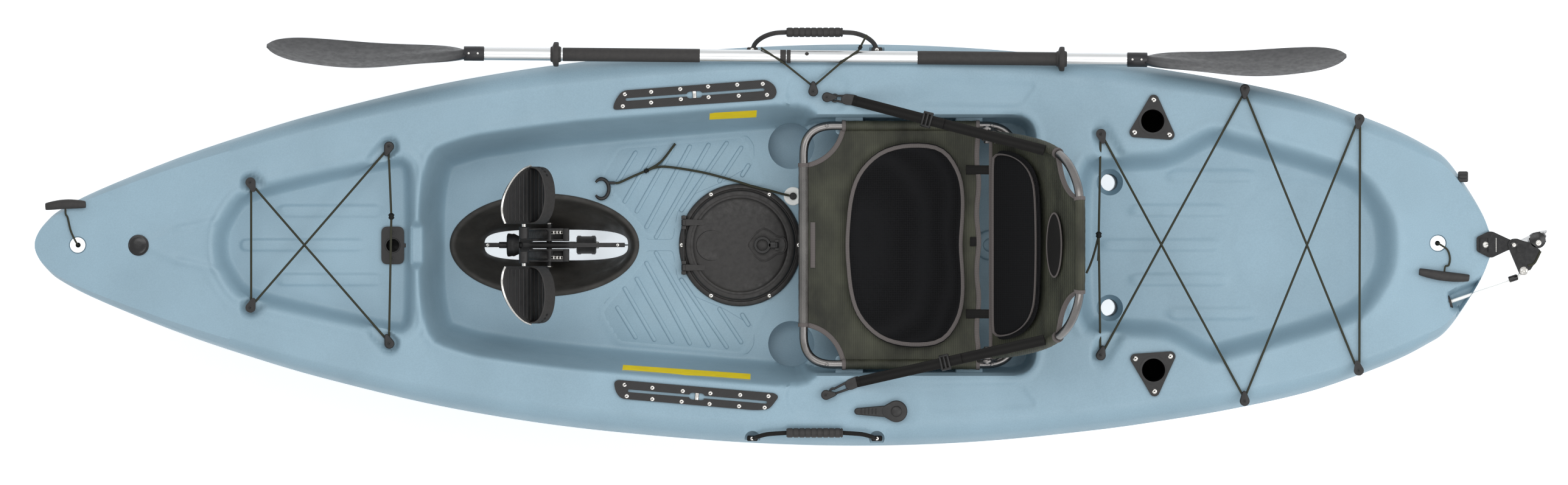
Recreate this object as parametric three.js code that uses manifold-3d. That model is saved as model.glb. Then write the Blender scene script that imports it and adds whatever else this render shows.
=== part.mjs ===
// Sit-on-top pedal kayak, about 3.2 m long, in millimetres.
// +X runs from bow to stern, +Y to starboard and +Z up. The origin lies on the flat keel
// strip under the middle of the hull, so the hull's underside is z = 0.
import * as THREE from 'three';
import { mergeVertices } from 'three/addons/utils/BufferGeometryUtils.js';
import Module from 'manifold-3d';

const wasm = await Module();
wasm.setup();

// Hull
const hullLength = 3200;
const beam = 885;
const deckHeight = 300;
const bowRise = 40;
const sternRise = 6;
const stemFootHeight = 185;
const sternFootHeight = 95;
const stemRun = 430;
const sternRun = 300;
const keelStripWidth = 120;
const hullWall = 5;
const overrun = 40;
const seatGap = 0.3;
const meshTolerance = 0.03;

// The plan view was measured in pixels of the photograph, which shows the hull from pixel
// 56 to 2450 along and 331 pixels to each side of its centreline.
const bowPixel = 56;
const sternPixel = 2450;
const centrePixel = 402.7;
const halfBeamPixels = 331;
const alongScale = hullLength / (sternPixel - bowPixel);
const acrossScale = beam / 2 / halfBeamPixels;
const middlePixel = (bowPixel + sternPixel) / 2;

// Half-width of the hull, in pixels, at places along it
const hullOutlinePixels = [
  [56, 3.5], [80, 41], [110, 64], [170, 94], [290, 143], [410, 184], [530, 219.5],
  [710, 263], [890, 294], [1070, 314], [1250, 327], [1430, 331], [1610, 324],
  [1790, 306.5], [1910, 290], [2030, 269.5], [2150, 242.5], [2240, 212], [2300, 187.5],
  [2345, 164], [2375, 144], [2405, 104.5], [2435, 54], [2450, 12],
];
const hullStations = 29;
const chamberStations = 17;
// Half section from the bilge up to the deck: shares of half-width and of depth
const sectionShares = [
  [0.60, 0.09], [0.83, 0.27], [0.94, 0.48], [0.985, 0.66], [1, 0.8], [0.985, 0.9],
  [0.94, 0.965], [0.89, 1],
];
const keelShare = 0.3;
const bowRiseShare = 0.36;
const sternRiseShare = 0.7;

// Recesses in the deck: outlines as pixels along and pixels from the centreline
const frontCargoPixels = [
  [354, 0], [357, 25], [366, 45], [380, 68], [397, 84], [445, 101], [604, 138],
  [655, 147], [672, 140], [681, 122], [683, 60],
];
const footwellPixels = [
  [690, 0], [691, 60], [697, 110], [708, 146], [722, 160], [760, 173], [800, 182],
  [940, 201], [1127, 217], [1285, 229], [1325, 226], [1345, 205], [1350, 150],
];
const rearCargoPixels = [
  [1766, 0], [1768, 90], [1776, 128], [1795, 144], [1871, 149], [1920, 155], [1988, 189],
  [2031, 181], [2153, 148], [2233, 117], [2270, 74], [2288, 30],
];
const frontCargoDepth = 48;
const frontCargoDraft = 13;
const footwellFloor = 120;
const footwellDraft = 42;
const rearCargoDepth = 70;
const rearCargoDraft = 16;
const ribHeight = 5;
const ribHalfWidth = 14;
const frontRibPixels = [[454, 626, 56], [393, 598, 0], [454, 627, -57]];
const rearRibPixels = [
  [1921, 2063, 114], [1858, 2018, 57], [1811, 2005, 0], [1858, 2018, -57], [1921, 2063, -113],
];
const cargoChannel = { frontPixel: 674, rearPixel: 702, halfWidth: 50, floor: 272 };
const footRib = { halfWidth: 5, height: 4 };
const footRibPixels = [
  [[1042, 153], [1012, 104]], [[1073, 157], [1024, 72]], [[1103, 160], [1044, 56]],
  [[1132, 163], [1060, 30]], [[1163, 166], [1076, 13]], [[1193, 169], [1118, 58]],
  [[1217, 161], [1181, 106]], [[1229, 132], [1219, 116]],
];
const cupPixels = [1300, 164];
const cupHolder = { radius: 51, depth: 45 };

// Through holes and scuppers
const tubeSides = 20;
const holeSides = 12;
const hiddenSides = 8;
const bowHole = { pixels: [130, 0], radius: 16.5 };
const sternHole = { pixels: [2361.7, 3], radius: 17 };
const rearScupper = { along: 1825, side: 103.5, radius: 19, rimRadius: 31, rimDepth: 10 };
const cockpitScupper = { pixels: [1303, 81], radius: 16 };

// Seat, which sets the size of the seat well
const seatTube = 19;
const seatTubeSides = 10;
const seatTubeFlat = seatTube / 2 * Math.cos(Math.PI / seatTubeSides);
const seat = {
  frontPixel: 1313, length: 484, width: 544, corner: 62, frontHeight: 272, rearHeight: 252,
  wellClearance: 12, wellCorner: 55, wellRearRoom: 34, wellFloor: 150, wellDraft: 8,
  restWidth: 46, restLength: 60, restInset: 110,
};
const seatHalf = seat.width / 2;
const seatRearPixel = seat.frontPixel + seat.length / alongScale;
// The back's hoop: half-widths and heights along its lean
const backHoop = [
  [seatHalf - 32, 0], [seatHalf - 38, 120], [seatHalf - 50, 240], [seatHalf - 66, 330],
  [seatHalf - 92, 400], [seatHalf - 132, 446], [seatHalf - 177, 465], [0, 467],
];
const seatBack = {
  hingePixel: seatRearPixel - 53.09, lean: 24, hingeRise: 22, boltRadius: 4.5, boltBore: 4.9,
  headRadius: 7.5, headInner: seatHalf - 49, headOuter: seatHalf - 43.6, barrelRadius: 12,
  barrelInner: seatHalf - 43, barrelOuter: seatHalf - 20.1, lugInner: seatHalf - 19.6,
  lugOuter: seatHalf - 13.6, lugFoot: 24,
};
const sling = {
  thickness: 3, tubeGap: 0.3, hoopDraw: 0.25, footDraw: 1.5, notch: 62,
  rearPixel: seatRearPixel - 68.09, bottom: 22,
};
const seatPad = {
  frontPixel: seat.frontPixel + 77, rearPixel: seatRearPixel - 91.09, halfWidth: seatHalf - 50,
  thickness: 16, crown: 7,
};
const backPad = { bottom: 60, top: 280, halfWidth: seatHalf - 70, thickness: 14, crown: 6 };
const padGap = 0.4;
// Cushion outlines as shares of half-width and of length, from the front or bottom edge
const seatPadShares = [
  [0, 0], [0.5, 0.01], [0.8, 0.07], [0.95, 0.2], [1, 0.45], [0.99, 0.75], [0.93, 0.93],
  [0.8, 1], [0.4, 0.985], [0, 0.98],
];
const backPadShares = [
  [0, 0], [0.8, 0.01], [0.94, 0.07], [1, 0.2], [0.99, 0.55], [0.93, 0.85], [0.82, 0.97],
  [0.6, 1], [0, 0.99],
];
// Cushion rings from the back face out: scale and share of thickness
const cushionRings = [[0.965, 0], [0.995, 0.22], [1, 0.5], [0.985, 0.8], [0.94, 1]];
const crownRings = [[0.7, 0.75], [0.35, 1]];
const seatStrap = {
  width: 28, thickness: 3, hookRadius: 7, hookBore: 3.2, hookThickness: 5, hookLift: 0.6,
  hoopShare: 337, hoopGap: 20,
};
const strapEyePixels = { starboard: [1358.5, 242.7], port: [1357, -246] };
const strapStartPixels = { starboard: [1398, 238.5], port: [1404, -226] };

// Drive
const driveWell = {
  centrePixel: 891, halfLength: 202, halfWidth: 106, slotFrontPixel: 788, slotRearPixel: 1030,
  slotHalfWidth: 37, throatHeight: 42, linerWall: 3, linerRim: 9, linerGap: 0.4, linerBottom: 30,
  sides: 22,
};
const drive = {
  axlePixel: 898, axleHeight: 78, axleRadius: 6, axleReach: 50, spineThickness: 10,
  spineFrontPixel: 784, spineRearPixel: 1029, spineTop: 96, spineBottom: 46,
  hangerHalf: 7.5, hangerThickness: 6, hangerFoot: 9, masts: [852, 958], mastHeight: -28,
  mastRodRadius: 5, drumRadius: 21, drumBore: 5.4, drumLength: 44, runningGap: 0.4,
  knobPixels: [828, 849], knobRadii: [26, 20], collarPixels: [815, 853], collarRadius: 7,
};
const crank = {
  innerFace: 8, width: 30, hubRadius: 21, bore: 6.4, housingLength: 90, housingHeight: 30,
  housingBase: 88, armFootPixel: drive.axlePixel - 9, armFootHeight: 108, armRadius: 12, armInner: 13,
  armOuter: 33, bossRadius: 11, bossOuter: 40, pedalPixel: 862, pedalHeight: 345,
  pinRadius: 5, pinReach: 150,
};
const pedal = {
  innerFace: 46, width: 126, length: 132, thickness: 12, rise: 7, tilt: 48, bore: 5.4,
  boreEnd: 152, barrelRadius: 11, barrelEnd: 160, strapHeight: 44, strapWidth: 34,
  strapThickness: 3.5, strapPlace: 18,
};
// Pedal plate: shares of length from its middle and of width from its inner edge
const pedalShares = [
  [0.5, 0.04], [0.5, 0.84], [0.44, 0.97], [0.3, 1], [-0.12, 1], [-0.34, 0.9], [-0.47, 0.68],
  [-0.5, 0.4], [-0.49, 0.04], [-0.45, 0], [0.46, 0],
];
const fin = {
  length: 440, chord: 122, tipChord: 50, thickness: 9, mastRadius: 7, rootGap: 24, mastInset: 8,
};

// Hatch
const hatch = {
  pixels: [1215.6, 0], holeRadius: 96, frameRadius: 136, frameHeight: 9, neckRadius: 90,
  neckWall: 4, neckDepth: 16, lidRadius: 121, lidThickness: 9, lidCrown: 4, sides: 24,
  hingeAway: 125, hingeHeight: 16, pinRadius: 2.2, pinBore: 2.6, knuckleRadius: 5.5,
  knucklePlace: 50, knuckleWidth: 14, postWidth: 8, postLength: 9, pinHalf: 66, tabInner: 104,
  notchDepth: 12, notchHalf: 5.5,
};
const latch = {
  pivotAway: 81, ringAway: 49, ringOuter: 19, ringInner: 12, thickness: 5, armHalf: 6,
  pivotRadius: 3.6, pinRadius: 1.5, pinBore: 1.9, earWidth: 4, earLength: 8, earRise: 3,
};

// Deck fittings
const padEye = {
  radius: 11, neck: 7.5, neckHeight: 6.2, height: 13, postReach: 17.5, postRadius: 2.2,
  noseRadius: 5,
};
// The eyes that one bungee passes in turn: pixels, depth of the pocket below the deck (less
// than nothing where a boss raises it) and how far the pocket runs on into the recess
const bowLoop = [
  { pixels: [640, -162.1], depth: 16, reach: 36 }, { pixels: [412.4, 103], depth: 16, reach: 36 },
  { pixels: [412.4, -102.8], depth: 16, reach: 36 }, { pixels: [639.4, 161.9], depth: 16, reach: 36 },
];
const sternLoop = [
  { pixels: [1808.6, 182.7], depth: 10, reach: 62 }, { pixels: [2043.9, -256], depth: -4 },
  { pixels: [2232.2, 207], depth: -4 }, { pixels: [2231, -206], depth: -4 },
  { pixels: [2044.3, 256], depth: -4 }, { pixels: [1808.2, -181.3], depth: 10, reach: 62 },
];
const eyePocketRadius = 25;
const eyeBoss = { radius: 13, footRadius: 15, depth: 60 };
const bungee = { radius: 2.5, sides: 6, lift: 3.1, gap: 0.4, cross: 6, knotRadius: 7 };
const bowKnotPixels = [643, 47.1];
const bowCrossing = { before: 1, pixels: [504.5, -0.9] };
const sternKnotPixels = [1805, 16.7];
const sternCrossings = [{ before: 1, pixels: [1906.5, 1.1] }, { before: 4, pixels: [2148.8, 2.7] }];
const sternTailPixels = [
  [[1799, -8, 0], [1792, -30, -3], [1785, -46, -8]], [[1805, -4, 4], [1804, -26, 2]],
];
const keeperEyePixels = [1336, 252.1];
const gearPlate = { thickness: 5, slotHalfWidth: 3, slotDepth: 3.6, tie: 5 };
const starboardPlatePixels = [
  [1006.5, 221.7], [1010, 236], [1022, 253.7], [1260, 271.7], [1273, 262], [1277, 250],
  [1271, 239.7], [1250, 237.5],
];
const starboardSlotPixels = [[1030, 238.9], [1254, 255.2]];
const portPlatePixels = [
  [1009, -225.3], [1015, -221.3], [1273, -243.3], [1279.5, -249], [1264, -270], [1240, -271.3],
  [1020, -252.3], [1011, -240],
];
const portSlotPixels = [[1034, -239.3], [1258, -258.2]];
const socket = {
  pixels: [644, -0.6], halfLength: 25, halfWidth: 41.5, flange: 5, radius: 19, bore: 14.5,
  depth: 70, endRadius: 8, tab: 37, tabRadius: 4, floor: 4,
};
const rodHolder = {
  starboardPixels: [1893.3, 203.7], portPixels: [1894.7, -205.3], bore: 25.5, wall: 3,
  depth: 190, floor: 4, flange: 6, rimRadius: 32, screwRadius: 11,
  screws: [[2.3, 46.8], [-39.8, -24.9], [37, -30.2]],
};
const carryHandle = {
  screwPixels: [1236, 1440.6], starboardSide: 321, portSide: -318, barrelRadius: 6,
  barrelHalf: 11, strapRadius: 5, gripRadius: 10.5, gripHalf: 62, pocketRadius: 17,
  pocketDepth: 36, sides: 8,
};
// Handle straps from a screw to the end of the grip: along, outboard and up, in millimetres
const starboardStrapRun = [[0, 0, 0], [7, 15, 2], [24, 28, 14], [48, 36, 26], [75, 38, 30]];
const portStrapRun = [[0, 0, 0], [7, -2, 17], [14, -5, 32], [34, -10, 37], [75, -13, 38]];
const toggle = { radius: 9.5, bore: 5.5, cordRadius: 2.2, cordHole: 3.4, knotRadius: 6, sides: 10 };
const bowToggleEnds = [[78, 63.7], [144, 67.2]];
const sternToggleEnds = [[2330, -44.3], [2412, -54.9]];
const bowCordPixels = [[111, 60], [114, 45], [119, 24], [126, 8]];
const sternCordPixels = [[2372, -42], [2379, -33], [2381, -21], [2377, -8], [2368, -1]];
const leash = {
  pixels: [1303, 81], flangeRadius: 20.5, flange: 3, plugRadius: 15.1, plug: 14, buttonRadius: 8,
  button: 5, radius: 2.6, hookRadius: 4.2, knotRadius: 5.5, sides: 6,
};
// Leash cord: pixels along, pixels across and height above the footwell floor
const leashPixels = [
  [1296.8, 82, 6.6], [1284, 85, 9], [1262, 91, 12.6], [1240, 96, 12.6], [1218, 103, 12.2],
  [1190, 111, 9], [1150, 121, 9], [1100, 129, 8.6], [1078, 129, 8.6], [1060, 123, 8.6],
  [1036, 113, 8.6], [1015, 103.4, 8.6],
];
const leashEndPixels = [[1008.3, 103, 8.6]];
const leashTailPixels = [[1060, 123, 8.6], [1084, 138, 8.4], [1108, 168, 8.2]];
const leashHook = { pixels: [985.5, 93.2], halfLength: 16.5, halfWidth: 22, lift: 8.6, stem: [1008, 103] };

// Steering
const lever = {
  pixels: [1472.5, -273], tipPixel: 1409, roundRadius: 24, tipRadius: 7.5, thickness: 13,
  capRadius: 11, capHeight: 3,
};
const rudder = {
  bracketPixels: [
    [2424.5, 12.7], [2444, 22.4], [2450.5, 22.4], [2480, 8.7], [2492, 6], [2494, -3],
    [2475, -9], [2450, -20.9], [2444, -20.3], [2424.5, -10],
  ],
  pivotPixels: [2485.2, 0.3], pinRadius: 5.5, bracketThickness: 8, washerRadius: 8.5, washer: 2,
  tillerPixels: [
    [2475, 2], [2480, 10], [2490, 11], [2500, 7], [2512, 4], [2530, -9.3], [2522, -26],
    [2510, -44.5], [2501, -50.5], [2494, -47], [2478, -9],
  ],
  plateThickness: 8, gap: 0.4, rodBoltPixels: [2501.4, -42.6], rodBoltRadius: 3.5,
  rodBoltBottom: 276, headPixels: [2524, 8], headTopRadius: 18, headHeight: 275, headRadius: 25,
  yaw: 33, bladeThickness: 15, tipThickness: 5, cheekThickness: 6, cheekHalf: 15,
  cheekBottom: 262, axleRadius: 4, axleBore: 4.4,
};
// Rudder blade: height below its axle, leading and trailing edge
const rudderRows = [
  [14, -20, 21], [50, -24, 34], [110, -25, 41], [240, -23, 38], [330, -18, 28], [360, -8, 14],
];
const steeringRod = {
  radius: 3.8, height: 284, fromPixels: [2340, -108], toPixels: [2484, -58.5],
  eyeRadius: 9, eyeThickness: 9, eyeBore: 3.9,
};
const rodRecess = {
  pixels: [[2376, -78], [2440, -50], [2470, -80], [2440, -125], [2382, -104]],
  floor: 268, portHalfWidth: 12, portHalfHeight: 9, portReach: 26,
};

// Paddle
const paddle = {
  shaftRadius: 14, shaftBore: 11.6, spigotRadius: 11, spigotLength: 60, sides: 12,
  foreEndPixel: 796, aftEndPixel: 1851, jointPixel: 1292, foreSide: 314.2, aftSide: 304.4,
  ringRadius: 27, ringWidth: 14, foreRingPixel: 914, aftRingPixel: 1744,
  foreTipPixel: 439.3, aftTipPixel: 2210.7, bladeHalfWidth: 84, bladeThickness: 6,
  bladeTilt: 68, sleeveRadius: 16, sleeveLength: 44, plugLength: 40, neckThickness: 20, spoon: 14,
  cup: 9,
};
const paddleKeeper = {
  radius: 2.3, sides: 6, gap: 1.2, startPixels: [1254.5, 320.7], endPixels: [1410.6, 319.7],
  tailPixels: [[1418, 334, 9], [1424, 344.7, 5]],
};
// Blade outline: shares of the blade's length from its sleeve and of its half-width
const bladeShares = [
  [0, 0.12], [0.14, 0.2], [0.28, 0.45], [0.42, 0.78], [0.58, 0.98], [0.74, 1], [0.88, 0.84],
  [0.96, 0.5], [1, 0.12],
];

// Materials
const finish = {
  hull: { color: 0x7fa3b8, roughness: 0.55, metalness: 0 },
  black: { color: 0x1c1c1d, roughness: 0.6, metalness: 0 },
  rubber: { color: 0x2b2725, roughness: 0.85, metalness: 0 },
  cord: { color: 0x24261f, roughness: 0.9, metalness: 0 },
  frame: { color: 0x77797c, roughness: 0.35, metalness: 0.9 },
  mesh: { color: 0x3a3b2f, roughness: 0.9, metalness: 0 },
  pad: { color: 0x101112, roughness: 0.95, metalness: 0 },
  silver: { color: 0xd3d6d8, roughness: 0.3, metalness: 0.9 },
  blade: { color: 0x3a3c3f, roughness: 0.5, metalness: 0 },
  white: { color: 0xeeeeea, roughness: 0.4, metalness: 0 },
};

// Shared shape helpers

function plan(along, side) {
  return new THREE.Vector2((along - middlePixel) * alongScale, side * acrossScale);
}

function planX(along) {
  return plan(along, 0).x;
}

function rad(degrees) {
  return THREE.MathUtils.degToRad(degrees);
}

function solidOf(geometry) {
  const flat = geometry.index ? geometry.toNonIndexed() : geometry.clone();
  for (const name of Object.keys(flat.attributes)) {
    if (name !== 'position') {
      flat.deleteAttribute(name);
    }
  }
  const merged = mergeVertices(flat, 1e-4);
  return new wasm.Manifold(new wasm.Mesh({
    numProp: 3,
    vertProperties: new Float32Array(merged.attributes.position.array),
    triVerts: new Uint32Array(merged.index.array),
  }));
}

function geometryOf(solid) {
  const mesh = solid.getMesh();
  const geometry = new THREE.BufferGeometry();
  geometry.setAttribute('position', new THREE.BufferAttribute(mesh.vertProperties, 3));
  geometry.setIndex(new THREE.BufferAttribute(mesh.triVerts, 1));
  const facets = geometry.toNonIndexed();
  facets.computeVertexNormals();
  return facets;
}

function join(...solids) {
  return solids.reduce((whole, next) => whole.add(next));
}

function cut(body, ...tools) {
  return tools.reduce((rest, tool) => rest.subtract(tool), body);
}

function put(geometry, { at = [0, 0, 0], turn = [0, 0, 0] } = {}) {
  const matrix = new THREE.Matrix4().makeRotationFromEuler(new THREE.Euler(...turn));
  matrix.setPosition(...at);
  return solidOf(geometry.clone().applyMatrix4(matrix));
}

function box(size, centre, turn) {
  return put(new THREE.BoxGeometry(...size), { at: centre, turn });
}

// A round bar or cone from one point to another
function rod(radius, from, to, sides = tubeSides, endRadius = radius) {
  const start = new THREE.Vector3(...from);
  const reach = new THREE.Vector3(...to).sub(start);
  const geometry = new THREE.CylinderGeometry(endRadius, radius, reach.length(), sides);
  const turn = new THREE.Quaternion().setFromUnitVectors(
    new THREE.Vector3(0, 1, 0),
    reach.clone().normalize(),
  );
  geometry.applyQuaternion(turn);
  geometry.translate(...start.addScaledVector(reach, 0.5).toArray());
  return solidOf(geometry);
}

// An outline in the XY plane, raised between two heights
function slab(outline, bottom, top) {
  const geometry = new THREE.ExtrudeGeometry(new THREE.Shape(outline), {
    depth: top - bottom,
    bevelEnabled: false,
    curveSegments: 8,
  });
  geometry.translate(0, 0, bottom);
  return solidOf(geometry);
}

// Skins a row of rings that have the same number of points, and closes both ends
function loft(rings, flatten) {
  const count = rings[0].length;
  const positions = rings.flat().flatMap((point) => point.toArray());
  const faces = [];
  for (let row = 0; row + 1 < rings.length; row += 1) {
    for (let column = 0; column < count; column += 1) {
      const next = (column + 1) % count;
      const a = row * count + column;
      const b = row * count + next;
      faces.push([a, b, b + count], [a, b + count, a + count]);
    }
  }
  const lastRow = (rings.length - 1) * count;
  for (const [ring, offset, sameWay] of [[rings[0], 0, false], [rings.at(-1), lastRow, true]]) {
    const contour = ring.map(flatten);
    const way = Math.sign(THREE.ShapeUtils.area(contour));
    for (const [a, b, c] of THREE.ShapeUtils.triangulateShape(contour, [])) {
      const spin = Math.sign(THREE.ShapeUtils.area([contour[a], contour[b], contour[c]]));
      const face = spin === way ? [a, b, c] : [a, c, b];
      faces.push((sameWay ? face : face.reverse()).map((index) => index + offset));
    }
  }
  const geometry = new THREE.BufferGeometry();
  geometry.setAttribute('position', new THREE.Float32BufferAttribute(positions, 3));
  geometry.setIndex(faces.flat());
  const solid = solidOf(geometry);
  if (solid.volume() > 0) {
    return solid;
  }
  geometry.setIndex(faces.flatMap(([a, b, c]) => [a, c, b]));
  return solidOf(geometry);
}

const ontoXY = (point) => new THREE.Vector2(point.x, point.y);
const ontoYZ = (point) => new THREE.Vector2(point.y, point.z);

// Moves each edge of an outline outward by a distance; the outline runs anticlockwise
function offsetOutline(outline, distance) {
  const count = outline.length;
  return outline.map((point, index) => {
    const before = outline[(index + count - 1) % count];
    const after = outline[(index + 1) % count];
    const arriving = point.clone().sub(before).normalize();
    const leaving = after.clone().sub(point).normalize();
    const normal = new THREE.Vector2(arriving.y + leaving.y, -arriving.x - leaving.x).normalize();
    const mitre = Math.max(0.5, normal.dot(new THREE.Vector2(arriving.y, -arriving.x)));
    return point.clone().addScaledVector(normal, distance / mitre);
  });
}

// A recess with sloping walls; grow adds the hull's wall round it
function recess(outline, top, floor, draft, grow = 0) {
  const rim = offsetOutline(outline, grow);
  const base = offsetOutline(outline, grow - draft);
  const ring = (points, z) => points.map((point) => new THREE.Vector3(point.x, point.y, z));
  return loft([ring(rim, top + overrun), ring(rim, top), ring(base, floor - grow)], ontoXY);
}

// Closes a half outline, given in pixels for starboard, with its mirror image
function mirroredOutline(halfPixels) {
  const starboard = halfPixels.map(([along, side]) => plan(along, side));
  const onAxis = starboard.filter((point) => point.y > 0);
  const port = onAxis.map((point) => new THREE.Vector2(point.x, -point.y)).reverse();
  const outline = [...starboard, ...port];
  return THREE.ShapeUtils.isClockWise(outline) ? outline.reverse() : outline;
}

function anticlockwise(outline) {
  return THREE.ShapeUtils.isClockWise(outline) ? [...outline].reverse() : outline;
}

// A strip with round ends between two plan points
function stadium(from, to, halfWidth, steps = 3) {
  const angle = Math.atan2(to.y - from.y, to.x - from.x);
  const points = [];
  for (const [centre, start] of [[to, angle - Math.PI / 2], [from, angle + Math.PI / 2]]) {
    for (let step = 0; step <= steps; step += 1) {
      const turn = start + Math.PI * step / steps;
      points.push(new THREE.Vector2(
        centre.x + halfWidth * Math.cos(turn),
        centre.y + halfWidth * Math.sin(turn),
      ));
    }
  }
  return points;
}

// A rectangle with rounded corners, centred on a plan point
function roundedRectangle(centre, length, width, corner, steps = 5) {
  const points = [];
  for (let quarter = 0; quarter < 4; quarter += 1) {
    const signX = quarter === 0 || quarter === 3 ? 1 : -1;
    const signY = quarter < 2 ? 1 : -1;
    for (let step = 0; step <= steps; step += 1) {
      const turn = Math.PI / 2 * (quarter + step / steps);
      points.push(new THREE.Vector2(
        centre.x + signX * (length / 2 - corner) + corner * Math.cos(turn),
        centre.y + signY * (width / 2 - corner) + corner * Math.sin(turn),
      ));
    }
  }
  return points;
}

// A path that keeps its own hand-chosen points as the steps of an extrusion
class Route extends THREE.Curve {
  constructor(points) {
    super();
    this.points = points.map((point) => new THREE.Vector3(...point));
  }

  getPoint(share, target = new THREE.Vector3()) {
    return target.copy(this.points[Math.round(share * (this.points.length - 1))]);
  }

  getSpacedPoints() {
    return this.points.map((point) => point.clone());
  }

  getTangentAt(share, target = new THREE.Vector3()) {
    const index = Math.round(share * (this.points.length - 1));
    const here = this.points[index];
    const before = this.points[Math.max(index - 1, 0)];
    const after = this.points[Math.min(index + 1, this.points.length - 1)];
    const arriving = here.clone().sub(before).normalize();
    const leaving = after.clone().sub(here).normalize();
    return target.copy(arriving.add(leaving).normalize());
  }
}

function circleShape(radius, sides) {
  const points = [];
  for (let side = 0; side < sides; side += 1) {
    const turn = 2 * Math.PI * side / sides;
    points.push(new THREE.Vector2(radius * Math.cos(turn), radius * Math.sin(turn)));
  }
  return new THREE.Shape(points);
}

function tubeAlong(points, radius, sides) {
  const geometry = new THREE.ExtrudeGeometry(circleShape(radius, sides), {
    steps: points.length - 1,
    extrudePath: new Route(points),
    curveSegments: 1,
  });
  const solid = solidOf(geometry);
  return solid.volume() > 0 ? solid : solidOf(flipped(geometry));
}

function flipped(geometry) {
  const facets = geometry.index ? geometry.toNonIndexed() : geometry.clone();
  const position = facets.attributes.position;
  for (let face = 0; face < position.count; face += 3) {
    const second = new THREE.Vector3().fromBufferAttribute(position, face + 1);
    const third = new THREE.Vector3().fromBufferAttribute(position, face + 2);
    position.setXYZ(face + 1, ...third.toArray());
    position.setXYZ(face + 2, ...second.toArray());
  }
  return facets;
}

// A smooth path through hand-chosen points, for cords
function smoothPoints(points, steps) {
  const curve = new THREE.CatmullRomCurve3(
    points.map((point) => new THREE.Vector3(...point)),
    false,
    'centripetal',
  );
  return curve.getSpacedPoints(steps).map((point) => point.toArray());
}

function lathe(profile, sides) {
  const points = profile.map(([radius, height]) => new THREE.Vector2(radius, height));
  const geometry = new THREE.LatheGeometry([...points, points[0].clone()], sides);
  geometry.rotateX(Math.PI / 2);
  const solid = solidOf(geometry);
  return solid.volume() > 0 ? solid : solidOf(flipped(geometry));
}

function moved(solid, x, y, z) {
  return solid.translate([x, y, z]);
}

const kayak = new THREE.Group();

function addPiece(name, solid, look) {
  const mesh = new THREE.Mesh(
    geometryOf(solid.simplify(meshTolerance)),
    new THREE.MeshStandardMaterial(look),
  );
  mesh.name = name;
  kayak.add(mesh);
  return mesh;
}

// Hull

function hullWidths(stations) {
  const curve = new THREE.SplineCurve(
    hullOutlinePixels.map(([along, half]) => new THREE.Vector2(along, half)),
  );
  const rows = curve.getPoints(stations - 1);
  return rows.map((row) => ({ along: row.x, x: planX(row.x), half: row.y * acrossScale }));
}

function lengthShare(along) {
  return (along - bowPixel) / (sternPixel - bowPixel);
}

function sheerHeight(along) {
  const share = lengthShare(along);
  const forward = Math.max(0, (bowRiseShare - share) / bowRiseShare);
  const aft = Math.max(0, (share - sternRiseShare) / (1 - sternRiseShare));
  return deckHeight + bowRise * forward ** 2 + sternRise * aft ** 2;
}

function keelHeight(x) {
  const fromBow = x + hullLength / 2;
  const fromStern = hullLength / 2 - x;
  const bow = Math.max(0, 1 - fromBow / stemRun);
  const stern = Math.max(0, 1 - fromStern / sternRun);
  return stemFootHeight * bow ** 2.2 + sternFootHeight * stern ** 2;
}

function hullRing({ along, x, half }, inset) {
  const keel = keelHeight(x) + inset;
  const depth = sheerHeight(along) - inset - keel;
  const width = half - inset;
  const strip = Math.min(keelStripWidth / 2, keelShare * width);
  const side = [[strip, keel]];
  for (const [acrossShare, upShare] of sectionShares) {
    side.push([Math.max(width * acrossShare, strip), keel + depth * upShare]);
  }
  const starboard = side.map(([y, z]) => new THREE.Vector3(x, y, z));
  const port = side.map(([y, z]) => new THREE.Vector3(x, -y, z)).reverse();
  return [...starboard, ...port];
}

function hullBlank(inset) {
  const least = inset > 0 ? inset * 5 : 0;
  const stations = inset > 0 ? chamberStations : hullStations;
  const rows = hullWidths(stations).filter((row) => row.half > least);
  return loft(rows.map((row) => hullRing(row, inset)), ontoYZ);
}

const frontCargoFloor = deckHeight - frontCargoDepth;
const rearCargoFloor = deckHeight - rearCargoDepth;
const seatFront = planX(seat.frontPixel);
const seatRear = seatFront + seat.length;
const seatMiddle = new THREE.Vector2((seatFront + seatRear) / 2, 0);
const wellLength = seat.length + seat.wellRearRoom + seat.wellClearance;
const wellMiddle = new THREE.Vector2(seatFront - seat.wellClearance + wellLength / 2, 0);

function seatWellOutline() {
  const width = seat.width + 2 * seat.wellClearance;
  return roundedRectangle(wellMiddle, wellLength, width, seat.wellCorner);
}

function ovalOutline(centreX, halfLength, halfWidth, sides) {
  const points = [];
  for (let side = 0; side < sides; side += 1) {
    const turn = 2 * Math.PI * side / sides;
    points.push(new THREE.Vector2(
      centreX + halfLength * Math.cos(turn),
      halfWidth * Math.sin(turn),
    ));
  }
  return points;
}

// The well that the drive drops into: an oval bowl over a long slot through the keel
function driveWellSolid(grow, top, bottom) {
  const slotFront = planX(driveWell.slotFrontPixel);
  const slotRear = planX(driveWell.slotRearPixel);
  const oval = (extra, z) => ovalOutline(
    planX(driveWell.centrePixel),
    driveWell.halfLength + grow + extra,
    driveWell.halfWidth + grow + extra,
    driveWell.sides,
  ).map((point) => new THREE.Vector3(point.x, point.y, z));
  const slot = (z) => ovalOutline(
    (slotFront + slotRear) / 2,
    (slotRear - slotFront) / 2 + grow,
    driveWell.slotHalfWidth + grow,
    driveWell.sides,
  ).map((point) => new THREE.Vector3(point.x, point.y, z));
  return loft([
    oval(0, top), oval(0, footwellFloor - grow), slot(driveWell.throatHeight), slot(bottom),
  ], ontoXY);
}

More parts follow.
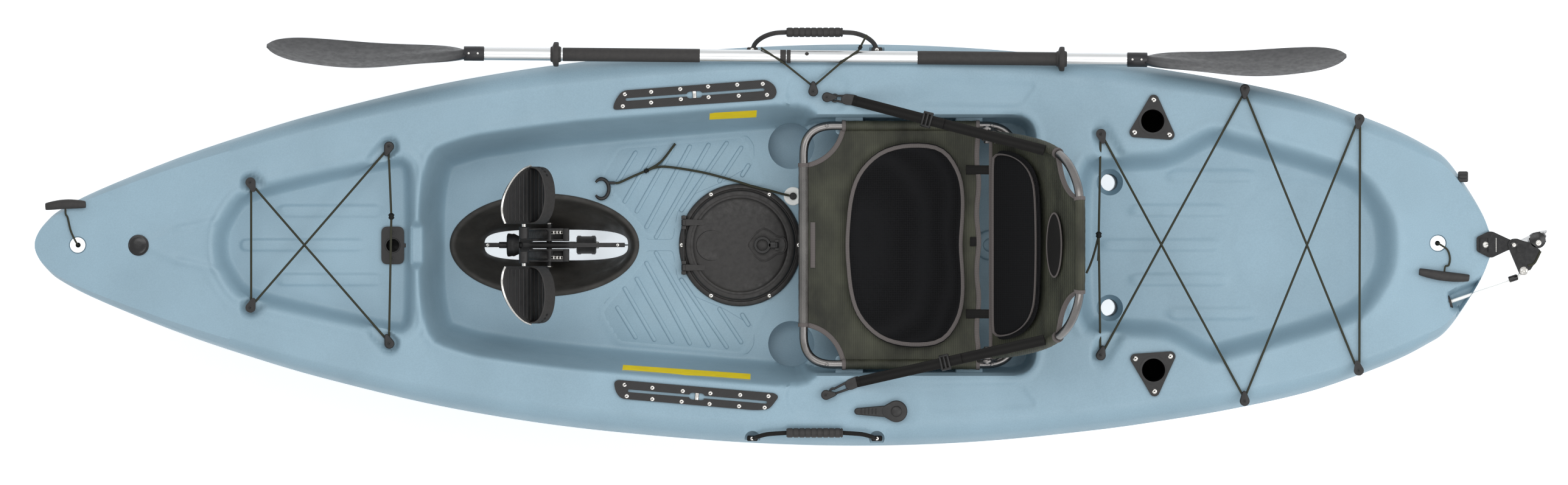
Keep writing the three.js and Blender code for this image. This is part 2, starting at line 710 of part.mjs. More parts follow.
// The eyes of a loop: where each stands, which way its nose points and how high its foot is
function loopEyes(loop) {
  const places = loop.map(({ pixels }) => plan(...pixels));
  return loop.map(({ pixels, depth, reach }, index) => {
    const place = places[index];
    const before = places[(index + places.length - 1) % places.length];
    const after = places[(index + 1) % places.length];
    const toBefore = before.clone().sub(place).normalize();
    const toAfter = after.clone().sub(place).normalize();
    const nose = toBefore.clone().add(toAfter).normalize();
    const floor = sheerHeight(pixels[0]) - depth;
    return { place, nose, toBefore, toAfter, floor, reach };
  });
}

// A pocket for a pad eye, running on into the cargo recess
function eyePocket({ place, nose, floor, reach }, grow) {
  const inner = place.clone().addScaledVector(nose, reach);
  return slab(
    anticlockwise(stadium(place, inner, eyePocketRadius + grow, grow > 0 ? 2 : 4)),
    floor - grow,
    floor + overrun * 2,
  );
}

// Brings a pad eye on the hull's rounded edge up to the level of the deck
function eyeBossAt({ place, floor }) {
  return rod(eyeBoss.footRadius, [place.x, place.y, floor - eyeBoss.depth],
    [place.x, place.y, floor], bungee.sides * 2, eyeBoss.radius);
}

function pocketAt([along, side], radius, depth, grow) {
  const place = plan(along, side);
  const floor = sheerHeight(along) - depth;
  return rod(
    radius + grow,
    [place.x, place.y, floor - grow],
    [place.x, place.y, floor + overrun * 2],
    grow > 0 ? hiddenSides : holeSides,
  );
}

function throughHole([along, side], radius, grow) {
  const place = plan(along, side);
  return rod(
    radius + grow,
    [place.x, place.y, -overrun],
    [place.x, place.y, deckHeight + bowRise + overrun],
    grow > 0 ? hiddenSides : holeSides,
  );
}

const bowEyes = loopEyes(bowLoop);
const sternEyes = loopEyes(sternLoop);
const pocketedEyes = [...bowEyes, ...sternEyes].filter((eye) => eye.reach);
const raisedEyes = sternEyes.filter((eye) => !eye.reach);
const handlePlaces = [
  [carryHandle.screwPixels[0], carryHandle.starboardSide],
  [carryHandle.screwPixels[1], carryHandle.starboardSide],
  [carryHandle.screwPixels[0], carryHandle.portSide],
  [carryHandle.screwPixels[1], carryHandle.portSide],
];

function seatRests() {
  const rests = [];
  for (const x of [seatFront + seat.restInset, seatRear - seat.restInset]) {
    for (const side of [-1, 1]) {
      const share = (x - seatFront) / seat.length;
      const tubeHeight = seat.frontHeight + (seat.rearHeight - seat.frontHeight) * share;
      const top = tubeHeight - seatTube / 2 - seatGap;
      const lowest = Math.min(
        top,
        top - Math.abs(seat.frontHeight - seat.rearHeight) * seat.restLength / 2 / seat.length,
      );
      const bottom = seat.wellFloor - hullWall;
      rests.push(box(
        [seat.restLength, seat.restWidth, lowest - bottom],
        [x, side * (seat.width / 2 + seat.wellClearance - seat.restWidth / 2 + hullWall),
          (lowest + bottom) / 2],
      ));
    }
  }
  return rests;
}

// Everything scooped out of the hull from above, or grown by the wall to shape its inside
function scoops(grow) {
  const solids = [
    recess(mirroredOutline(frontCargoPixels), sheerHeight(frontCargoPixels[0][0]),
      frontCargoFloor, frontCargoDraft, grow),
    recess(mirroredOutline(footwellPixels), deckHeight, footwellFloor, footwellDraft, grow),
    recess(seatWellOutline(), deckHeight, seat.wellFloor, seat.wellDraft, grow),
    recess(mirroredOutline(rearCargoPixels), deckHeight + sternRise, rearCargoFloor,
      rearCargoDraft, grow),
    driveWellSolid(grow, footwellFloor + overrun, -overrun),
    throughHole(bowHole.pixels, bowHole.radius, grow),
    throughHole(sternHole.pixels, sternHole.radius, grow),
    throughHole(cockpitScupper.pixels, cockpitScupper.radius, grow),
  ];
  for (const side of [-1, 1]) {
    const cup = plan(cupPixels[0], side * cupPixels[1]);
    const scupper = [rearScupper.along, side * rearScupper.side];
    const rim = plan(...scupper);
    solids.push(
      rod(cupHolder.radius + grow, [cup.x, cup.y, footwellFloor - cupHolder.depth - grow],
        [cup.x, cup.y, footwellFloor + overrun], grow > 0 ? holeSides : tubeSides),
      throughHole(scupper, rearScupper.radius, grow),
      rod(rearScupper.rimRadius + grow, [rim.x, rim.y, rearCargoFloor - rearScupper.rimDepth - grow],
        [rim.x, rim.y, rearCargoFloor + overrun], holeSides),
    );
  }
  for (const eye of pocketedEyes) {
    solids.push(eyePocket(eye, grow));
  }
  for (const place of handlePlaces) {
    solids.push(pocketAt(place, carryHandle.pocketRadius, carryHandle.pocketDepth, grow));
  }
  const channelOutline = roundedRectangle(
    plan((cargoChannel.frontPixel + cargoChannel.rearPixel) / 2, 0),
    planX(cargoChannel.rearPixel) - planX(cargoChannel.frontPixel) + 2 * grow,
    2 * cargoChannel.halfWidth + 2 * grow,
    6,
    2,
  );
  solids.push(slab(channelOutline, cargoChannel.floor - grow, deckHeight + overrun));
  const rodOutline = anticlockwise(rodRecess.pixels.map((pixels) => plan(...pixels)));
  solids.push(recess(rodOutline, deckHeight + sternRise, rodRecess.floor, 0, grow));
  return solids;
}

function floorRibs() {
  const solids = [];
  for (const [fromAlong, toAlong, side] of frontRibPixels) {
    const outline = stadium(
      plan(fromAlong, side).add(new THREE.Vector2(ribHalfWidth, 0)),
      plan(toAlong, side).sub(new THREE.Vector2(ribHalfWidth, 0)),
      ribHalfWidth,
    );
    solids.push(slab(outline, frontCargoFloor - hullWall / 2, frontCargoFloor + ribHeight));
  }
  for (const [fromAlong, toAlong, side] of rearRibPixels) {
    const outline = stadium(
      plan(fromAlong, side).add(new THREE.Vector2(ribHalfWidth, 0)),
      plan(toAlong, side).sub(new THREE.Vector2(ribHalfWidth, 0)),
      ribHalfWidth,
    );
    solids.push(slab(outline, rearCargoFloor - hullWall / 2, rearCargoFloor + ribHeight));
  }
  return solids;
}

// Diagonal grip ribs on both sides of the footwell floor
function footRibs() {
  const solids = [];
  for (const [outer, inner] of footRibPixels) {
    for (const side of [-1, 1]) {
      const outline = stadium(
        plan(outer[0], side * outer[1]),
        plan(inner[0], side * inner[1]),
        footRib.halfWidth,
        2,
      );
      solids.push(slab(
        anticlockwise(outline),
        footwellFloor - hullWall / 2,
        footwellFloor + footRib.height,
      ));
    }
  }
  return solids;
}

function rodPort(grow) {
  const from = plan(...steeringRod.fromPixels);
  const to = plan(...steeringRod.toPixels);
  const turn = Math.atan2(to.y - from.y, to.x - from.x);
  const mouth = rodRecess.pixels[0];
  const other = rodRecess.pixels.at(-1);
  const wallPlace = plan((mouth[0] + other[0]) / 2, (mouth[1] + other[1]) / 2);
  return box(
    [rodRecess.portReach * 2, rodRecess.portHalfWidth * 2 + grow, rodRecess.portHalfHeight * 2 + grow],
    [wallPlace.x, wallPlace.y, steeringRod.height],
    [0, 0, turn],
  );
}

function hullShell() {
  const hatchPlace = plan(...hatch.pixels);
  const socketPlace = plan(...socket.pixels);
  const openings = [
    rod(hatch.holeRadius, [hatchPlace.x, hatchPlace.y, footwellFloor - hullWall * 2],
      [hatchPlace.x, hatchPlace.y, footwellFloor + overrun], hatch.sides),
    rod(socket.radius + seatGap, [socketPlace.x, socketPlace.y, frontCargoFloor - hullWall * 2],
      [socketPlace.x, socketPlace.y, frontCargoFloor + overrun]),
    rodPort(0),
  ];
  for (const pixels of [rodHolder.starboardPixels, rodHolder.portPixels]) {
    const place = plan(...pixels);
    openings.push(rod(
      rodHolder.bore + rodHolder.wall + seatGap,
      [place.x, place.y, deckHeight - hullWall * 2],
      [place.x, place.y, deckHeight + overrun],
    ));
  }
  const rests = seatRests();
  const bosses = raisedEyes.map(eyeBossAt);
  const scooped = cut(hullBlank(0), ...scoops(0));
  const outside = join(scooped, ...rests, ...bosses, ...floorRibs(), ...footRibs());
  const inside = cut(hullBlank(hullWall), ...scoops(hullWall));
  const chambers = inside.decompose().sort((a, b) => b.volume() - a.volume());
  const hollow = cut(chambers[0], join(...rests));
  return cut(outside, hollow.decompose().sort((a, b) => b.volume() - a.volume())[0], ...openings);
}

const hullSolid = hullShell();
const hullMesh = addPiece('hull_shell', hullSolid, finish.hull);
hullMesh.updateMatrixWorld();
const caster = new THREE.Raycaster();

// Height of the hull's surface under a plan point
function surfaceHeight(x, y) {
  caster.set(new THREE.Vector3(x, y, deckHeight + bowRise + overrun), new THREE.Vector3(0, 0, -1));
  const hits = caster.intersectObject(hullMesh);
  return hits.length > 0 ? hits[0].point.z : -Infinity;
}

// Lowest height at which a flat base of this outline clears the hull
function restHeight(outline) {
  const centre = outline.reduce((sum, point) => sum.add(point), new THREE.Vector2());
  centre.divideScalar(outline.length);
  const heights = outline.flatMap((point) => [1, 0.5, 0].map((share) => {
    const sample = centre.clone().lerp(point, share);
    return surfaceHeight(sample.x, sample.y);
  }));
  return Math.max(...heights) + seatGap;
}

function circleOutline(centre, radius, sides = 10) {
  return ovalOutline(centre.x, radius, radius, sides)
    .map((point) => new THREE.Vector2(point.x, point.y + centre.y));
}

function disc(radius, place, bottom, top, sides = tubeSides / 2) {
  return rod(radius, [place.x, place.y, bottom], [place.x, place.y, top], sides);
}

// The tight skin round several solids
function wrapped(...solids) {
  return wasm.Manifold.hull(solids);
}

// A solid of revolution without a bore, from its foot up
function turned(profile, sides) {
  return loft(profile.map(([radius, height]) => ovalOutline(0, radius, radius, sides)
    .map((point) => new THREE.Vector3(point.x, point.y, height))), ontoXY);
}

function ball(radius, place) {
  return put(new THREE.SphereGeometry(radius, 10, 6), { at: place });
}

// A tube bent into a closed frame, made of two halves that share their ends
function closedTube(points, radius, sides) {
  const half = Math.floor(points.length / 2);
  const first = points.slice(0, half + 1);
  const second = [...points.slice(half), points[0]];
  return join(tubeAlong(first, radius, sides), tubeAlong(second, radius, sides));
}

function turnOver(solid, pivot, degrees) {
  return solid.rotate([0, degrees, 0]).translate([pivot.x, 0, pivot.z]);
}

// Fittings that line the openings

function driveWellLiner() {
  const bottom = footwellFloor + seatGap;
  const top = bottom + driveWell.linerWall;
  const outer = driveWellSolid(-driveWell.linerGap, top, driveWell.linerBottom);
  const inner = driveWellSolid(
    -driveWell.linerGap - driveWell.linerWall,
    top + overrun,
    driveWell.linerBottom - overrun,
  );
  const flange = slab(ovalOutline(
    planX(driveWell.centrePixel),
    driveWell.halfLength + driveWell.linerRim,
    driveWell.halfWidth + driveWell.linerRim,
    driveWell.sides,
  ), bottom, top);
  return cut(join(outer, flange), inner);
}

const hatchPlace = plan(...hatch.pixels);
const hatchBase = footwellFloor + seatGap;
const hatchPinX = hatchPlace.x - hatch.hingeAway;
const hatchPinZ = hatchBase + hatch.hingeHeight;

function hatchFrame() {
  const ring = moved(lathe([
    [hatch.neckRadius, -hatch.neckDepth], [hatch.neckRadius + hatch.neckWall, -hatch.neckDepth],
    [hatch.neckRadius + hatch.neckWall, 0], [hatch.frameRadius, 0],
    [hatch.frameRadius, hatch.frameHeight - 2], [hatch.frameRadius - 3, hatch.frameHeight],
    [hatch.neckRadius, hatch.frameHeight],
  ], hatch.sides), hatchPlace.x, hatchPlace.y, hatchBase);
  const tabLength = hatch.frameRadius - hatch.tabInner;
  const parts = [ring, box(
    [tabLength, 2 * hatch.pinHalf, hatch.frameHeight],
    [hatchPlace.x - hatch.frameRadius + tabLength / 2, 0, hatchBase + hatch.frameHeight / 2],
  )];
  const postTop = hatchPinZ + hatch.knuckleRadius - 2;
  const outer = hatch.pinHalf - hatch.postWidth / 2;
  for (const y of [-outer, 0, outer]) {
    parts.push(box(
      [hatch.postLength, hatch.postWidth, postTop - hatchBase],
      [hatchPinX, y, (postTop + hatchBase) / 2],
    ));
  }
  parts.push(rod(hatch.pinRadius, [hatchPinX, -hatch.pinHalf, hatchPinZ],
    [hatchPinX, hatch.pinHalf, hatchPinZ], 8));
  return join(...parts);
}

const lidBottom = hatchBase + hatch.frameHeight + seatGap;
const lidTop = lidBottom + hatch.lidThickness;
const latchBottom = lidTop + hatch.lidCrown + seatGap;
const latchPivotX = hatchPlace.x + latch.pivotAway;
const latchPivotZ = latchBottom + latch.thickness / 2;

function hatchLid() {
  const plate = moved(turned([
    [hatch.lidRadius - 2, 0], [hatch.lidRadius, 2], [hatch.lidRadius, 6],
    [hatch.lidRadius - 4, hatch.lidThickness],
    [hatch.lidRadius / 2, hatch.lidThickness + hatch.lidCrown * 0.75],
    [10, hatch.lidThickness + hatch.lidCrown],
  ], hatch.sides), hatchPlace.x, 0, lidBottom);
  const parts = [plate];
  const armInner = hatchPlace.x - hatch.lidRadius + 22;
  for (const y of [-hatch.knucklePlace, hatch.knucklePlace]) {
    const from = y - hatch.knuckleWidth / 2;
    const to = y + hatch.knuckleWidth / 2;
    parts.push(
      box([armInner - hatchPinX, hatch.knuckleWidth, hatch.lidThickness - 1],
        [(armInner + hatchPinX) / 2, y, lidBottom + (hatch.lidThickness - 1) / 2]),
      rod(hatch.knuckleRadius, [hatchPinX, from, hatchPinZ], [hatchPinX, to, hatchPinZ], 12),
    );
  }
  for (const side of [-1, 1]) {
    const inner = latch.armHalf + seatGap;
    parts.push(box(
      [latch.earLength, latch.earWidth, latchPivotZ + latch.earRise - lidTop],
      [latchPivotX, side * (inner + latch.earWidth / 2), (latchPivotZ + latch.earRise + lidTop) / 2],
    ));
  }
  const reach = latch.armHalf + seatGap + latch.earWidth;
  parts.push(rod(latch.pinRadius, [latchPivotX, -reach, latchPivotZ],
    [latchPivotX, reach, latchPivotZ], 8));
  const notch = box(
    [2 * hatch.notchDepth, 2 * hatch.notchHalf, hatch.lidThickness * 4],
    [hatchPlace.x - hatch.lidRadius - 2, 0, lidBottom],
  );
  const bore = rod(hatch.pinBore, [hatchPinX, -hatch.pinHalf, hatchPinZ],
    [hatchPinX, hatch.pinHalf, hatchPinZ], 10);
  return cut(join(...parts), notch, bore);
}

function hatchLatch() {
  const centre = new THREE.Vector2(hatchPlace.x + latch.ringAway, 0);
  const top = latchBottom + latch.thickness;
  const armEnd = centre.x + latch.ringInner + 3;
  const solid = join(
    disc(latch.ringOuter, centre, latchBottom, top, 20),
    box([latchPivotX - armEnd, 2 * latch.armHalf, latch.thickness],
      [(latchPivotX + armEnd) / 2, 0, latchPivotZ]),
    rod(latch.pivotRadius, [latchPivotX, -latch.armHalf, latchPivotZ],
      [latchPivotX, latch.armHalf, latchPivotZ], 12),
  );
  return cut(
    solid,
    disc(latch.ringInner, centre, latchBottom - overrun, top + overrun, 16),
    rod(latch.pinBore, [latchPivotX, -overrun, latchPivotZ], [latchPivotX, overrun, latchPivotZ], 10),
  );
}

function bowSocket() {
  const place = plan(...socket.pixels);
  const base = frontCargoFloor + seatGap;
  const top = base + socket.flange;
  const end = new THREE.Vector2(0, socket.halfWidth - socket.endRadius);
  const tab = new THREE.Vector2(socket.tab - socket.tabRadius, 0);
  const solid = join(
    wrapped(
      disc(socket.halfLength, place, base, top, 16),
      disc(socket.endRadius, place.clone().add(end), base, top, 8),
      disc(socket.endRadius, place.clone().sub(end), base, top, 8),
    ),
    wrapped(disc(socket.radius, place, base, top, 12),
      disc(socket.tabRadius, place.clone().add(tab), base, top, 8)),
    disc(socket.radius, place, base - socket.depth, top, 16),
  );
  return cut(solid, disc(socket.bore, place, base - socket.depth + socket.floor, top + overrun, 16));
}

function rodHolderSolid(pixels) {
  const place = plan(...pixels);
  const base = sheerHeight(pixels[0]) + seatGap;
  const top = base + rodHolder.flange;
  const lugs = rodHolder.screws.map(([along, outboard]) => disc(
    rodHolder.screwRadius,
    new THREE.Vector2(place.x + along, place.y + Math.sign(pixels[1]) * outboard),
    base,
    top,
    8,
  ));
  const solid = join(
    wrapped(...lugs),
    disc(rodHolder.rimRadius, place, base, top, 20),
    disc(rodHolder.bore + rodHolder.wall, place, base - rodHolder.depth, top, 20),
  );
  return cut(solid, disc(rodHolder.bore, place, base - rodHolder.depth + rodHolder.floor,
    top + overrun, 20));
}

function gearPlateSolid(platePixels, slotPixels) {
  const outline = anticlockwise(platePixels.map((pixels) => plan(...pixels)));
  const base = restHeight(outline);
  const top = base + gearPlate.thickness;
  const [from, to] = slotPixels.map((pixels) => plan(...pixels));
  const along = to.clone().sub(from).normalize().multiplyScalar(gearPlate.tie);
  const middle = from.clone().add(to).multiplyScalar(0.5);
  const slots = [[from, middle.clone().sub(along)], [middle.clone().add(along), to]];
  return cut(slab(outline, base, top), ...slots.map(([start, end]) => slab(
    stadium(start, end, gearPlate.slotHalfWidth, 3),
    top - gearPlate.slotDepth,
    top + overrun,
  )));
}

// Pad eyes and the cords that run through them

function padEyeSolid({ place, nose, floor }) {
  const base = floor + seatGap;
  const tip = place.clone().addScaledVector(nose, padEye.postReach);
  const plateBottom = base + padEye.neckHeight;
  return join(
    wrapped(disc(padEye.radius, place, plateBottom, base + padEye.height, 10),
      disc(padEye.noseRadius, tip, plateBottom, base + padEye.height, 6)),
    disc(padEye.neck, place, base, plateBottom + 1, 8),
    disc(padEye.postRadius, tip, base, plateBottom + 1, 6),
  );
}

// Leads a cord round the post under an eye's nose
function roundPost({ place, nose, toBefore, floor }) {
  const post = place.clone().addScaledVector(nose, padEye.postReach);
  const turnRadius = padEye.postRadius + bungee.radius + bungee.gap;
  const side = Math.sign(nose.cross(toBefore)) || 1;
  const half = Math.PI / 2 - Math.acos(THREE.MathUtils.clamp(nose.dot(toBefore), -1, 1));
  const back = nose.angle() + Math.PI;
  return [-1, -0.4, 0.4, 1].map((share) => {
    const turn = back + share * half * side;
    return [
      post.x + turnRadius * Math.cos(turn),
      post.y + turnRadius * Math.sin(turn),
      floor + seatGap + bungee.lift,
    ];
  });
}

function bungeeLoop(eyes, knotPixels, crossings, tails) {
  const knotPlace = plan(...knotPixels);
  const first = eyes[0];
  const last = eyes.at(-1);
  const height = (first.floor + last.floor) / 2 + seatGap + bungee.lift;
  const knot = [knotPlace.x, knotPlace.y, height];
  const path = [knot];
  eyes.forEach((eye, index) => {
    const crossing = crossings.find(({ before }) => before === index);
    if (crossing) {
      const cross = plan(...crossing.pixels);
      const start = eyes[index - 1];
      const share = start.place.distanceTo(cross) / start.place.distanceTo(eye.place);
      const level = THREE.MathUtils.lerp(start.floor, eye.floor, share);
      path.push([cross.x, cross.y, level + seatGap + bungee.lift + bungee.cross]);
    }
    path.push(...roundPost(eye));
  });
  path.push(knot);
  const ends = tails.map((tail) => tubeAlong([knot, ...tail.map(([along, side, rise]) => {
    const place = plan(along, side);
    return [place.x, place.y, height + rise];
  })], bungee.radius, bungee.sides));
  const half = Math.ceil(path.length / 2);
  return join(
    tubeAlong(path.slice(0, half + 1), bungee.radius, bungee.sides),
    tubeAlong(path.slice(half), bungee.radius, bungee.sides),
    ball(bungee.knotRadius, knot),
    ...ends,
  );
}

function deckEye(pixels, nose) {
  const place = plan(...pixels);
  return { place, nose, floor: restHeight(circleOutline(place, padEye.radius)) - seatGap };
}

function toggleSolid(ends, cordPixels) {
  const [from, to] = ends.map((pixels) => plan(...pixels));
  const outline = anticlockwise(stadium(from, to, toggle.radius, 3));
  const height = restHeight(outline) + toggle.radius;
  const bar = rod(toggle.radius, [from.x, from.y, height], [to.x, to.y, height], toggle.sides);
  const overshoot = to.clone().sub(from).normalize().multiplyScalar(overrun);
  const start = from.clone().sub(overshoot);
  const end = to.clone().add(overshoot);
  const middle = from.clone().add(to).multiplyScalar(0.5);
  const first = plan(...cordPixels[0]);
  const way = first.clone().sub(middle).normalize();
  const exit = middle.clone().addScaledVector(way, toggle.radius * 2);
  return {
    height,
    middle,
    exit,
    solid: cut(
      bar,
      rod(toggle.bore, [start.x, start.y, height], [end.x, end.y, height], toggle.sides),
      rod(toggle.cordHole, [middle.x, middle.y, height], [exit.x, exit.y, height], 8),
    ),
  };
}

// A toggle's cord, from inside the toggle over the deck and down the hole
function toggleCord({ height, middle, exit }, cordPixels, holePixels, holeTop) {
  const onDeck = cordPixels.slice(1).map((pixels) => {
    const place = plan(...pixels);
    const clear = restHeight(circleOutline(place, toggle.cordRadius * 2, 6));
    return [place.x, place.y, Math.max(clear, holeTop) + toggle.cordRadius + 1];
  });
  const hole = plan(...holePixels);
  const path = smoothPoints([
    [middle.x, middle.y, height], [exit.x, exit.y, height], ...onDeck,
    [hole.x, hole.y, holeTop - 14], [hole.x, hole.y, holeTop - 46],
  ], 13);
  return join(
    tubeAlong(path, toggle.cordRadius, 6),
    ball(toggle.knotRadius, [hole.x, hole.y, holeTop - 46]),
  );
}

function onFloor(points) {
  return points.map(([along, side, rise]) => {
    const place = plan(along, side);
    return [place.x, place.y, footwellFloor + rise];
  });
}

function leashAnchor() {
  const place = plan(...leash.pixels);
  const base = footwellFloor + seatGap;
  return join(
    disc(leash.flangeRadius, place, base, base + leash.flange, 16),
    disc(leash.plugRadius, place, base - leash.plug, base + 1, holeSides),
    disc(leash.buttonRadius, place, base, base + leash.flange + leash.button, 12),
  );
}

function leashCord() {
  const tail = onFloor(leashTailPixels);
  return join(
    tubeAlong([...smoothPoints(onFloor(leashPixels), 17), ...onFloor(leashEndPixels)], leash.radius,
      leash.sides),
    tubeAlong(smoothPoints(tail, 5), leash.radius, leash.sides),
    ball(leash.knotRadius, tail[0]),
  );
}

function leashHookSolid() {
  const place = plan(...leashHook.pixels);
  const height = footwellFloor + leashHook.lift;
  const points = [];
  for (let degrees = -140; degrees <= 140; degrees += 28) {
    points.push([
      place.x + leashHook.halfLength * Math.cos(rad(degrees)),
      place.y + leashHook.halfWidth * Math.sin(rad(degrees)),
      height,
    ]);
  }
  const stem = plan(...leashHook.stem);
  return join(
    tubeAlong(points, leash.hookRadius, leash.sides),
    tubeAlong([
      [place.x + leashHook.halfLength * 0.8, place.y + leashHook.halfWidth * 0.6, height],
      [stem.x, stem.y, height],
    ], leash.hookRadius * 0.8, leash.sides),
  );
}

// A carry handle that swings on two barrels in the pockets at the hull's edge
function carryHandleSolid(side, run) {
  const outward = Math.sign(side);
  const y = side * acrossScale;
  const floors = carryHandle.screwPixels.map((along) => sheerHeight(along) - carryHandle.pocketDepth);
  const z = Math.max(...floors) + seatGap + carryHandle.barrelRadius;
  const screws = carryHandle.screwPixels.map(planX);
  const parts = [];
  screws.forEach((x, index) => {
    const way = index === 0 ? 1 : -1;
    const path = run.map(([along, out, up]) => [x + way * along, y + outward * out, z + up]);
    parts.push(
      rod(carryHandle.barrelRadius, [x - carryHandle.barrelHalf, y, z],
        [x + carryHandle.barrelHalf, y, z], 12),
      tubeAlong(path, carryHandle.strapRadius, carryHandle.sides),
    );
  });
  const [, out, up] = run.at(-1);
  const middle = (screws[0] + screws[1]) / 2;
  parts.push(
    rod(carryHandle.strapRadius, [screws[0] + run.at(-1)[0], y + outward * out, z + up],
      [screws[1] - run.at(-1)[0], y + outward * out, z + up], carryHandle.sides),
    rod(carryHandle.gripRadius, [middle - carryHandle.gripHalf, y + outward * out, z + up],
      [middle + carryHandle.gripHalf, y + outward * out, z + up], 12),
  );
  return join(...parts);
}

// Drive

const axleX = planX(drive.axlePixel);

function driveSpine() {
  const front = planX(drive.spineFrontPixel);
  const rear = planX(drive.spineRearPixel);
  const masts = drive.masts.map(planX);
  const reach = drive.drumLength / 2 + drive.runningGap;
  const outerEnd = reach + drive.hangerThickness;
  const seatedWell = driveWellSolid(
    -driveWell.linerGap - driveWell.linerWall - seatGap,
    footwellFloor,
    drive.spineBottom - overrun,
  );
  const bar = box([rear - front, drive.spineThickness, drive.spineTop - drive.spineBottom],
    [(front + rear) / 2, 0, (drive.spineTop + drive.spineBottom) / 2]);
  const parts = [
    bar.intersect(seatedWell),
    rod(drive.axleRadius, [axleX, -drive.axleReach, drive.axleHeight],
      [axleX, drive.axleReach, drive.axleHeight], 16),
    rod(drive.knobRadii[0], [planX(drive.knobPixels[0]), 0, drive.spineTop],
      [planX(drive.knobPixels[1]), 0, drive.spineTop], 16, drive.knobRadii[1]),
    rod(drive.collarRadius, [planX(drive.collarPixels[0]), 0, drive.spineTop],
      [planX(drive.collarPixels[1]), 0, drive.spineTop], 10),
    rod(drive.mastRodRadius, [masts[0] - outerEnd, 0, drive.mastHeight],
      [masts[1] + outerEnd, 0, drive.mastHeight], 12),
  ];
  const hangerBottom = drive.mastHeight - drive.hangerFoot;
  const hangerTop = drive.spineBottom + 2;
  for (const [from, to] of [
    [masts[0] - outerEnd, masts[0] - reach],
    [masts[0] + reach, masts[1] - reach],
    [masts[1] + reach, masts[1] + outerEnd],
  ]) {
    parts.push(box([to - from, 2 * drive.hangerHalf, hangerTop - hangerBottom],
      [(from + to) / 2, 0, (hangerTop + hangerBottom) / 2]));
  }
  return join(...parts);
}

function crankSolid(side) {
  const inner = side * crank.innerFace;
  const outer = side * (crank.innerFace + crank.width);
  const pedalX = planX(crank.pedalPixel);
  const footX = planX(crank.armFootPixel);
  const bar = (radius, x, z, from, to, sides = 12) => rod(radius, [x, side * from, z],
    [x, side * to, z], sides);
  return cut(join(
    rod(crank.hubRadius, [axleX, inner, drive.axleHeight], [axleX, outer, drive.axleHeight], 16),
    box([crank.housingLength, crank.width, crank.housingHeight],
      [axleX, (inner + outer) / 2, crank.housingBase + crank.housingHeight / 2]),
    wrapped(bar(crank.armRadius, footX, crank.armFootHeight, crank.armInner, crank.armOuter),
      bar(crank.bossRadius, pedalX, crank.pedalHeight, crank.armInner, crank.armOuter)),
    bar(crank.bossRadius, pedalX, crank.pedalHeight, crank.armInner, crank.bossOuter),
    bar(crank.pinRadius, pedalX, crank.pedalHeight, crank.armInner, crank.pinReach),
  ), rod(crank.bore, [axleX, -overrun * 2, drive.axleHeight], [axleX, overrun * 2, drive.axleHeight],
    16));
}

// Turns an outline in the (Y, Z) plane into a slab between two places along X
function slabAcross(outline, back, front) {
  const geometry = new THREE.ExtrudeGeometry(new THREE.Shape(outline), {
    depth: front - back,
    bevelEnabled: false,
    curveSegments: 1,
  });
  geometry.translate(0, 0, back);
  geometry.applyMatrix4(new THREE.Matrix4().makeBasis(
    new THREE.Vector3(0, 1, 0),
    new THREE.Vector3(0, 0, 1),
    new THREE.Vector3(1, 0, 0),
  ));
  return solidOf(geometry);
}

function pedalSolid(side) {
  const outline = anticlockwise(pedalShares.map(([along, across]) => new THREE.Vector2(
    -along * pedal.length,
    side * (pedal.innerFace + across * pedal.width),
  )));
  const top = pedal.rise + pedal.thickness;
  const middle = side * (pedal.innerFace + pedal.width / 2);
  const arch = (halfWidth, height, foot) => {
    const points = [new THREE.Vector2(middle + halfWidth, foot)];
    for (let step = 0; step <= 10; step += 1) {
      const turn = Math.PI * step / 10;
      points.push(new THREE.Vector2(
        middle + halfWidth * Math.cos(turn),
        top + height * Math.sin(turn) ** 0.7,
      ));
    }
    points.push(new THREE.Vector2(middle - halfWidth, foot));
    return points;
  };
  const half = pedal.width / 2 - 1;
  const back = pedal.strapPlace - pedal.strapWidth / 2;
  const strap = cut(
    slabAcross(arch(half, pedal.strapHeight, pedal.rise + 1), back, back + pedal.strapWidth),
    slabAcross(arch(half - pedal.strapThickness, pedal.strapHeight - pedal.strapThickness, 0),
      back - overrun, back + pedal.strapWidth + overrun),
  );
  const solid = cut(join(
    slab(outline, pedal.rise, top),
    rod(pedal.barrelRadius, [0, side * pedal.innerFace, 0], [0, side * pedal.barrelEnd, 0], 12),
    strap,
  ), rod(pedal.bore, [0, 0, 0], [0, side * pedal.boreEnd, 0], 12));
  return turnOver(solid, { x: planX(crank.pedalPixel), z: crank.pedalHeight }, pedal.tilt);
}

function finSolid(mast) {
  const x = planX(mast);
  const z = drive.mastHeight;
  const reach = drive.drumLength / 2;
  const bottom = z - fin.length;
  const section = (share) => {
    const chord = THREE.MathUtils.lerp(fin.chord, fin.tipChord, share ** 1.4);
    const half = fin.thickness / 2 * (1 - 0.6 * share);
    const lead = x - fin.mastInset;
    const height = THREE.MathUtils.lerp(z - fin.rootGap, bottom, share);
    return [
      [0, 0], [0.12, 0.85], [0.35, 1], [1, 0.12], [1, -0.12], [0.35, -1], [0.12, -0.85],
    ].map(([along, across]) => new THREE.Vector3(lead + along * chord, across * half, height));
  };
  return cut(join(
    loft([0, 0.35, 0.7, 0.93, 1].map(section), ontoXY),
    rod(fin.mastRadius, [x, 0, z - fin.length * 0.6], [x, 0, z - drive.drumRadius / 2], 10),
    rod(drive.drumRadius, [x - reach, 0, z], [x + reach, 0, z], 18),
  ), rod(drive.drumBore, [x - overrun, 0, z], [x + overrun, 0, z], 12));
}

// Seat

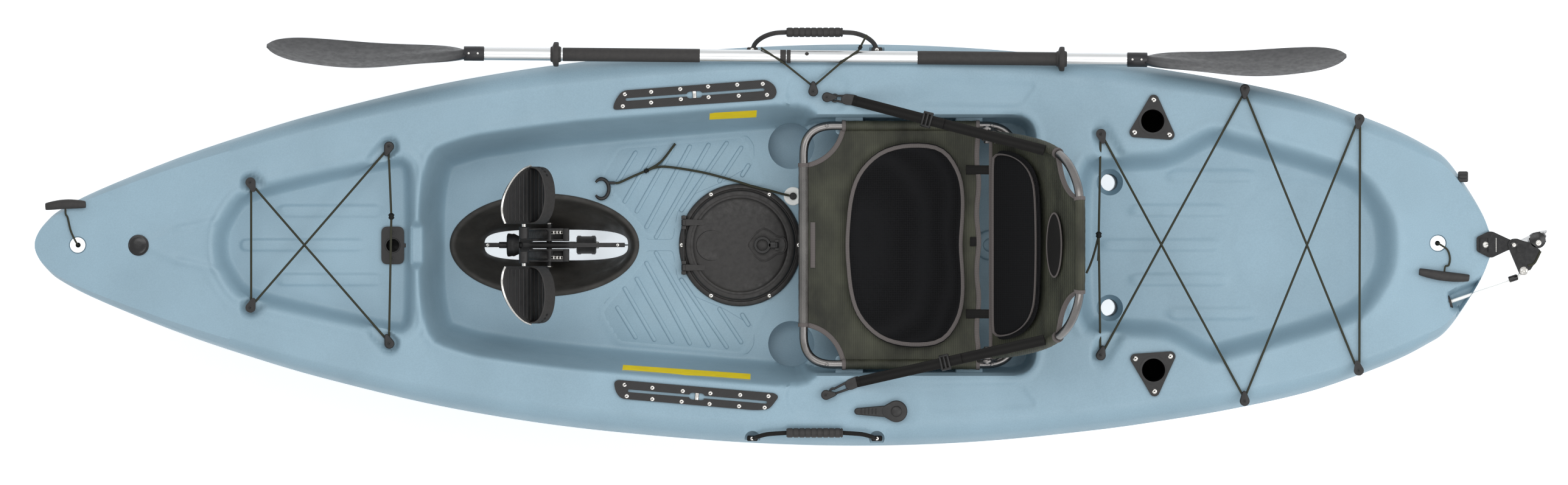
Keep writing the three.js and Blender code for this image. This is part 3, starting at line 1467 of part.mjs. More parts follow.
const seatSlope = THREE.MathUtils.radToDeg(
  Math.asin((seat.frontHeight - seat.rearHeight) / seat.length),
);
const backPivot = {
  x: planX(seatBack.hingePixel),
  z: THREE.MathUtils.mapLinear(planX(seatBack.hingePixel), seatFront, seatRear,
    seat.frontHeight, seat.rearHeight) + seatBack.hingeRise,
};

// Tilts a solid drawn level, with the seat's front at x = 0, into the seat's plane
function onSeat(solid) {
  return solid.rotate([0, seatSlope, 0]).translate([seatFront, 0, seat.frontHeight]);
}

function seatFrame() {
  const half = seatTube / 2;
  const corner = seat.corner - half;
  const cornerSteps = 3;
  const outline = roundedRectangle(new THREE.Vector2(seat.length / 2, 0), seat.length - seatTube,
    seat.width - seatTube, corner, cornerSteps);
  const points = outline.map((point) => [point.x, point.y, 0]);
  const front = [half, 0, 0];
  const rear = 2 * (cornerSteps + 1);
  const round = [...points.slice(rear), ...points.slice(0, rear)];
  const ring = onSeat(closedTube([front, ...round], half, seatTubeSides));
  const parts = [ring];
  const tubeZ = backPivot.z - seatBack.hingeRise;
  for (const side of [-1, 1]) {
    const lugBar = (radius, x, z, from, to, sides) => rod(radius, [x, side * from, z],
      [x, side * to, z], sides);
    parts.push(
      wrapped(
        lugBar(seatBack.barrelRadius, backPivot.x, backPivot.z, seatBack.lugInner,
          seatBack.lugOuter, 12),
        lugBar(5, backPivot.x - seatBack.lugFoot, tubeZ, seatBack.lugInner + 2,
          seatBack.lugOuter, 8),
        lugBar(5, backPivot.x + seatBack.lugFoot, tubeZ, seatBack.lugInner + 2,
          seatBack.lugOuter, 8),
      ),
      lugBar(seatBack.boltRadius, backPivot.x, backPivot.z, seatBack.headInner,
        seatBack.lugOuter, 10),
      lugBar(seatBack.headRadius, backPivot.x, backPivot.z, seatBack.headInner,
        seatBack.headOuter, 12),
    );
  }
  return join(...parts);
}

function seatSling() {
  const from = seatTube / 2 + seatTubeFlat + sling.tubeGap;
  const to = planX(sling.rearPixel) - seatFront;
  const half = seat.width / 2 - from;
  const outline = [
    [from, half - sling.notch], [from + sling.notch, half], [to - sling.notch * 0.7, half],
    [to, half - sling.notch * 0.6], [to, -half + sling.notch * 0.6],
    [to - sling.notch * 0.7, -half], [from + sling.notch, -half], [from, -half + sling.notch],
  ].map(([x, y]) => new THREE.Vector2(x, y));
  return onSeat(slab(anticlockwise(outline), -sling.thickness / 2, sling.thickness / 2));
}

// A cushion with drawn-in sides and a crown; place turns a share of its outline, its scale
// about the middle and its height into a point
function cushion(shares, place) {
  const full = [...shares, ...shares.slice(1, -1).reverse().map(([across, along]) => [-across, along])];
  const rings = cushionRings.map(([scale, up]) => full.map((share) => place(share, scale, up, 0)));
  for (const [scale, crown] of crownRings) {
    rings.push(full.map((share) => place(share, scale, 1, crown)));
  }
  return rings;
}

function seatPadSolid() {
  const from = planX(seatPad.frontPixel) - seatFront;
  const length = planX(seatPad.rearPixel) - planX(seatPad.frontPixel);
  const base = sling.thickness / 2 + padGap;
  const rings = cushion(seatPadShares, ([across, along], scale, up, crown) => new THREE.Vector3(
    from + length * (0.5 + (along - 0.5) * scale),
    seatPad.halfWidth * across * scale,
    base + seatPad.thickness * up + seatPad.crown * crown,
  ));
  return onSeat(loft(rings, ontoXY));
}

const hoopPoints = [
  ...backHoop.map(([half, along]) => [0, half, along]),
  ...backHoop.slice(0, -1).reverse().map(([half, along]) => [0, -half, along]),
];

function backFrame() {
  const parts = [tubeAlong(hoopPoints, seatTube / 2, seatTubeSides)];
  for (const side of [-1, 1]) {
    parts.push(rod(seatBack.barrelRadius, [0, side * seatBack.barrelInner, 0],
      [0, side * seatBack.barrelOuter, 0], 14));
  }
  const bore = rod(seatBack.boltBore, [0, -seat.width, 0], [0, seat.width, 0], 12);
  return turnOver(cut(join(...parts), bore), backPivot, seatBack.lean);
}

function backSling() {
  const inset = seatTubeFlat + sling.tubeGap + sling.hoopDraw;
  const outline = [];
  for (const side of [1, -1]) {
    const half = backHoop.slice(1).map(([y, s], index) => {
      const [beforeY, beforeS] = backHoop[index];
      const [afterY, afterS] = backHoop[Math.min(index + 2, backHoop.length - 1)];
      const way = new THREE.Vector2(afterY - beforeY, afterS - beforeS).normalize();
      return new THREE.Vector2(side * (y - way.y * inset), s + way.x * inset);
    });
    const foot = new THREE.Vector2(side * (backHoop[0][0] - inset - sling.footDraw), sling.bottom);
    outline.push(...(side === 1 ? [foot, ...half] : [...half.slice(0, -1).reverse(), foot]));
  }
  const solid = slabAcross(anticlockwise(outline), -sling.thickness / 2, sling.thickness / 2);
  return turnOver(solid, backPivot, seatBack.lean);
}

function backPadSolid() {
  const length = backPad.top - backPad.bottom;
  const base = -sling.thickness / 2 - padGap;
  const rings = cushion(backPadShares, ([across, along], scale, up, crown) => new THREE.Vector3(
    base - backPad.thickness * up - backPad.crown * crown,
    backPad.halfWidth * across * scale,
    backPad.bottom + length * (0.5 + (along - 0.5) * scale),
  ));
  return turnOver(loft(rings, ontoYZ), backPivot, seatBack.lean);
}

// A strap from a deck eye up to the side of the back's hoop, with its hook
function seatStrapSolid(eye, startPixels, side) {
  const start = plan(...startPixels);
  const base = eye.floor + seatGap + seatStrap.hookLift;
  const post = eye.place.clone().addScaledVector(eye.nose, padEye.postReach);
  const lean = rad(seatBack.lean);
  const end = new THREE.Vector3(
    backPivot.x + seatStrap.hoopShare * Math.sin(lean) - seatStrap.hoopGap,
    side * 205,
    backPivot.z + seatStrap.hoopShare * Math.cos(lean) - seatTube / 2,
  );
  const half = seatStrap.width / 2;
  const middleZ = base + seatStrap.hookThickness / 2;
  const from = new THREE.Vector3(start.x, start.y, middleZ);
  const along = end.clone().sub(from).normalize();
  const across = new THREE.Vector3(-along.y, along.x, 0).normalize();
  const up = along.clone().cross(across).normalize();
  const rings = [0, 0.25, 0.5, 0.75, 1].map((share) => {
    const centre = from.clone().lerp(end, share);
    return [[1, 1], [-1, 1], [-1, -1], [1, -1]].map(([wide, thick]) => centre.clone()
      .addScaledVector(across, wide * half)
      .addScaledVector(up, thick * seatStrap.thickness / 2));
  });
  const hook = wrapped(
    disc(seatStrap.hookRadius, post, base, base + seatStrap.hookThickness, 10),
    disc(half * 0.8, start, base, base + seatStrap.hookThickness, 8),
  );
  return join(
    cut(hook, disc(seatStrap.hookBore, post, base - overrun, base + overrun, 10)),
    loft(rings, ontoYZ),
  );
}

// Steering

function steeringLever() {
  const place = plan(...lever.pixels);
  const tip = plan(lever.tipPixel, lever.pixels[1]);
  const base = restHeight(circleOutline(place, lever.roundRadius));
  const top = base + lever.thickness;
  return join(
    disc(lever.roundRadius, place, base, top, 18),
    wrapped(disc(lever.roundRadius * 0.7, place, base + 1, top - 1, 14),
      disc(lever.tipRadius, tip, base + 1, top - 1, 8)),
    disc(lever.capRadius, place, base, top + lever.capHeight, 14),
  );
}

const rudderPivot = plan(...rudder.pivotPixels);
const bracketBase = sheerHeight(sternPixel) + seatGap;
const tillerBottom = bracketBase + rudder.bracketThickness + rudder.gap;
const tillerTop = tillerBottom + rudder.plateThickness;
const rudderHead = plan(...rudder.headPixels);
const rudderWay = new THREE.Vector2(Math.cos(rad(rudder.yaw)), Math.sin(rad(rudder.yaw)));
const rudderSide = new THREE.Vector2(-rudderWay.y, rudderWay.x);

function rudderBracket() {
  const outline = anticlockwise(rudder.bracketPixels.map((pixels) => plan(...pixels)));
  const top = bracketBase + rudder.bracketThickness;
  const washer = tillerTop + rudder.gap;
  return join(
    slab(outline, bracketBase, top),
    disc(rudder.washerRadius + 2, rudderPivot, bracketBase, top, 14),
    disc(rudder.pinRadius, rudderPivot, bracketBase, washer + 1, 12),
    disc(rudder.washerRadius, rudderPivot, washer, washer + rudder.washer, 12),
  );
}

// A point beside the rudder's head: along its chord, across it and at a height
function besideHead(along, across, z) {
  const place = rudderHead.clone().addScaledVector(rudderWay, along)
    .addScaledVector(rudderSide, across);
  return new THREE.Vector3(place.x, place.y, z);
}

function rudderTiller() {
  const outline = anticlockwise(rudder.tillerPixels.map((pixels) => plan(...pixels)));
  const bolt = plan(...rudder.rodBoltPixels);
  const inner = rudder.bladeThickness / 2 + rudder.gap;
  const outer = inner + rudder.cheekThickness;
  const parts = [
    slab(outline, tillerBottom, tillerTop),
    disc(rudder.headTopRadius, rudderHead, tillerBottom, tillerTop, 16),
    disc(rudder.rodBoltRadius, bolt, rudder.rodBoltBottom, tillerTop, 10),
  ];
  for (const side of [-1, 1]) {
    const ring = (z) => [[-1, inner], [1, inner], [1, outer], [-1, outer]].map(([along, across]) => (
      besideHead(along * rudder.cheekHalf, side * across, z)));
    parts.push(loft([ring(rudder.cheekBottom), ring(tillerBottom + 2)], ontoXY));
  }
  parts.push(rod(rudder.axleRadius, besideHead(0, -outer, rudder.headHeight).toArray(),
    besideHead(0, outer, rudder.headHeight).toArray(), 12));
  return cut(
    join(...parts),
    disc(rudder.pinRadius + rudder.gap, rudderPivot, tillerBottom - overrun, tillerTop + overrun, 14),
  );
}

function rudderBlade() {
  const z = rudder.headHeight;
  const half = rudder.bladeThickness / 2;
  const depth = rudderRows.at(-1)[0];
  const rings = rudderRows.map(([down, lead, trail]) => {
    const thick = THREE.MathUtils.lerp(half, rudder.tipThickness / 2, down / depth);
    return [
      [lead, 0.25], [lead + (trail - lead) * 0.3, 1], [trail, 0.2],
      [trail, -0.2], [lead + (trail - lead) * 0.3, -1], [lead, -0.25],
    ].map(([along, across]) => besideHead(along, across * thick, z - down));
  });
  return cut(join(
    rod(rudder.headRadius, besideHead(0, -half, z).toArray(), besideHead(0, half, z).toArray(), 18),
    loft(rings, ontoXY),
  ), rod(rudder.axleBore, besideHead(0, -overrun, z).toArray(), besideHead(0, overrun, z).toArray(),
    12));
}

function steeringRodSolid() {
  const z = steeringRod.height;
  const eye = plan(...rudder.rodBoltPixels);
  const path = [steeringRod.fromPixels, steeringRod.toPixels].map((pixels) => plan(...pixels));
  return cut(join(
    tubeAlong([...path, eye].map((point) => [point.x, point.y, z]), steeringRod.radius, 8),
    disc(steeringRod.eyeRadius, eye, z - steeringRod.eyeThickness / 2,
      z + steeringRod.eyeThickness / 2, 14),
  ), disc(steeringRod.eyeBore, eye, z - overrun, z + overrun, 12));
}

// Paddle, lying along the starboard side of the deck

const foreEnd = plan(paddle.foreEndPixel, paddle.foreSide);
const aftEnd = plan(paddle.aftEndPixel, paddle.aftSide);
const paddleWay = aftEnd.clone().sub(foreEnd).normalize();
const paddleSide = new THREE.Vector2(-paddleWay.y, paddleWay.x);

function paddleXY(along, across) {
  const share = (along - paddle.foreEndPixel) * alongScale / paddleWay.x;
  return foreEnd.clone().addScaledVector(paddleWay, share).addScaledVector(paddleSide, across);
}

// Lowest height at which a round part of the shaft clears the deck
function clearHeight(fromPixel, toPixel, radius) {
  let height = -Infinity;
  for (let along = fromPixel; along <= toPixel; along += 8) {
    for (let step = -6; step <= 6; step += 1) {
      const across = radius * step / 6;
      const place = paddleXY(along, across);
      const rise = Math.sqrt(radius ** 2 - across ** 2);
      height = Math.max(height, surfaceHeight(place.x, place.y) + rise);
    }
  }
  return height + seatGap;
}

const ringHalf = paddle.ringWidth / 2;
const shaftHeight = Math.max(
  clearHeight(paddle.foreEndPixel, paddle.aftEndPixel, paddle.shaftRadius),
  clearHeight(paddle.foreRingPixel - ringHalf, paddle.foreRingPixel + ringHalf, paddle.ringRadius),
  clearHeight(paddle.aftRingPixel - ringHalf, paddle.aftRingPixel + ringHalf, paddle.ringRadius),
);

function paddlePoint(along, across, rise) {
  const place = paddleXY(along, across);
  return [place.x, place.y, shaftHeight + rise];
}

function shaftPart(radius, from, to, sides = paddle.sides, endRadius = radius) {
  return rod(radius, paddlePoint(from, 0, 0), paddlePoint(to, 0, 0), sides, endRadius);
}

function dripRing(along) {
  const width = ringHalf / alongScale;
  return join(
    shaftPart(paddle.ringRadius * 0.7, along - width, along - width * 0.2, 14, paddle.ringRadius),
    shaftPart(paddle.ringRadius, along - width * 0.3, along + width, 14, paddle.ringRadius * 0.8),
  );
}

function foreShaft() {
  return cut(
    join(shaftPart(paddle.shaftRadius, paddle.foreEndPixel, paddle.jointPixel),
      dripRing(paddle.foreRingPixel)),
    shaftPart(paddle.shaftBore, paddle.foreEndPixel - overrun, paddle.jointPixel + overrun),
  );
}

function aftShaft() {
  const start = paddle.jointPixel + seatGap;
  const plug = paddle.spigotLength / alongScale;
  return join(
    cut(
      join(shaftPart(paddle.shaftRadius, start, paddle.aftEndPixel), dripRing(paddle.aftRingPixel)),
      shaftPart(paddle.shaftBore, start + plug / 2, paddle.aftEndPixel + overrun),
    ),
    shaftPart(paddle.spigotRadius, start - plug, start + 2),
  );
}

function paddleBlade(endPixel, tipPixel) {
  const way = Math.sign(tipPixel - endPixel);
  const sleeveEnd = endPixel + way * paddle.sleeveLength / alongScale;
  const tilt = rad(paddle.bladeTilt);
  const rings = bladeShares.map(([share, width]) => {
    const along = THREE.MathUtils.lerp(sleeveEnd - way * 6, tipPixel, share);
    const half = paddle.bladeHalfWidth * width;
    const thick = THREE.MathUtils.lerp(paddle.neckThickness, paddle.bladeThickness,
      Math.min(1, share * 3)) / 2;
    const lift = paddle.spoon * share ** 2;
    return [
      [-1, 0.3], [-0.5, 1], [0, 1], [0.5, 1], [1, 0.3], [1, -0.3], [0.5, -1], [0, -1], [-0.5, -1],
      [-1, -0.3],
    ].map(([across, face]) => {
      const wide = half * across;
      const deep = face * thick + lift + paddle.cup * width * across ** 2 - paddle.cup * width;
      return new THREE.Vector3(...paddlePoint(
        along,
        -wide * Math.cos(tilt) + deep * Math.sin(tilt),
        wide * Math.sin(tilt) + deep * Math.cos(tilt),
      ));
    });
  });
  const plugEnd = endPixel - way * paddle.plugLength / alongScale;
  const joint = endPixel + way * seatGap;
  return join(
    shaftPart(paddle.spigotRadius, Math.min(plugEnd, sleeveEnd), Math.max(plugEnd, sleeveEnd)),
    shaftPart(paddle.sleeveRadius, Math.min(joint, sleeveEnd), Math.max(joint, sleeveEnd)),
    loft(rings, ontoYZ),
  );
}

const keeperNose = new THREE.Vector2(0, 1);
const keeperEye = deckEye(keeperEyePixels, keeperNose);

// The bungee that holds the paddle: over the shaft, round the eye's post and back over it
function keeperCord() {
  const over = paddle.shaftRadius + paddleKeeper.radius + paddleKeeper.gap;
  const toSide = (point) => point.clone().sub(foreEnd).dot(paddleSide);
  const leg = (outer, inner) => {
    const outerSide = toSide(outer);
    const innerSide = toSide(inner);
    return [0.98, 0.7, 0.36, 0, -0.36, -0.7, -0.98].map((share) => {
      const across = over * share;
      const place = outer.clone().lerp(inner, (outerSide - across) / (outerSide - innerSide));
      return [place.x, place.y, shaftHeight + Math.sqrt(over ** 2 - across ** 2)];
    });
  };
  const start = plan(...paddleKeeper.startPixels);
  const end = plan(...paddleKeeper.endPixels);
  const eye = keeperEye.place;
  const toStart = start.clone().sub(eye).normalize();
  const wrap = roundPost({ ...keeperEye, toBefore: toStart });
  const foot = Math.max(surfaceHeight(start.x, start.y), 0) + paddleKeeper.radius + 1;
  const startLeg = leg(start, plan(keeperEyePixels[0] - 3, keeperEyePixels[1] + 16));
  const endLeg = leg(end, plan(keeperEyePixels[0] + 3, keeperEyePixels[1] + 16)).reverse();
  const tail = paddleKeeper.tailPixels.map(([along, side, rise]) => {
    const place = plan(along, side);
    return [place.x, place.y, shaftHeight + rise];
  });
  const path = [
    [startLeg[0][0], startLeg[0][1] + 1, foot], ...startLeg, ...wrap, ...endLeg.slice(0, -1), ...tail,
  ];
  return tubeAlong(path, paddleKeeper.radius, paddleKeeper.sides);
}

// All the pieces

addPiece('drive_well_liner', driveWellLiner(), finish.rubber);
addPiece('hatch_frame', hatchFrame(), finish.black);
addPiece('hatch_lid', hatchLid(), finish.black);
addPiece('hatch_latch', hatchLatch(), finish.black);
addPiece('bow_socket', bowSocket(), finish.black);
addPiece('rod_holder_starboard', rodHolderSolid(rodHolder.starboardPixels), finish.black);
addPiece('rod_holder_port', rodHolderSolid(rodHolder.portPixels), finish.black);
addPiece('gear_plate_starboard', gearPlateSolid(starboardPlatePixels, starboardSlotPixels),
  finish.black);
addPiece('gear_plate_port', gearPlateSolid(portPlatePixels, portSlotPixels), finish.black);

bowEyes.forEach((eye, index) => addPiece(`bow_pad_eye_${index + 1}`, padEyeSolid(eye), finish.black));
sternEyes.forEach((eye, index) => addPiece(`stern_pad_eye_${index + 1}`, padEyeSolid(eye),
  finish.black));
addPiece('bow_bungee', bungeeLoop(bowEyes, bowKnotPixels, [bowCrossing], []), finish.cord);
addPiece('stern_bungee', bungeeLoop(sternEyes, sternKnotPixels, sternCrossings, sternTailPixels),
  finish.cord);
addPiece('keeper_eye', padEyeSolid(keeperEye), finish.black);
addPiece('paddle_keeper_bungee', keeperCord(), finish.cord);

const bowToggle = toggleSolid(bowToggleEnds, bowCordPixels);
const sternToggle = toggleSolid(sternToggleEnds, sternCordPixels);
addPiece('bow_toggle', bowToggle.solid, finish.black);
addPiece('bow_toggle_cord', toggleCord(bowToggle, bowCordPixels, bowHole.pixels,
  sheerHeight(bowHole.pixels[0])), finish.cord);
addPiece('stern_toggle', sternToggle.solid, finish.black);
addPiece('stern_toggle_cord', toggleCord(sternToggle, sternCordPixels, sternHole.pixels,
  sheerHeight(sternHole.pixels[0])), finish.cord);

addPiece('leash_anchor', leashAnchor(), finish.white);
addPiece('leash_cord', leashCord(), finish.cord);
addPiece('leash_hook', leashHookSolid(), finish.black);
addPiece('carry_handle_starboard', carryHandleSolid(carryHandle.starboardSide, starboardStrapRun),
  finish.black);
addPiece('carry_handle_port', carryHandleSolid(carryHandle.portSide, portStrapRun), finish.black);

addPiece('drive_spine', driveSpine(), finish.black);
addPiece('crank_starboard', crankSolid(1), finish.black);
addPiece('crank_port', crankSolid(-1), finish.black);
addPiece('pedal_starboard', pedalSolid(1), finish.black);
addPiece('pedal_port', pedalSolid(-1), finish.black);
addPiece('fin_front', finSolid(drive.masts[0]), finish.black);
addPiece('fin_rear', finSolid(drive.masts[1]), finish.black);

addPiece('seat_frame', seatFrame(), finish.frame);
addPiece('seat_sling', seatSling(), finish.mesh);
addPiece('seat_pad', seatPadSolid(), finish.pad);
addPiece('back_frame', backFrame(), finish.frame);
addPiece('back_sling', backSling(), finish.mesh);
addPiece('back_pad', backPadSolid(), finish.pad);
for (const [name, side] of [['starboard', 1], ['port', -1]]) {
  const start = plan(...strapStartPixels[name]);
  const nose = start.clone().sub(plan(...strapEyePixels[name])).normalize();
  const eye = deckEye(strapEyePixels[name], nose);
  addPiece(`strap_eye_${name}`, padEyeSolid(eye), finish.black);
  addPiece(`seat_strap_${name}`, seatStrapSolid(eye, strapStartPixels[name], side), finish.pad);
}

addPiece('steering_lever', steeringLever(), finish.black);
addPiece('rudder_bracket', rudderBracket(), finish.black);
addPiece('rudder_tiller', rudderTiller(), finish.black);
addPiece('rudder_blade', rudderBlade(), finish.black);
addPiece('steering_rod', steeringRodSolid(), finish.white);

addPiece('paddle_shaft_fore', foreShaft(), finish.silver);
addPiece('paddle_shaft_aft', aftShaft(), finish.silver);
addPiece('paddle_blade_fore', paddleBlade(paddle.foreEndPixel, paddle.foreTipPixel), finish.blade);
addPiece('paddle_blade_aft', paddleBlade(paddle.aftEndPixel, paddle.aftTipPixel), finish.blade);

export default kayak;
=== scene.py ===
"""Dresses the packed pedal kayak with its visible surfaces and sets up the studio.

Lengths here are in millimetres until they reach a mesh, and pixel tables are places in
the photograph, turned into the kayak's frame by at(). X runs from bow to stern, Y to
starboard and Z up.
"""

import math

import bmesh
import bpy
import numpy as np
from bpy.props import FloatProperty, FloatVectorProperty, PointerProperty
from mathutils import Matrix, Vector
from mathutils.bvhtree import BVHTree


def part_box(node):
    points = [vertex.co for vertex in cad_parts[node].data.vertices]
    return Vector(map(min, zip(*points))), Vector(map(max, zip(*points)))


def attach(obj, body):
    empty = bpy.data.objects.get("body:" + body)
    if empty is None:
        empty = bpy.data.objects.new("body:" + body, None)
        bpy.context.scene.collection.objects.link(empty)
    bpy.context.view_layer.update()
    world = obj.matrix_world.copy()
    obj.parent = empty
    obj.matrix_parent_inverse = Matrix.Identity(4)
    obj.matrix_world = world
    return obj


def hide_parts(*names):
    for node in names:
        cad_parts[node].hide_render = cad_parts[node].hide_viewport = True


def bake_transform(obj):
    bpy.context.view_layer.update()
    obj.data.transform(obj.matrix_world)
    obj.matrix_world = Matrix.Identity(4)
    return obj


bl_info = {
    "name": "Pedal kayak dressing",
    "version": (1, 0, 0),
    "blender": (4, 5, 0),
    "location": "View3D > Sidebar > Kayak",
    "description": "Builds the visible surfaces of a sit-on-top pedal kayak round its frame",
    "category": "Object",
}

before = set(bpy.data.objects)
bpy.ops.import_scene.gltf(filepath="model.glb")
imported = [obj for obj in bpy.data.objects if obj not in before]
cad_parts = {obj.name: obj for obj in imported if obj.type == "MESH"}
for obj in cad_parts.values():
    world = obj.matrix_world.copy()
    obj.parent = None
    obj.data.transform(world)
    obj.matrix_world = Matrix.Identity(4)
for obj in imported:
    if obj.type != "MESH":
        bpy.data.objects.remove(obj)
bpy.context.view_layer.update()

MM = 0.001
BOW_PIXEL, STERN_PIXEL = 56.0, 2450.0
CENTRE_PIXEL = 402.7
HULL_LENGTH = 3200.0
BEAM = 885.0
HALF_BEAM_PIXELS = 331.0
ALONG = HULL_LENGTH / (STERN_PIXEL - BOW_PIXEL)
ACROSS = BEAM / 2 / HALF_BEAM_PIXELS
MIDDLE_PIXEL = (BOW_PIXEL + STERN_PIXEL) / 2
DECK = 300.0
FOOT_FLOOR = 120.0
FRONT_FLOOR = 252.0
REAR_FLOOR = 230.0
WELL_FLOOR = 150.0
HULL = "hull"


def linear(hex_colour):
    """An sRGB hex value as the linear colour that shaders take"""
    parts = [int(hex_colour[i:i + 2], 16) / 255 for i in (0, 2, 4)]
    return [c / 12.92 if c <= 0.04045 else ((c + 0.055) / 1.055) ** 2.4 for c in parts]


def colour_property(name, description, hex_colour):
    return FloatVectorProperty(name=name, description=description, subtype="COLOR",
                               size=3, min=0, max=1, default=linear(hex_colour))


def length_property(name, description, millimetres):
    return FloatProperty(name=name, description=description, unit="LENGTH",
                         subtype="DISTANCE", min=0, default=millimetres * MM, precision=4)


class KayakSizes(bpy.types.PropertyGroup):
    """Sizes that a user would change"""

    seat_tube: length_property("Seat tube", "Diameter of the seat's frame tube", 19)
    bungee: length_property("Bungee", "Diameter of the cargo bungees", 5)
    leash: length_property("Leash cord", "Diameter of the leash cord", 5.2)
    toggle_cord: length_property("Toggle cord", "Diameter of the toggles' cords", 4.4)
    webbing: length_property("Webbing", "Width of the seat's side straps", 23)
    binding: length_property("Binding", "Width of the seat's edge binding", 11)
    screw_radius: length_property("Screw head", "Radius of the deck screws' heads", 5.4)


class KayakColours(bpy.types.PropertyGroup):
    """Colours that a user would change"""

    hull: colour_property("Hull", "Moulded polyethylene of the hull", "86A0AE")
    liner: colour_property("Drive well", "Moulded lining of the drive well", "2C2A27")
    black: colour_property("Black fittings", "Filled nylon of the fittings", "171616")
    lid: colour_property("Hatch lid", "Moulded lid of the hatch", "211F1E")
    mesh: colour_property("Seat mesh", "Coated mesh of the seat", "36372C")
    pad: colour_property("Seat pad", "Spacer fabric of the cushions", "0E0E0F")
    binding: colour_property("Binding", "Edge tape of the seat", "6A6462")
    blade: colour_property("Paddle blade", "Filled plastic of the blades", "232325")
    label: colour_property("Label", "Blank printed strips", "FFDE00")


def sizes():
    return bpy.context.scene.kayak_sizes


def colours():
    return bpy.context.scene.kayak_colours


def at(along, down):
    """A place in the photograph, in pixels, as X and Y in millimetres"""
    return Vector((pixel_x(along), (CENTRE_PIXEL - down) * ACROSS))


def side_at(along, side):
    """A place given by its pixels along and its pixels from the centre line"""
    return at(along, CENTRE_PIXEL - side)


def pixel_x(along):
    """How far along the kayak a pixel is"""
    return (along - MIDDLE_PIXEL) * ALONG


def raised(place, height):
    """A place in plan at a height"""
    return Vector((place.x, place.y, height))


# Materials

finishes = {}
# Sockets of a Mix node that is set to colours
MIX_FACTOR, MIX_FIRST, MIX_SECOND, MIX_RESULT = 0, 6, 7, 2


def add_node(tree, kind, settings=(), **links):
    """Adds a node, sets its values and its properties, and links sockets into it"""
    node = tree.nodes.new(kind)
    for key, value in dict(settings).items():
        if isinstance(key, int) or key in node.inputs:
            node.inputs[key].default_value = value
        else:
            setattr(node, key, value)
    for key, source in links.items():
        numbered = key[0] == "i" and key[1:].isdigit()
        target = node.inputs[int(key[1:]) if numbered else key.replace("_", " ")]
        tree.links.new(source, target)
    return node


def band_scale(pitch_mm):
    """Scale of a wave texture whose bands repeat at this pitch; its own period is pi / 10"""
    return 1000 / pitch_mm * math.pi / 10


def rgba(colour):
    return (*colour, 1.0)


def scaled(colour, factor):
    return rgba([min(1.0, channel * factor) for channel in colour])


def principled(name, settings):
    """A new material with one Principled shader"""
    material = bpy.data.materials.new(name)
    material.use_nodes = True
    tree = material.node_tree
    tree.nodes.clear()
    shader = add_node(tree, "ShaderNodeBsdfPrincipled", settings)
    output = tree.nodes.new("ShaderNodeOutputMaterial")
    tree.links.new(shader.outputs["BSDF"], output.inputs["Surface"])
    return material, tree, shader


def noise(tree, size_mm, detail=3.0, stretch=(1, 1, 1), roughness=0.55):
    """Noise on Object coordinates whose blotches are about this many millimetres across"""
    place = add_node(tree, "ShaderNodeTexCoord")
    mapping = add_node(tree, "ShaderNodeMapping", {"Scale": stretch},
                       Vector=place.outputs["Object"])
    clouds = add_node(tree, "ShaderNodeTexNoise",
                      {"Scale": 1000 / size_mm, "Detail": detail, "Roughness": roughness},
                      Vector=mapping.outputs["Vector"])
    return clouds.outputs["Fac"]


def ranged(tree, source, taken, given):
    """Spreads a value from one range over another"""
    spread = add_node(tree, "ShaderNodeMapRange",
                      {"From Min": taken[0], "From Max": taken[1],
                       "To Min": given[0], "To Max": given[1]}, Value=source)
    return spread.outputs["Result"]


def shaded(tree, shader, source, low, high, first=0.0, last=1.0):
    """Gives the base colour two shades over a value's range"""
    ramp = add_node(tree, "ShaderNodeValToRGB", Fac=source)
    ends = ramp.color_ramp.elements
    ends[0].position, ends[1].position = first, last
    ends[0].color, ends[1].color = low, high
    tree.links.new(ramp.outputs["Color"], shader.inputs["Base Color"])
    return ramp.outputs["Color"]


def multiplied(tree, first, second):
    """The product of two colours"""
    product = add_node(tree, "ShaderNodeMix", {"data_type": "RGBA", "blend_type": "MULTIPLY"})
    product.inputs[MIX_FACTOR].default_value = 1.0
    tree.links.new(first, product.inputs[MIX_FIRST])
    tree.links.new(second, product.inputs[MIX_SECOND])
    return product.outputs[MIX_RESULT]


def bumped(tree, shader, source, strength, height_mm):
    """Raises the surface by a value, over a real height"""
    bump = add_node(tree, "ShaderNodeBump", {"Strength": strength, "Distance": height_mm * MM},
                    Height=source)
    tree.links.new(bump.outputs["Normal"], shader.inputs["Normal"])


def blotch(tree, shader, colour, low, high, size_mm, detail=4.0, stretch=(1, 1, 1)):
    """Varies the base colour between two shades of itself"""
    return shaded(tree, shader, noise(tree, size_mm, detail, stretch), scaled(colour, low),
                  scaled(colour, high), 0.3, 0.72)


def grain(tree, shader, size_mm, height_mm, detail=2.0, stretch=(1, 1, 1), strength=0.6):
    """Raises a fine grain of a real size on the surface"""
    bumped(tree, shader, noise(tree, size_mm, detail, stretch), strength, height_mm)


def uneven(tree, shader, low, high, size_mm, detail=3.0, stretch=(1, 1, 1)):
    """Varies roughness between two values"""
    spread = ranged(tree, noise(tree, size_mm, detail, stretch), (0.3, 0.7), (low, high))
    tree.links.new(spread, shader.inputs["Roughness"])


def threads(tree, pitch_mm, axis, source="Object"):
    """Parallel ridges of a real pitch"""
    place = add_node(tree, "ShaderNodeTexCoord" if source == "Object" else "ShaderNodeUVMap")
    wave = add_node(tree, "ShaderNodeTexWave",
                    {"bands_direction": axis, "Scale": band_scale(pitch_mm), "Detail": 0.0},
                    Vector=place.outputs[source])
    return wave.outputs["Fac"]


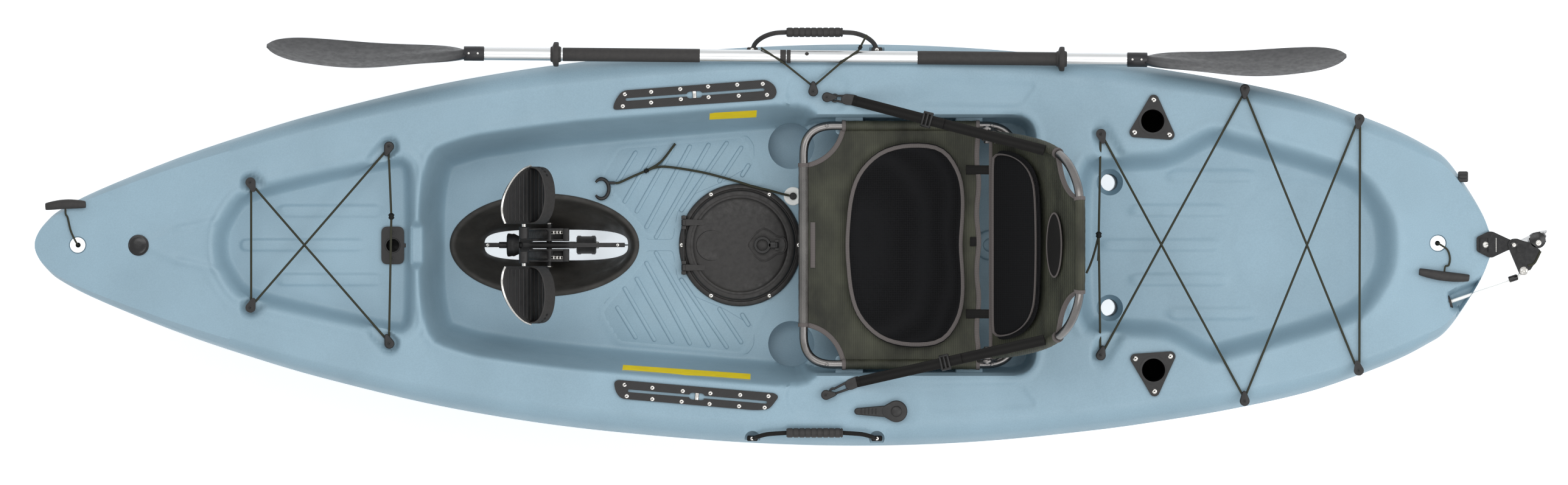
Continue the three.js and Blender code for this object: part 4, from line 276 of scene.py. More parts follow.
def hull_polyethylene():
    # Rotomoulded polyethylene: waxy and matte, faintly mottled by the powder it was melted
    # from, with a fine orange peel and pale handling scuffs
    material, tree, shader = principled("Rotomoulded_polyethylene",
                                        {"Roughness": 0.5, "IOR": 1.5})
    base = colours().hull
    soft = blotch(tree, shader, base, 0.93, 1.05, 170, 5.0)
    speck = ranged(tree, noise(tree, 2.6, 2.0), (0.35, 0.65), (0.955, 1.03))
    mixed = multiplied(tree, soft, speck)
    scuff = ranged(tree, noise(tree, 60, 8.0, (0.25, 1.6, 1), 0.7), (0.66, 0.78), (0.0, 0.22))
    pale = add_node(tree, "ShaderNodeMix", {"data_type": "RGBA", "blend_type": "MIX"})
    tree.links.new(scuff, pale.inputs[MIX_FACTOR])
    tree.links.new(mixed, pale.inputs[MIX_FIRST])
    pale.inputs[MIX_SECOND].default_value = scaled(base, 1.35)
    tree.links.new(pale.outputs[MIX_RESULT], shader.inputs["Base Color"])
    uneven(tree, shader, 0.42, 0.56, 45)
    grain(tree, shader, 3.2, 0.25, 3.0, strength=0.35)
    return material


def liner_polyethylene():
    # Carbon black polyethylene of the well lining: dull, with dusty brown smears
    material, tree, shader = principled("Moulded_liner", {"Roughness": 0.6, "IOR": 1.5,
                                                          "Specular IOR Level": 0.35})
    blotch(tree, shader, colours().liner, 0.72, 1.4, 60, 6.0, (1, 2.5, 1))
    uneven(tree, shader, 0.45, 0.75, 30)
    grain(tree, shader, 1.6, 0.2, 2.0)
    return material


def filled_nylon(name="Glass_filled_nylon", colour=None, rough=(0.38, 0.55), size=1.1):
    # Glass filled nylon: satin black with a fine spark-eroded grain
    material, tree, shader = principled(name, {"Roughness": 0.45, "IOR": 1.53,
                                               "Specular IOR Level": 0.35})
    blotch(tree, shader, colour or colours().black, 0.8, 1.25, 14, 3.0)
    uneven(tree, shader, *rough, 9)
    grain(tree, shader, size, 0.12, 2.0, strength=0.5)
    return material


def hatched_nylon():
    # The same nylon moulded with fine slanting ridges so that a mounted base grips
    material, tree, shader = principled("Ridged_nylon", {"Roughness": 0.5, "IOR": 1.53,
                                                           "Specular IOR Level": 0.35})
    blotch(tree, shader, colours().black, 0.85, 1.3, 10, 3.0)
    place = add_node(tree, "ShaderNodeTexCoord")
    turn = add_node(tree, "ShaderNodeMapping", {"Rotation": (0, 0, math.radians(45))},
                    Vector=place.outputs["Object"])
    # Ridges are 1.6 mm apart on the real plate and 3 mm here, so that they show
    ridges = add_node(tree, "ShaderNodeTexWave", {"Scale": band_scale(3.0)},
                      Vector=turn.outputs["Vector"])
    bumped(tree, shader, ridges.outputs["Fac"], 0.8, 0.4)
    return material


def lid_polypropylene():
    # Moulded polypropylene: dull warm black with light wear
    return filled_nylon("Moulded_polypropylene", colours().lid, (0.4, 0.6), 1.5)


def soft_rubber():
    # Thermoplastic rubber over-moulding: softer sheen than nylon
    material, tree, shader = principled("Thermoplastic_rubber", {"Roughness": 0.7, "IOR": 1.5})
    blotch(tree, shader, linear("262423"), 0.8, 1.2, 8, 2.0)
    grain(tree, shader, 0.9, 0.12, 2.0)
    return material


def anodised_aluminium():
    # Drawn and anodised tube: satin grey with draw lines
    material, tree, shader = principled("Anodised_tube", {"Metallic": 1.0, "Roughness": 0.3})
    blotch(tree, shader, linear("747271"), 0.88, 1.08, 30, 3.0)
    uneven(tree, shader, 0.24, 0.36, 3, 2.0, (0.2, 0.2, 1))
    grain(tree, shader, 1.2, 0.03, 2.0, (0.15, 0.15, 1), 0.3)
    return material


def paddle_aluminium():
    # Bright brushed tube, lines running along the shaft
    material, tree, shader = principled("Brushed_shaft", {"Metallic": 1.0, "Roughness": 0.3})
    blotch(tree, shader, linear("CFD1D2"), 0.94, 1.04, 5, 3.0, (0.03, 1, 1))
    uneven(tree, shader, 0.26, 0.4, 2, 2.0, (0.03, 1, 1))
    return material


def stainless_steel():
    # Pressed and tumbled stainless steel: bright with slight haze
    material, tree, shader = principled("Stainless_steel", {"Metallic": 1.0, "Roughness": 0.22})
    blotch(tree, shader, linear("C9C7C3"), 0.85, 1.1, 4, 2.0)
    uneven(tree, shader, 0.16, 0.3, 3)
    return material


def coated_mesh(name="Coated_mesh", base=None, rough=0.6, gloss=0.3, alpha=0.94):
    # Vinyl coated polyester mesh: ribbed one way, olive grey, a little see-through
    material, tree, shader = principled(name, {"Roughness": rough, "IOR": 1.5, "Alpha": alpha,
                                               "Specular IOR Level": gloss})
    base = base or colours().mesh
    patches = blotch(tree, shader, base, 0.4, 1.7, 70, 3.0, (1, 0.6, 1))
    # Ribs are 2 mm apart on the real cloth and 4 mm here, so that they show
    ribs = threads(tree, 4.0, "X")
    cross = threads(tree, 2.4, "Y")
    both = add_node(tree, "ShaderNodeMath", {"operation": "MULTIPLY_ADD", 1: 0.3},
                    i0=cross, i2=ribs).outputs["Value"]
    shade = ranged(tree, both, (0.0, 1.3), (0.62, 1.25))
    tree.links.new(multiplied(tree, patches, shade), shader.inputs["Base Color"])
    bumped(tree, shader, both, 0.9, 0.5)
    return material


def sleeve_mesh_painted_highlight():
    # The mesh drawn tight round the front tube: shiny, with a lighter brown grey base than the rest
    # of the mesh, which is a painted highlight of the tube
    return coated_mesh("Sleeve_mesh_painted_highlight", linear("55524F"), 0.36, 0.6, 1.0)


def spacer_fabric():
    # Knitted spacer fabric: black with rows of small open cells
    material, tree, shader = principled("Spacer_fabric", {"Roughness": 0.9, "IOR": 1.45,
                                                          "Specular IOR Level": 0.12})
    place = add_node(tree, "ShaderNodeTexCoord")
    cell_pitch_mm = 4.0
    cells = add_node(tree, "ShaderNodeTexVoronoi",
                     {"Scale": 1000 / cell_pitch_mm, "Randomness": 0.12, "feature": "F1"},
                     Vector=place.outputs["Object"]).outputs["Distance"]
    shaded(tree, shader, cells, scaled(colours().pad, 0.35), scaled(colours().pad, 2.1), 0.12, 0.55)
    bumped(tree, shader, cells, 1.0, 0.8)
    return material


def woven_webbing(name="Woven_webbing", colour=None, pitch=2.2):
    # Woven polyester tape: ribbed across, slightly shiny
    material, tree, shader = principled(name, {"Roughness": 0.75, "IOR": 1.45,
                                               "Specular IOR Level": 0.2})
    ribs = threads(tree, pitch, "Y", "UV")
    spots = threads(tree, pitch, "X", "UV")
    both = add_node(tree, "ShaderNodeMath", {"operation": "MULTIPLY"},
                    i0=ribs, i1=spots).outputs["Value"]
    base = colour or linear("1A1918")
    shaded(tree, shader, both, scaled(base, 0.6), scaled(base, 1.6))
    bumped(tree, shader, both, 0.9, 0.35)
    return material


def edge_binding():
    # Folded polyester tape that binds the cloth's edges
    return woven_webbing("Binding_tape", list(colours().binding), 1.8)


def braided_cord():
    # Shock cord: braided polyester sheath, near black with an olive fleck
    material, tree, shader = principled("Braided_sheath", {"Roughness": 0.7, "IOR": 1.45,
                                                           "Specular IOR Level": 0.25})
    place = add_node(tree, "ShaderNodeUVMap")
    lines = []
    for angle in (38, -38):
        turn = add_node(tree, "ShaderNodeMapping", {"Rotation": (0, 0, math.radians(angle))},
                        Vector=place.outputs["UV"])
        # Strands are 1 mm wide on the real cord and 2 mm here
        lines.append(add_node(tree, "ShaderNodeTexWave", {"Scale": band_scale(2.0)},
                              Vector=turn.outputs["Vector"]).outputs["Fac"])
    both = add_node(tree, "ShaderNodeMath", {"operation": "MAXIMUM"},
                    i0=lines[0], i1=lines[1]).outputs["Value"]
    shaded(tree, shader, both, rgba(linear("121310")), rgba(linear("3D3D30")))
    bumped(tree, shader, both, 0.9, 0.4)
    return material


def blade_plastic():
    # Glass filled polypropylene of the blades: dark grey, lightly swirled by its fibres
    material, tree, shader = principled("Filled_polypropylene", {"Roughness": 0.42, "IOR": 1.5,
                                                                   "Specular IOR Level": 0.35})
    blotch(tree, shader, colours().blade, 0.78, 1.18, 30, 5.0, (0.4, 1, 1))
    uneven(tree, shader, 0.34, 0.5, 12)
    grain(tree, shader, 1.0, 0.1, 2.0)
    return material


def gloss_black():
    # Polished nylon of the rudder's head: dark and shiny with fine scratches
    return filled_nylon("Polished_nylon", linear("151516"), (0.16, 0.3), 2.0)


def white_acetal():
    # Natural acetal: white, smooth and slightly waxy
    material, tree, shader = principled("White_acetal", {"Roughness": 0.35, "IOR": 1.48})
    blotch(tree, shader, linear("F1F1ED"), 0.94, 1.0, 12, 3.0)
    grain(tree, shader, 1.4, 0.05, 2.0)
    return material


def label_vinyl():
    # Printed vinyl film, left blank
    material, tree, shader = principled("Printed_vinyl", {"Roughness": 0.55, "IOR": 1.5,
                                                           "Specular IOR Level": 0.15})
    blotch(tree, shader, colours().label, 0.92, 1.03, 20, 3.0)
    grain(tree, shader, 1.2, 0.04, 2.0)
    return material


def painted_shade_black():
    # Painted shade: near black and rough, laid on the screws' cross recesses, in the rod holders'
    # bores and on the pedal straps' holes, where the real parts are only in shade
    material, tree, shader = principled("Painted_shade_bore", {"Roughness": 0.9, "IOR": 1.45})
    blotch(tree, shader, linear("0B0B0B"), 0.8, 1.2, 10, 2.0)
    return material


MAKERS = {
    "hull": hull_polyethylene, "liner": liner_polyethylene, "nylon": filled_nylon,
    "plate": hatched_nylon, "lid": lid_polypropylene, "rubber": soft_rubber,
    "tube": anodised_aluminium, "shaft": paddle_aluminium, "steel": stainless_steel,
    "mesh": coated_mesh, "sleeve": sleeve_mesh_painted_highlight, "spacer": spacer_fabric, "webbing": woven_webbing,
    "binding": edge_binding, "cord": braided_cord, "blade": blade_plastic,
    "gloss": gloss_black, "white": white_acetal, "label": label_vinyl, "dark": painted_shade_black,
}


def finish_named(name):
    """The material of that short name, made once"""
    if name not in finishes:
        finishes[name] = MAKERS[name]()
    return finishes[name]


# Mesh helpers

def new_piece(bm, name, body, materials, nodes=(), angle=40, merge=0.01):
    """Makes a bmesh, drawn in millimetres, the finished piece of that name"""
    bmesh.ops.remove_doubles(bm, verts=bm.verts, dist=merge)
    bmesh.ops.dissolve_degenerate(bm, dist=1e-4, edges=bm.edges)
    bmesh.ops.recalc_face_normals(bm, faces=bm.faces)
    bmesh.ops.scale(bm, vec=(MM, MM, MM), verts=bm.verts)
    mesh = bpy.data.meshes.new(name)
    bm.to_mesh(mesh)
    bm.free()
    for material in [materials] if isinstance(materials, str) else materials:
        mesh.materials.append(finish_named(material))
    mesh.shade_smooth()
    mesh.set_sharp_from_angle(angle=math.radians(angle))
    piece = bpy.data.objects.new(name, mesh)
    bpy.context.scene.collection.objects.link(piece)
    if body:
        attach(piece, body)
    if nodes:
        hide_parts(*nodes)
    return piece


def paint(bm, faces_before, index):
    """Gives the faces added since a count another of the piece's materials"""
    bm.faces.ensure_lookup_table()
    for face in bm.faces[faces_before:]:
        face.material_index = index


def rounded(points, radius, steps=4):
    """Rounds the corners of a closed outline"""
    outline = []
    for index, point in enumerate(points):
        point = Vector(point[:2])
        before = Vector(points[index - 1][:2]) - point
        after = Vector(points[(index + 1) % len(points)][:2]) - point
        reach = min(radius, before.length * 0.48, after.length * 0.48)
        if reach < 1e-6:
            outline.append(point)
            continue
        start, end = point + before.normalized() * reach, point + after.normalized() * reach
        for step in range(steps + 1):
            share = step / steps
            outline.append(start.lerp(point, share).lerp(point.lerp(end, share), share))
    return outline


def oblong(left, right, low, high, radius, steps=4):
    """A rectangle along the axes with rounded corners"""
    return rounded([(left, low), (right, low), (right, high), (left, high)], radius, steps)


def capsule(start, end, radius, steps=8):
    """A strip with round ends between two points"""
    start, end = Vector(start[:2]), Vector(end[:2])
    angle = math.atan2(end.y - start.y, end.x - start.x)
    points = []
    for centre, first in ((end, angle - math.pi / 2), (start, angle + math.pi / 2)):
        for step in range(steps + 1):
            turn = first + math.pi * step / steps
            points.append(centre + Vector((math.cos(turn), math.sin(turn))) * radius)
    return points


def plate(bm, outline, bottom, top, bevel=0.0, segments=2, both=False):
    """Raises an outline between two heights and rounds its upper edge, or both edges"""
    base = bm.faces.new([bm.verts.new((p[0], p[1], bottom)) for p in outline])
    made = bmesh.ops.extrude_face_region(bm, geom=[base])["geom"]
    lifted = [v for v in made if isinstance(v, bmesh.types.BMVert)]
    bmesh.ops.translate(bm, vec=(0, 0, top - bottom), verts=lifted)
    if bevel:
        heights = (top, bottom) if both else (top,)
        chosen = [e for e in {e for v in (*lifted, *base.verts) for e in v.link_edges}
                  if any(all(abs(v.co.z - z) < 1e-5 for v in e.verts) for z in heights)]
        bmesh.ops.bevel(bm, geom=chosen, offset=bevel, offset_type="OFFSET", segments=segments,
                        profile=0.5, affect="EDGES", material=-1, clamp_overlap=True)


def turned(bm, profile, centre=(0, 0, 0), axis=(0, 0, 1), sides=32):
    """Spins a profile of radius and height round an axis; ends on the axis are closed"""
    verts = [bm.verts.new((radius, 0, height)) for radius, height in profile]
    edges = [bm.edges.new(pair) for pair in zip(verts, verts[1:])]
    made = bmesh.ops.spin(bm, geom=verts + edges, cent=(0, 0, 0), axis=(0, 0, 1),
                          angle=2 * math.pi, steps=sides, use_merge=True, use_duplicate=False)
    reached = {v for v in made["geom_last"] if isinstance(v, bmesh.types.BMVert)} | set(verts)
    grown = set(reached)
    frontier = list(reached)
    while frontier:
        vert = frontier.pop()
        for edge in vert.link_edges:
            other = edge.other_vert(vert)
            if other not in grown:
                grown.add(other)
                frontier.append(other)
    turn = Vector((0, 0, 1)).rotation_difference(Vector(axis)).to_matrix().to_4x4()
    bmesh.ops.transform(bm, matrix=Matrix.Translation(Vector(centre)) @ turn, verts=list(grown))
    bmesh.ops.remove_doubles(bm, verts=list(grown), dist=1e-4)


def bar(bm, start, end, radius, sides=20, bevel=0.0):
    """A round bar between two points, with eased rims"""
    start, end = Vector(start), Vector(end)
    length = (end - start).length
    ease = min(bevel, length / 3, radius * 0.9)
    profile = [(0, 0), (radius - ease, 0), (radius, ease), (radius, length - ease),
               (radius - ease, length), (0, length)]
    if not ease:
        profile = [(0, 0), (radius, 0), (radius, length), (0, length)]
    turned(bm, profile, start, end - start, sides)


def frames_along(points, closed=False):
    """Two directions across the path at each point, carried along without twist"""
    count = len(points)
    tangents = []
    for index in range(count):
        before = points[index - 1] if index or closed else points[0]
        after = points[(index + 1) % count] if index + 1 < count or closed else points[-1]
        tangents.append((after - before).normalized())
    side = tangents[0].orthogonal().normalized()
    if abs(tangents[0].z) < 0.95:
        side = tangents[0].cross(Vector((0, 0, 1))).normalized()
    frames = []
    for index, tangent in enumerate(tangents):
        if index:
            turn = tangents[index - 1].rotation_difference(tangent)
            side = turn @ side
        side = (side - tangent * side.dot(tangent)).normalized()
        frames.append((side, side.cross(tangent)))
    return frames


def lattice(bm, rows, columns, place, ring=False, loop=False, uv=None):
    """A grid of faces whose vertices go where place(row, column) says; ring joins the last
    column to the first and loop joins the last row to the first"""
    made = bmesh.ops.create_grid(bm, x_segments=rows, y_segments=columns, size=1)["verts"]
    low = min(v.co.x for v in made), min(v.co.y for v in made)
    span = max(v.co.x for v in made) - low[0], max(v.co.y for v in made) - low[1]
    table, spots = {}, {}
    for vert in made:
        key = (round((vert.co.x - low[0]) / span[0] * rows),
               round((vert.co.y - low[1]) / span[1] * columns))
        table[key], spots[vert] = vert, key
    if uv:
        layer = bm.loops.layers.uv.verify()
        for face in {f for v in made for f in v.link_faces}:
            for corner in face.loops:
                corner[layer].uv = uv(*spots[corner.vert])
    for (row, column), vert in table.items():
        vert.co = place(row % rows if loop else row, column % columns if ring else column)
    welds = {}
    for (row, column), vert in table.items():
        home = (row % rows if loop else row, column % columns if ring else column)
        if home != (row, column):
            welds[vert] = table[home]
    if welds:
        bmesh.ops.weld_verts(bm, targetmap=welds)
    return table


def close_ends(bm, table, last_row, columns):
    """Closes a lattice's first and last rings"""
    for row in (0, last_row):
        bm.faces.new([table[row, column] for column in range(columns)])


def sweep(bm, points, profile, scales=None, closed=False):
    """Draws a profile along a path, with UVs in metres round it and along it"""
    points = [Vector(p) for p in points]
    frames = frames_along(points, closed)
    count, rows = len(profile), len(points) - (0 if closed else 1)
    girth, run = [0.0], [0.0]
    for index in range(count):
        girth.append(girth[-1] + (Vector(profile[index])
                                  - Vector(profile[(index + 1) % count])).length)
    for index in range(rows):
        run.append(run[-1] + (points[(index + 1) % len(points)] - points[index]).length)

    def place(row, column):
        side, up = frames[row]
        scale = scales[row] if scales else 1.0
        across, above = profile[column]
        return points[row] + side * (across * scale) + up * (above * scale)

    table = lattice(bm, rows, count, place, ring=True, loop=closed,
                    uv=lambda row, column: (girth[column] * MM, run[row] * MM))
    if not closed:
        close_ends(bm, table, rows, count)


def round_profile(radius, sides=12):
    return [(radius * math.cos(2 * math.pi * i / sides), radius * math.sin(2 * math.pi * i / sides))
            for i in range(sides)]


def flat_profile(width, thickness):
    """Section of a tape with eased edges"""
    half, thin, ease = width / 2, thickness / 2, min(thickness * 0.45, width * 0.2)
    return [(half, -thin + ease), (half, thin - ease), (half - ease, thin), (-half + ease, thin),
            (-half, thin - ease), (-half, -thin + ease), (-half + ease, -thin),
            (half - ease, -thin)]


def smooth_path(points, steps, closed=False):
    """A curve through hand-chosen points, evenly spaced"""
    points = [Vector(p) for p in points]
    dense = []
    count = len(points)
    spans = count if closed else count - 1
    for index in range(spans):
        p0 = points[index - 1] if index or closed else points[0] * 2 - points[1]
        p1, p2 = points[index], points[(index + 1) % count]
        p3 = points[(index + 2) % count] if closed or index + 2 < count else p2 * 2 - p1
        for step in range(16):
            t = step / 16
            dense.append(0.5 * ((2 * p1) + (p2 - p0) * t + (2 * p0 - 5 * p1 + 4 * p2 - p3) * t ** 2
                                + (3 * p1 - p0 - 3 * p2 + p3) * t ** 3))
    dense.append(points[0].copy() if closed else points[-1].copy())
    run = [0.0]
    for a, b in zip(dense, dense[1:]):
        run.append(run[-1] + (b - a).length)
    result = []
    total = steps if closed else steps + 1
    place = 0
    for step in range(total):
        wanted = run[-1] * step / steps
        while place + 2 < len(run) and run[place + 1] < wanted:
            place += 1
        span = run[place + 1] - run[place] or 1.0
        share = min(1.0, max(0.0, (wanted - run[place]) / span))
        result.append(dense[place].lerp(dense[place + 1], share))
    return result


def screw(bm, centre, radius, axis=(0, 0, 1), head=2.2, metal=0, recess=1):
    """A pan head with a cross recess, each in one of the piece's materials"""
    centre, axis = Vector(centre), Vector(axis).normalized()
    start = len(bm.faces)
    turned(bm, [(0, -0.6), (radius, -0.6), (radius, head * 0.35), (radius * 0.8, head * 0.8),
                (radius * 0.45, head), (0, head)], centre, axis, 18)
    paint(bm, start, metal)
    # The cross recess is two thin bars laid on the head in the recess material, a painted shade of
    # the real recess
    start = len(bm.faces)
    turn = Vector((0, 0, 1)).rotation_difference(axis).to_matrix().to_4x4()
    for angle in (0.5, 0.5 + math.pi / 2):
        made = bmesh.ops.create_cube(bm, size=1.0)["verts"]
        bmesh.ops.scale(bm, vec=(radius * 1.05, radius * 0.24, 0.5), verts=made)
        bmesh.ops.rotate(bm, cent=(0, 0, 0), matrix=Matrix.Rotation(angle, 3, "Z"), verts=made)
        bmesh.ops.transform(bm, verts=made, matrix=Matrix.Translation(centre + axis * (head - 0.15))
                            @ turn)
    paint(bm, start, recess)


# Hull

HULL_PIXELS = [
    (56, 3.5), (80, 41), (110, 64), (170, 94), (290, 143), (410, 184), (530, 219.5), (710, 263),
    (890, 294), (1070, 314), (1250, 327), (1430, 331), (1610, 324), (1790, 306.5), (1910, 290),
    (2030, 269.5), (2150, 242.5), (2240, 212), (2300, 187.5), (2345, 164), (2375, 144),
    (2405, 104.5), (2435, 54), (2450, 12),
]
# Shares of half the width and of the depth, from the keel up to the deck's edge
DECK_SHARE = 0.89
SECTION = [(0.60, 0.09), (0.83, 0.27), (0.94, 0.48), (0.985, 0.66), (1, 0.8), (0.985, 0.9),
           (0.94, 0.965), (DECK_SHARE, 1)]
FRONT_WELL = [(354, 0), (357, 25), (366, 45), (380, 68), (397, 84), (445, 101), (604, 138),
              (655, 147), (672, 140), (681, 122), (683, 60)]
FOOTWELL = [(690, 0), (691, 60), (697, 110), (708, 146), (722, 160), (760, 173), (800, 182),
            (940, 201), (1127, 217), (1285, 229), (1325, 226), (1345, 205), (1350, 150)]
REAR_WELL = [(1766, 0), (1768, 90), (1776, 128), (1795, 144), (1871, 149), (1920, 155),
             (1988, 189), (2031, 181), (2153, 148), (2233, 117), (2270, 74), (2288, 30)]
SEAT_FRONT_PIXEL, SEAT_LENGTH, SEAT_WIDTH = 1313, 484.0, 544.0
SEAT_FRONT = (SEAT_FRONT_PIXEL - MIDDLE_PIXEL) * ALONG
SEAT_REAR = SEAT_FRONT + SEAT_LENGTH
WELL_CLEARANCE, WELL_REAR_ROOM = 12.0, 34.0
FRONT_EYES = [(640, -162.1), (412.4, 103), (412.4, -102.8), (639.4, 161.9)]
REAR_EYES = [(1808.6, 182.7), (1808.2, -181.3)]
RAISED_EYES = [(2043.9, -256), (2232.2, 207), (2231, -206), (2044.3, 256)]
FOOT_RIBS = [((1042, 153), (1012, 104)), ((1073, 157), (1024, 72)), ((1103, 160), (1044, 56)),
             ((1132, 163), (1060, 30)), ((1163, 166), (1076, 13)), ((1193, 169), (1118, 58)),
             ((1217, 161), (1181, 106)), ((1229, 132), (1219, 116))]
TREAD_PANEL = [(989, 96), (989, 113), (1008, 160), (1227, 182), (1238, 167), (1240, 136),
               (1188, 105), (1140, 85), (1112, 56), (1104, 9), (1059, 9), (1056, 30), (1039, 47)]
FRONT_RIBS = [(454, 626, 56), (393, 598, 0), (454, 627, -57)]
REAR_RIBS = [(1921, 2063, 114), (1858, 2018, 57), (1811, 2005, 0), (1858, 2018, -57),
             (1921, 2063, -113)]
# Shallow insets in the deck: outline in the photo, depth, corner radius and the sides it is on
INSETS = [
    ([(1290, 150), (1304, 122), (1384, 122), (1398, 150), (1384, 186), (1304, 186)], 5, 26,
     (1, -1)),
    ([(1534, 128), (1703, 138), (1676, 174), (1502, 170)], 4, 16, (1, -1)),
    ([(1396, 640), (1500, 640), (1508, 676), (1490, 706), (1400, 700), (1386, 668)], 4, 18, (1,)),
]
# Rows of the hull's mesh: first pixel, last pixel and count, after those of the nose
ROWS = [(110, 340, 24), (340, 400, 26), (400, 640, 40), (640, 745, 64), (745, 1285, 84),
        (1285, 1350, 34), (1350, 1680, 40), (1680, 1745, 40), (1745, 1800, 26), (1800, 2240, 68),
        (2240, 2310, 28), (2310, 2360, 10), (2360, 2450, 26)]
NOSE_ROWS = 25
# How far out the deck's steepest wall runs at each place along the hull
WALLS = [(56, 20), (290, 74), (354, 78), (397, 84), (445, 101), (604, 138), (655, 147), (700, 152),
         (722, 160), (760, 173), (800, 182), (940, 201), (1127, 217), (1270, 227), (1300, 214),
         (1320, 212.4), (1700, 212.4), (1750, 160), (1795, 146), (1871, 149), (1920, 155),
         (1960, 176), (1988, 187), (2031, 181), (2153, 148), (2233, 117), (2270, 90), (2330, 60),
         (2450, 6)]
INNER_COLUMNS, WALL_COLUMNS, OUTER_COLUMNS, SIDE_COLUMNS = 40, 18, 12, 17
NOSE_START, NOSE_END = 60.0, 80.0
# How deep the eyes' pockets are at the bow and the stern, and how high the stern's bosses stand
FRONT_POCKET, REAR_POCKET, RAISED_BOSS = 16, 10, 4
# The middles of the two bungees' crossings, along the hull
FRONT_CROSSING, REAR_CROSSING = 504.5, 1906.5
# Places that the hull's openings and the fittings share, in pixels along and from the centre
SOCKET = (644, -0.6)
HATCH = (1215.6, 0)
LEASH_ANCHOR = (1303, 81)
CUP_HOLDER, SCUPPER = (1300, 164), (1825, 103.5)
ROD_HOLDERS = {"starboard": (1893.3, 203.7), "port": (1894.7, -205.3)}
HANDLE_ENDS = (1236, 1440.6)
HANDLE_SIDES = {"starboard": 321, "port": -318}
HANDLE_POCKET = 36
TOGGLE_HOLES = {"bow": (130, 0), "stern": (2361.7, 3)}
KEEPER_EYE = (1336, 252.1)
# Height of the steering rod's middle, and of the seat's plane at its front and its rear
ROD_HEIGHT = 284.0
SEAT_FRONT_HEIGHT, SEAT_REAR_HEIGHT = 272.0, 252.0


def as_array(points):
    """Places as rows of an array"""
    return np.array([tuple(p) for p in points])


def spline_table(points):
    """Places along a smooth curve through points, as the frame's outline has them"""
    dense = []
    points = [Vector(p) for p in points]
    for index in range(len(points) - 1):
        p0, p1 = points[max(0, index - 1)], points[index]
        p2, p3 = points[index + 1], points[min(len(points) - 1, index + 2)]
        for step in range(24):
            t = step / 24
            v0, v1 = (p2 - p0) * 0.5, (p3 - p1) * 0.5
            dense.append((2 * p1 - 2 * p2 + v0 + v1) * t ** 3
                         + (-3 * p1 + 3 * p2 - 2 * v0 - v1) * t ** 2 + v0 * t + p1)
    dense.append(points[-1])
    return as_array(dense)


HULL_CURVE = spline_table(HULL_PIXELS)


def half_width(pixel):
    """Half the hull's width, its bow rounded to a blunt nose"""
    curve = np.interp(pixel, HULL_CURVE[:, 0], HULL_CURVE[:, 1])
    full = np.interp(NOSE_END, HULL_CURVE[:, 0], HULL_CURVE[:, 1])
    share = np.clip((pixel - NOSE_START) / (NOSE_END - NOSE_START), 0, 1)
    return np.where(pixel < NOSE_END, full * np.sqrt(share), curve) * ACROSS


def sheer(pixel):
    """Height of the deck's flat top along the hull"""
    share = (pixel - BOW_PIXEL) / (STERN_PIXEL - BOW_PIXEL)
    forward = np.maximum(0, (0.36 - share) / 0.36)
    aft = np.maximum(0, (share - 0.7) / 0.3)
    return DECK + 40 * forward ** 2 + 6 * aft ** 2


def keel(pixel):
    """Height of the hull's lowest line, which rises at the bow and the stern"""
    x = pixel_x(pixel)
    bow = np.maximum(0, 1 - (x + HULL_LENGTH / 2) / 430)
    stern = np.maximum(0, 1 - (HULL_LENGTH / 2 - x) / 300)
    return 185 * bow ** 2.2 + 95 * stern ** 2


def soft_min(a, b, width):
    """The lower of two heights, blended where they are within a width"""
    share = np.clip(0.5 + 0.5 * (b - a) / width, 0, 1)
    return b * (1 - share) + a * share - width * share * (1 - share)


def soft_max(a, b, width):
    return -soft_min(-a, -b, width)


def mirrored(half_outline):
    """Half an outline in pixels, closed by its mirror image and smoothed, in millimetres"""
    top = [side_at(*pixels) for pixels in half_outline]
    whole = top + [Vector((p.x, -p.y)) for p in reversed(top) if abs(p.y) > 0.5]
    return as_array(smooth_path(whole, len(whole) * 5, closed=True))


def depth_inside(outline, x, y):
    """Distance to an outline, positive inside it and negative outside"""
    best = np.full(x.shape, 1e9)
    inside = np.zeros(x.shape, bool)
    for (ax, ay), (bx, by) in zip(outline, np.roll(outline, -1, axis=0)):
        ex, ey = bx - ax, by - ay
        share = np.clip(((x - ax) * ex + (y - ay) * ey) / (ex * ex + ey * ey + 1e-9), 0, 1)
        best = np.minimum(best, np.hypot(x - ax - share * ex, y - ay - share * ey))
        crosses = (ay > y) != (by > y)
        inside ^= crosses & (x < ax + (y - ay) * ex / (ey if abs(ey) > 1e-9 else 1e-9))
    return np.where(inside, best, -best)


def to_segment(start, end, x, y):
    """Distance to a straight line between two places"""
    ex, ey = end[0] - start[0], end[1] - start[1]
    share = np.clip(((x - start[0]) * ex + (y - start[1]) * ey) / (ex * ex + ey * ey + 1e-9), 0, 1)
    return np.hypot(x - start[0] - share * ex, y - start[1] - share * ey)


def dug(deck, depth, top, floor, draft, lip, fillet):
    """Sinks a recess into the deck, its wall sloping over the draft and its edges rounded"""
    slope = (top - floor) / draft
    bottom = soft_max(top - slope * depth, floor, fillet * slope)
    return soft_min(deck, bottom, lip * slope)


def bead(depth, away, width, height):
    """A low rounded rib that runs at a distance outside an outline"""
    return height * np.exp(-((depth + away) / width) ** 2)


def step(depth, width):
    """From nothing outside an outline to one inside it"""
    return 1 / (1 + np.exp(np.clip(-depth / width, -40, 40)))


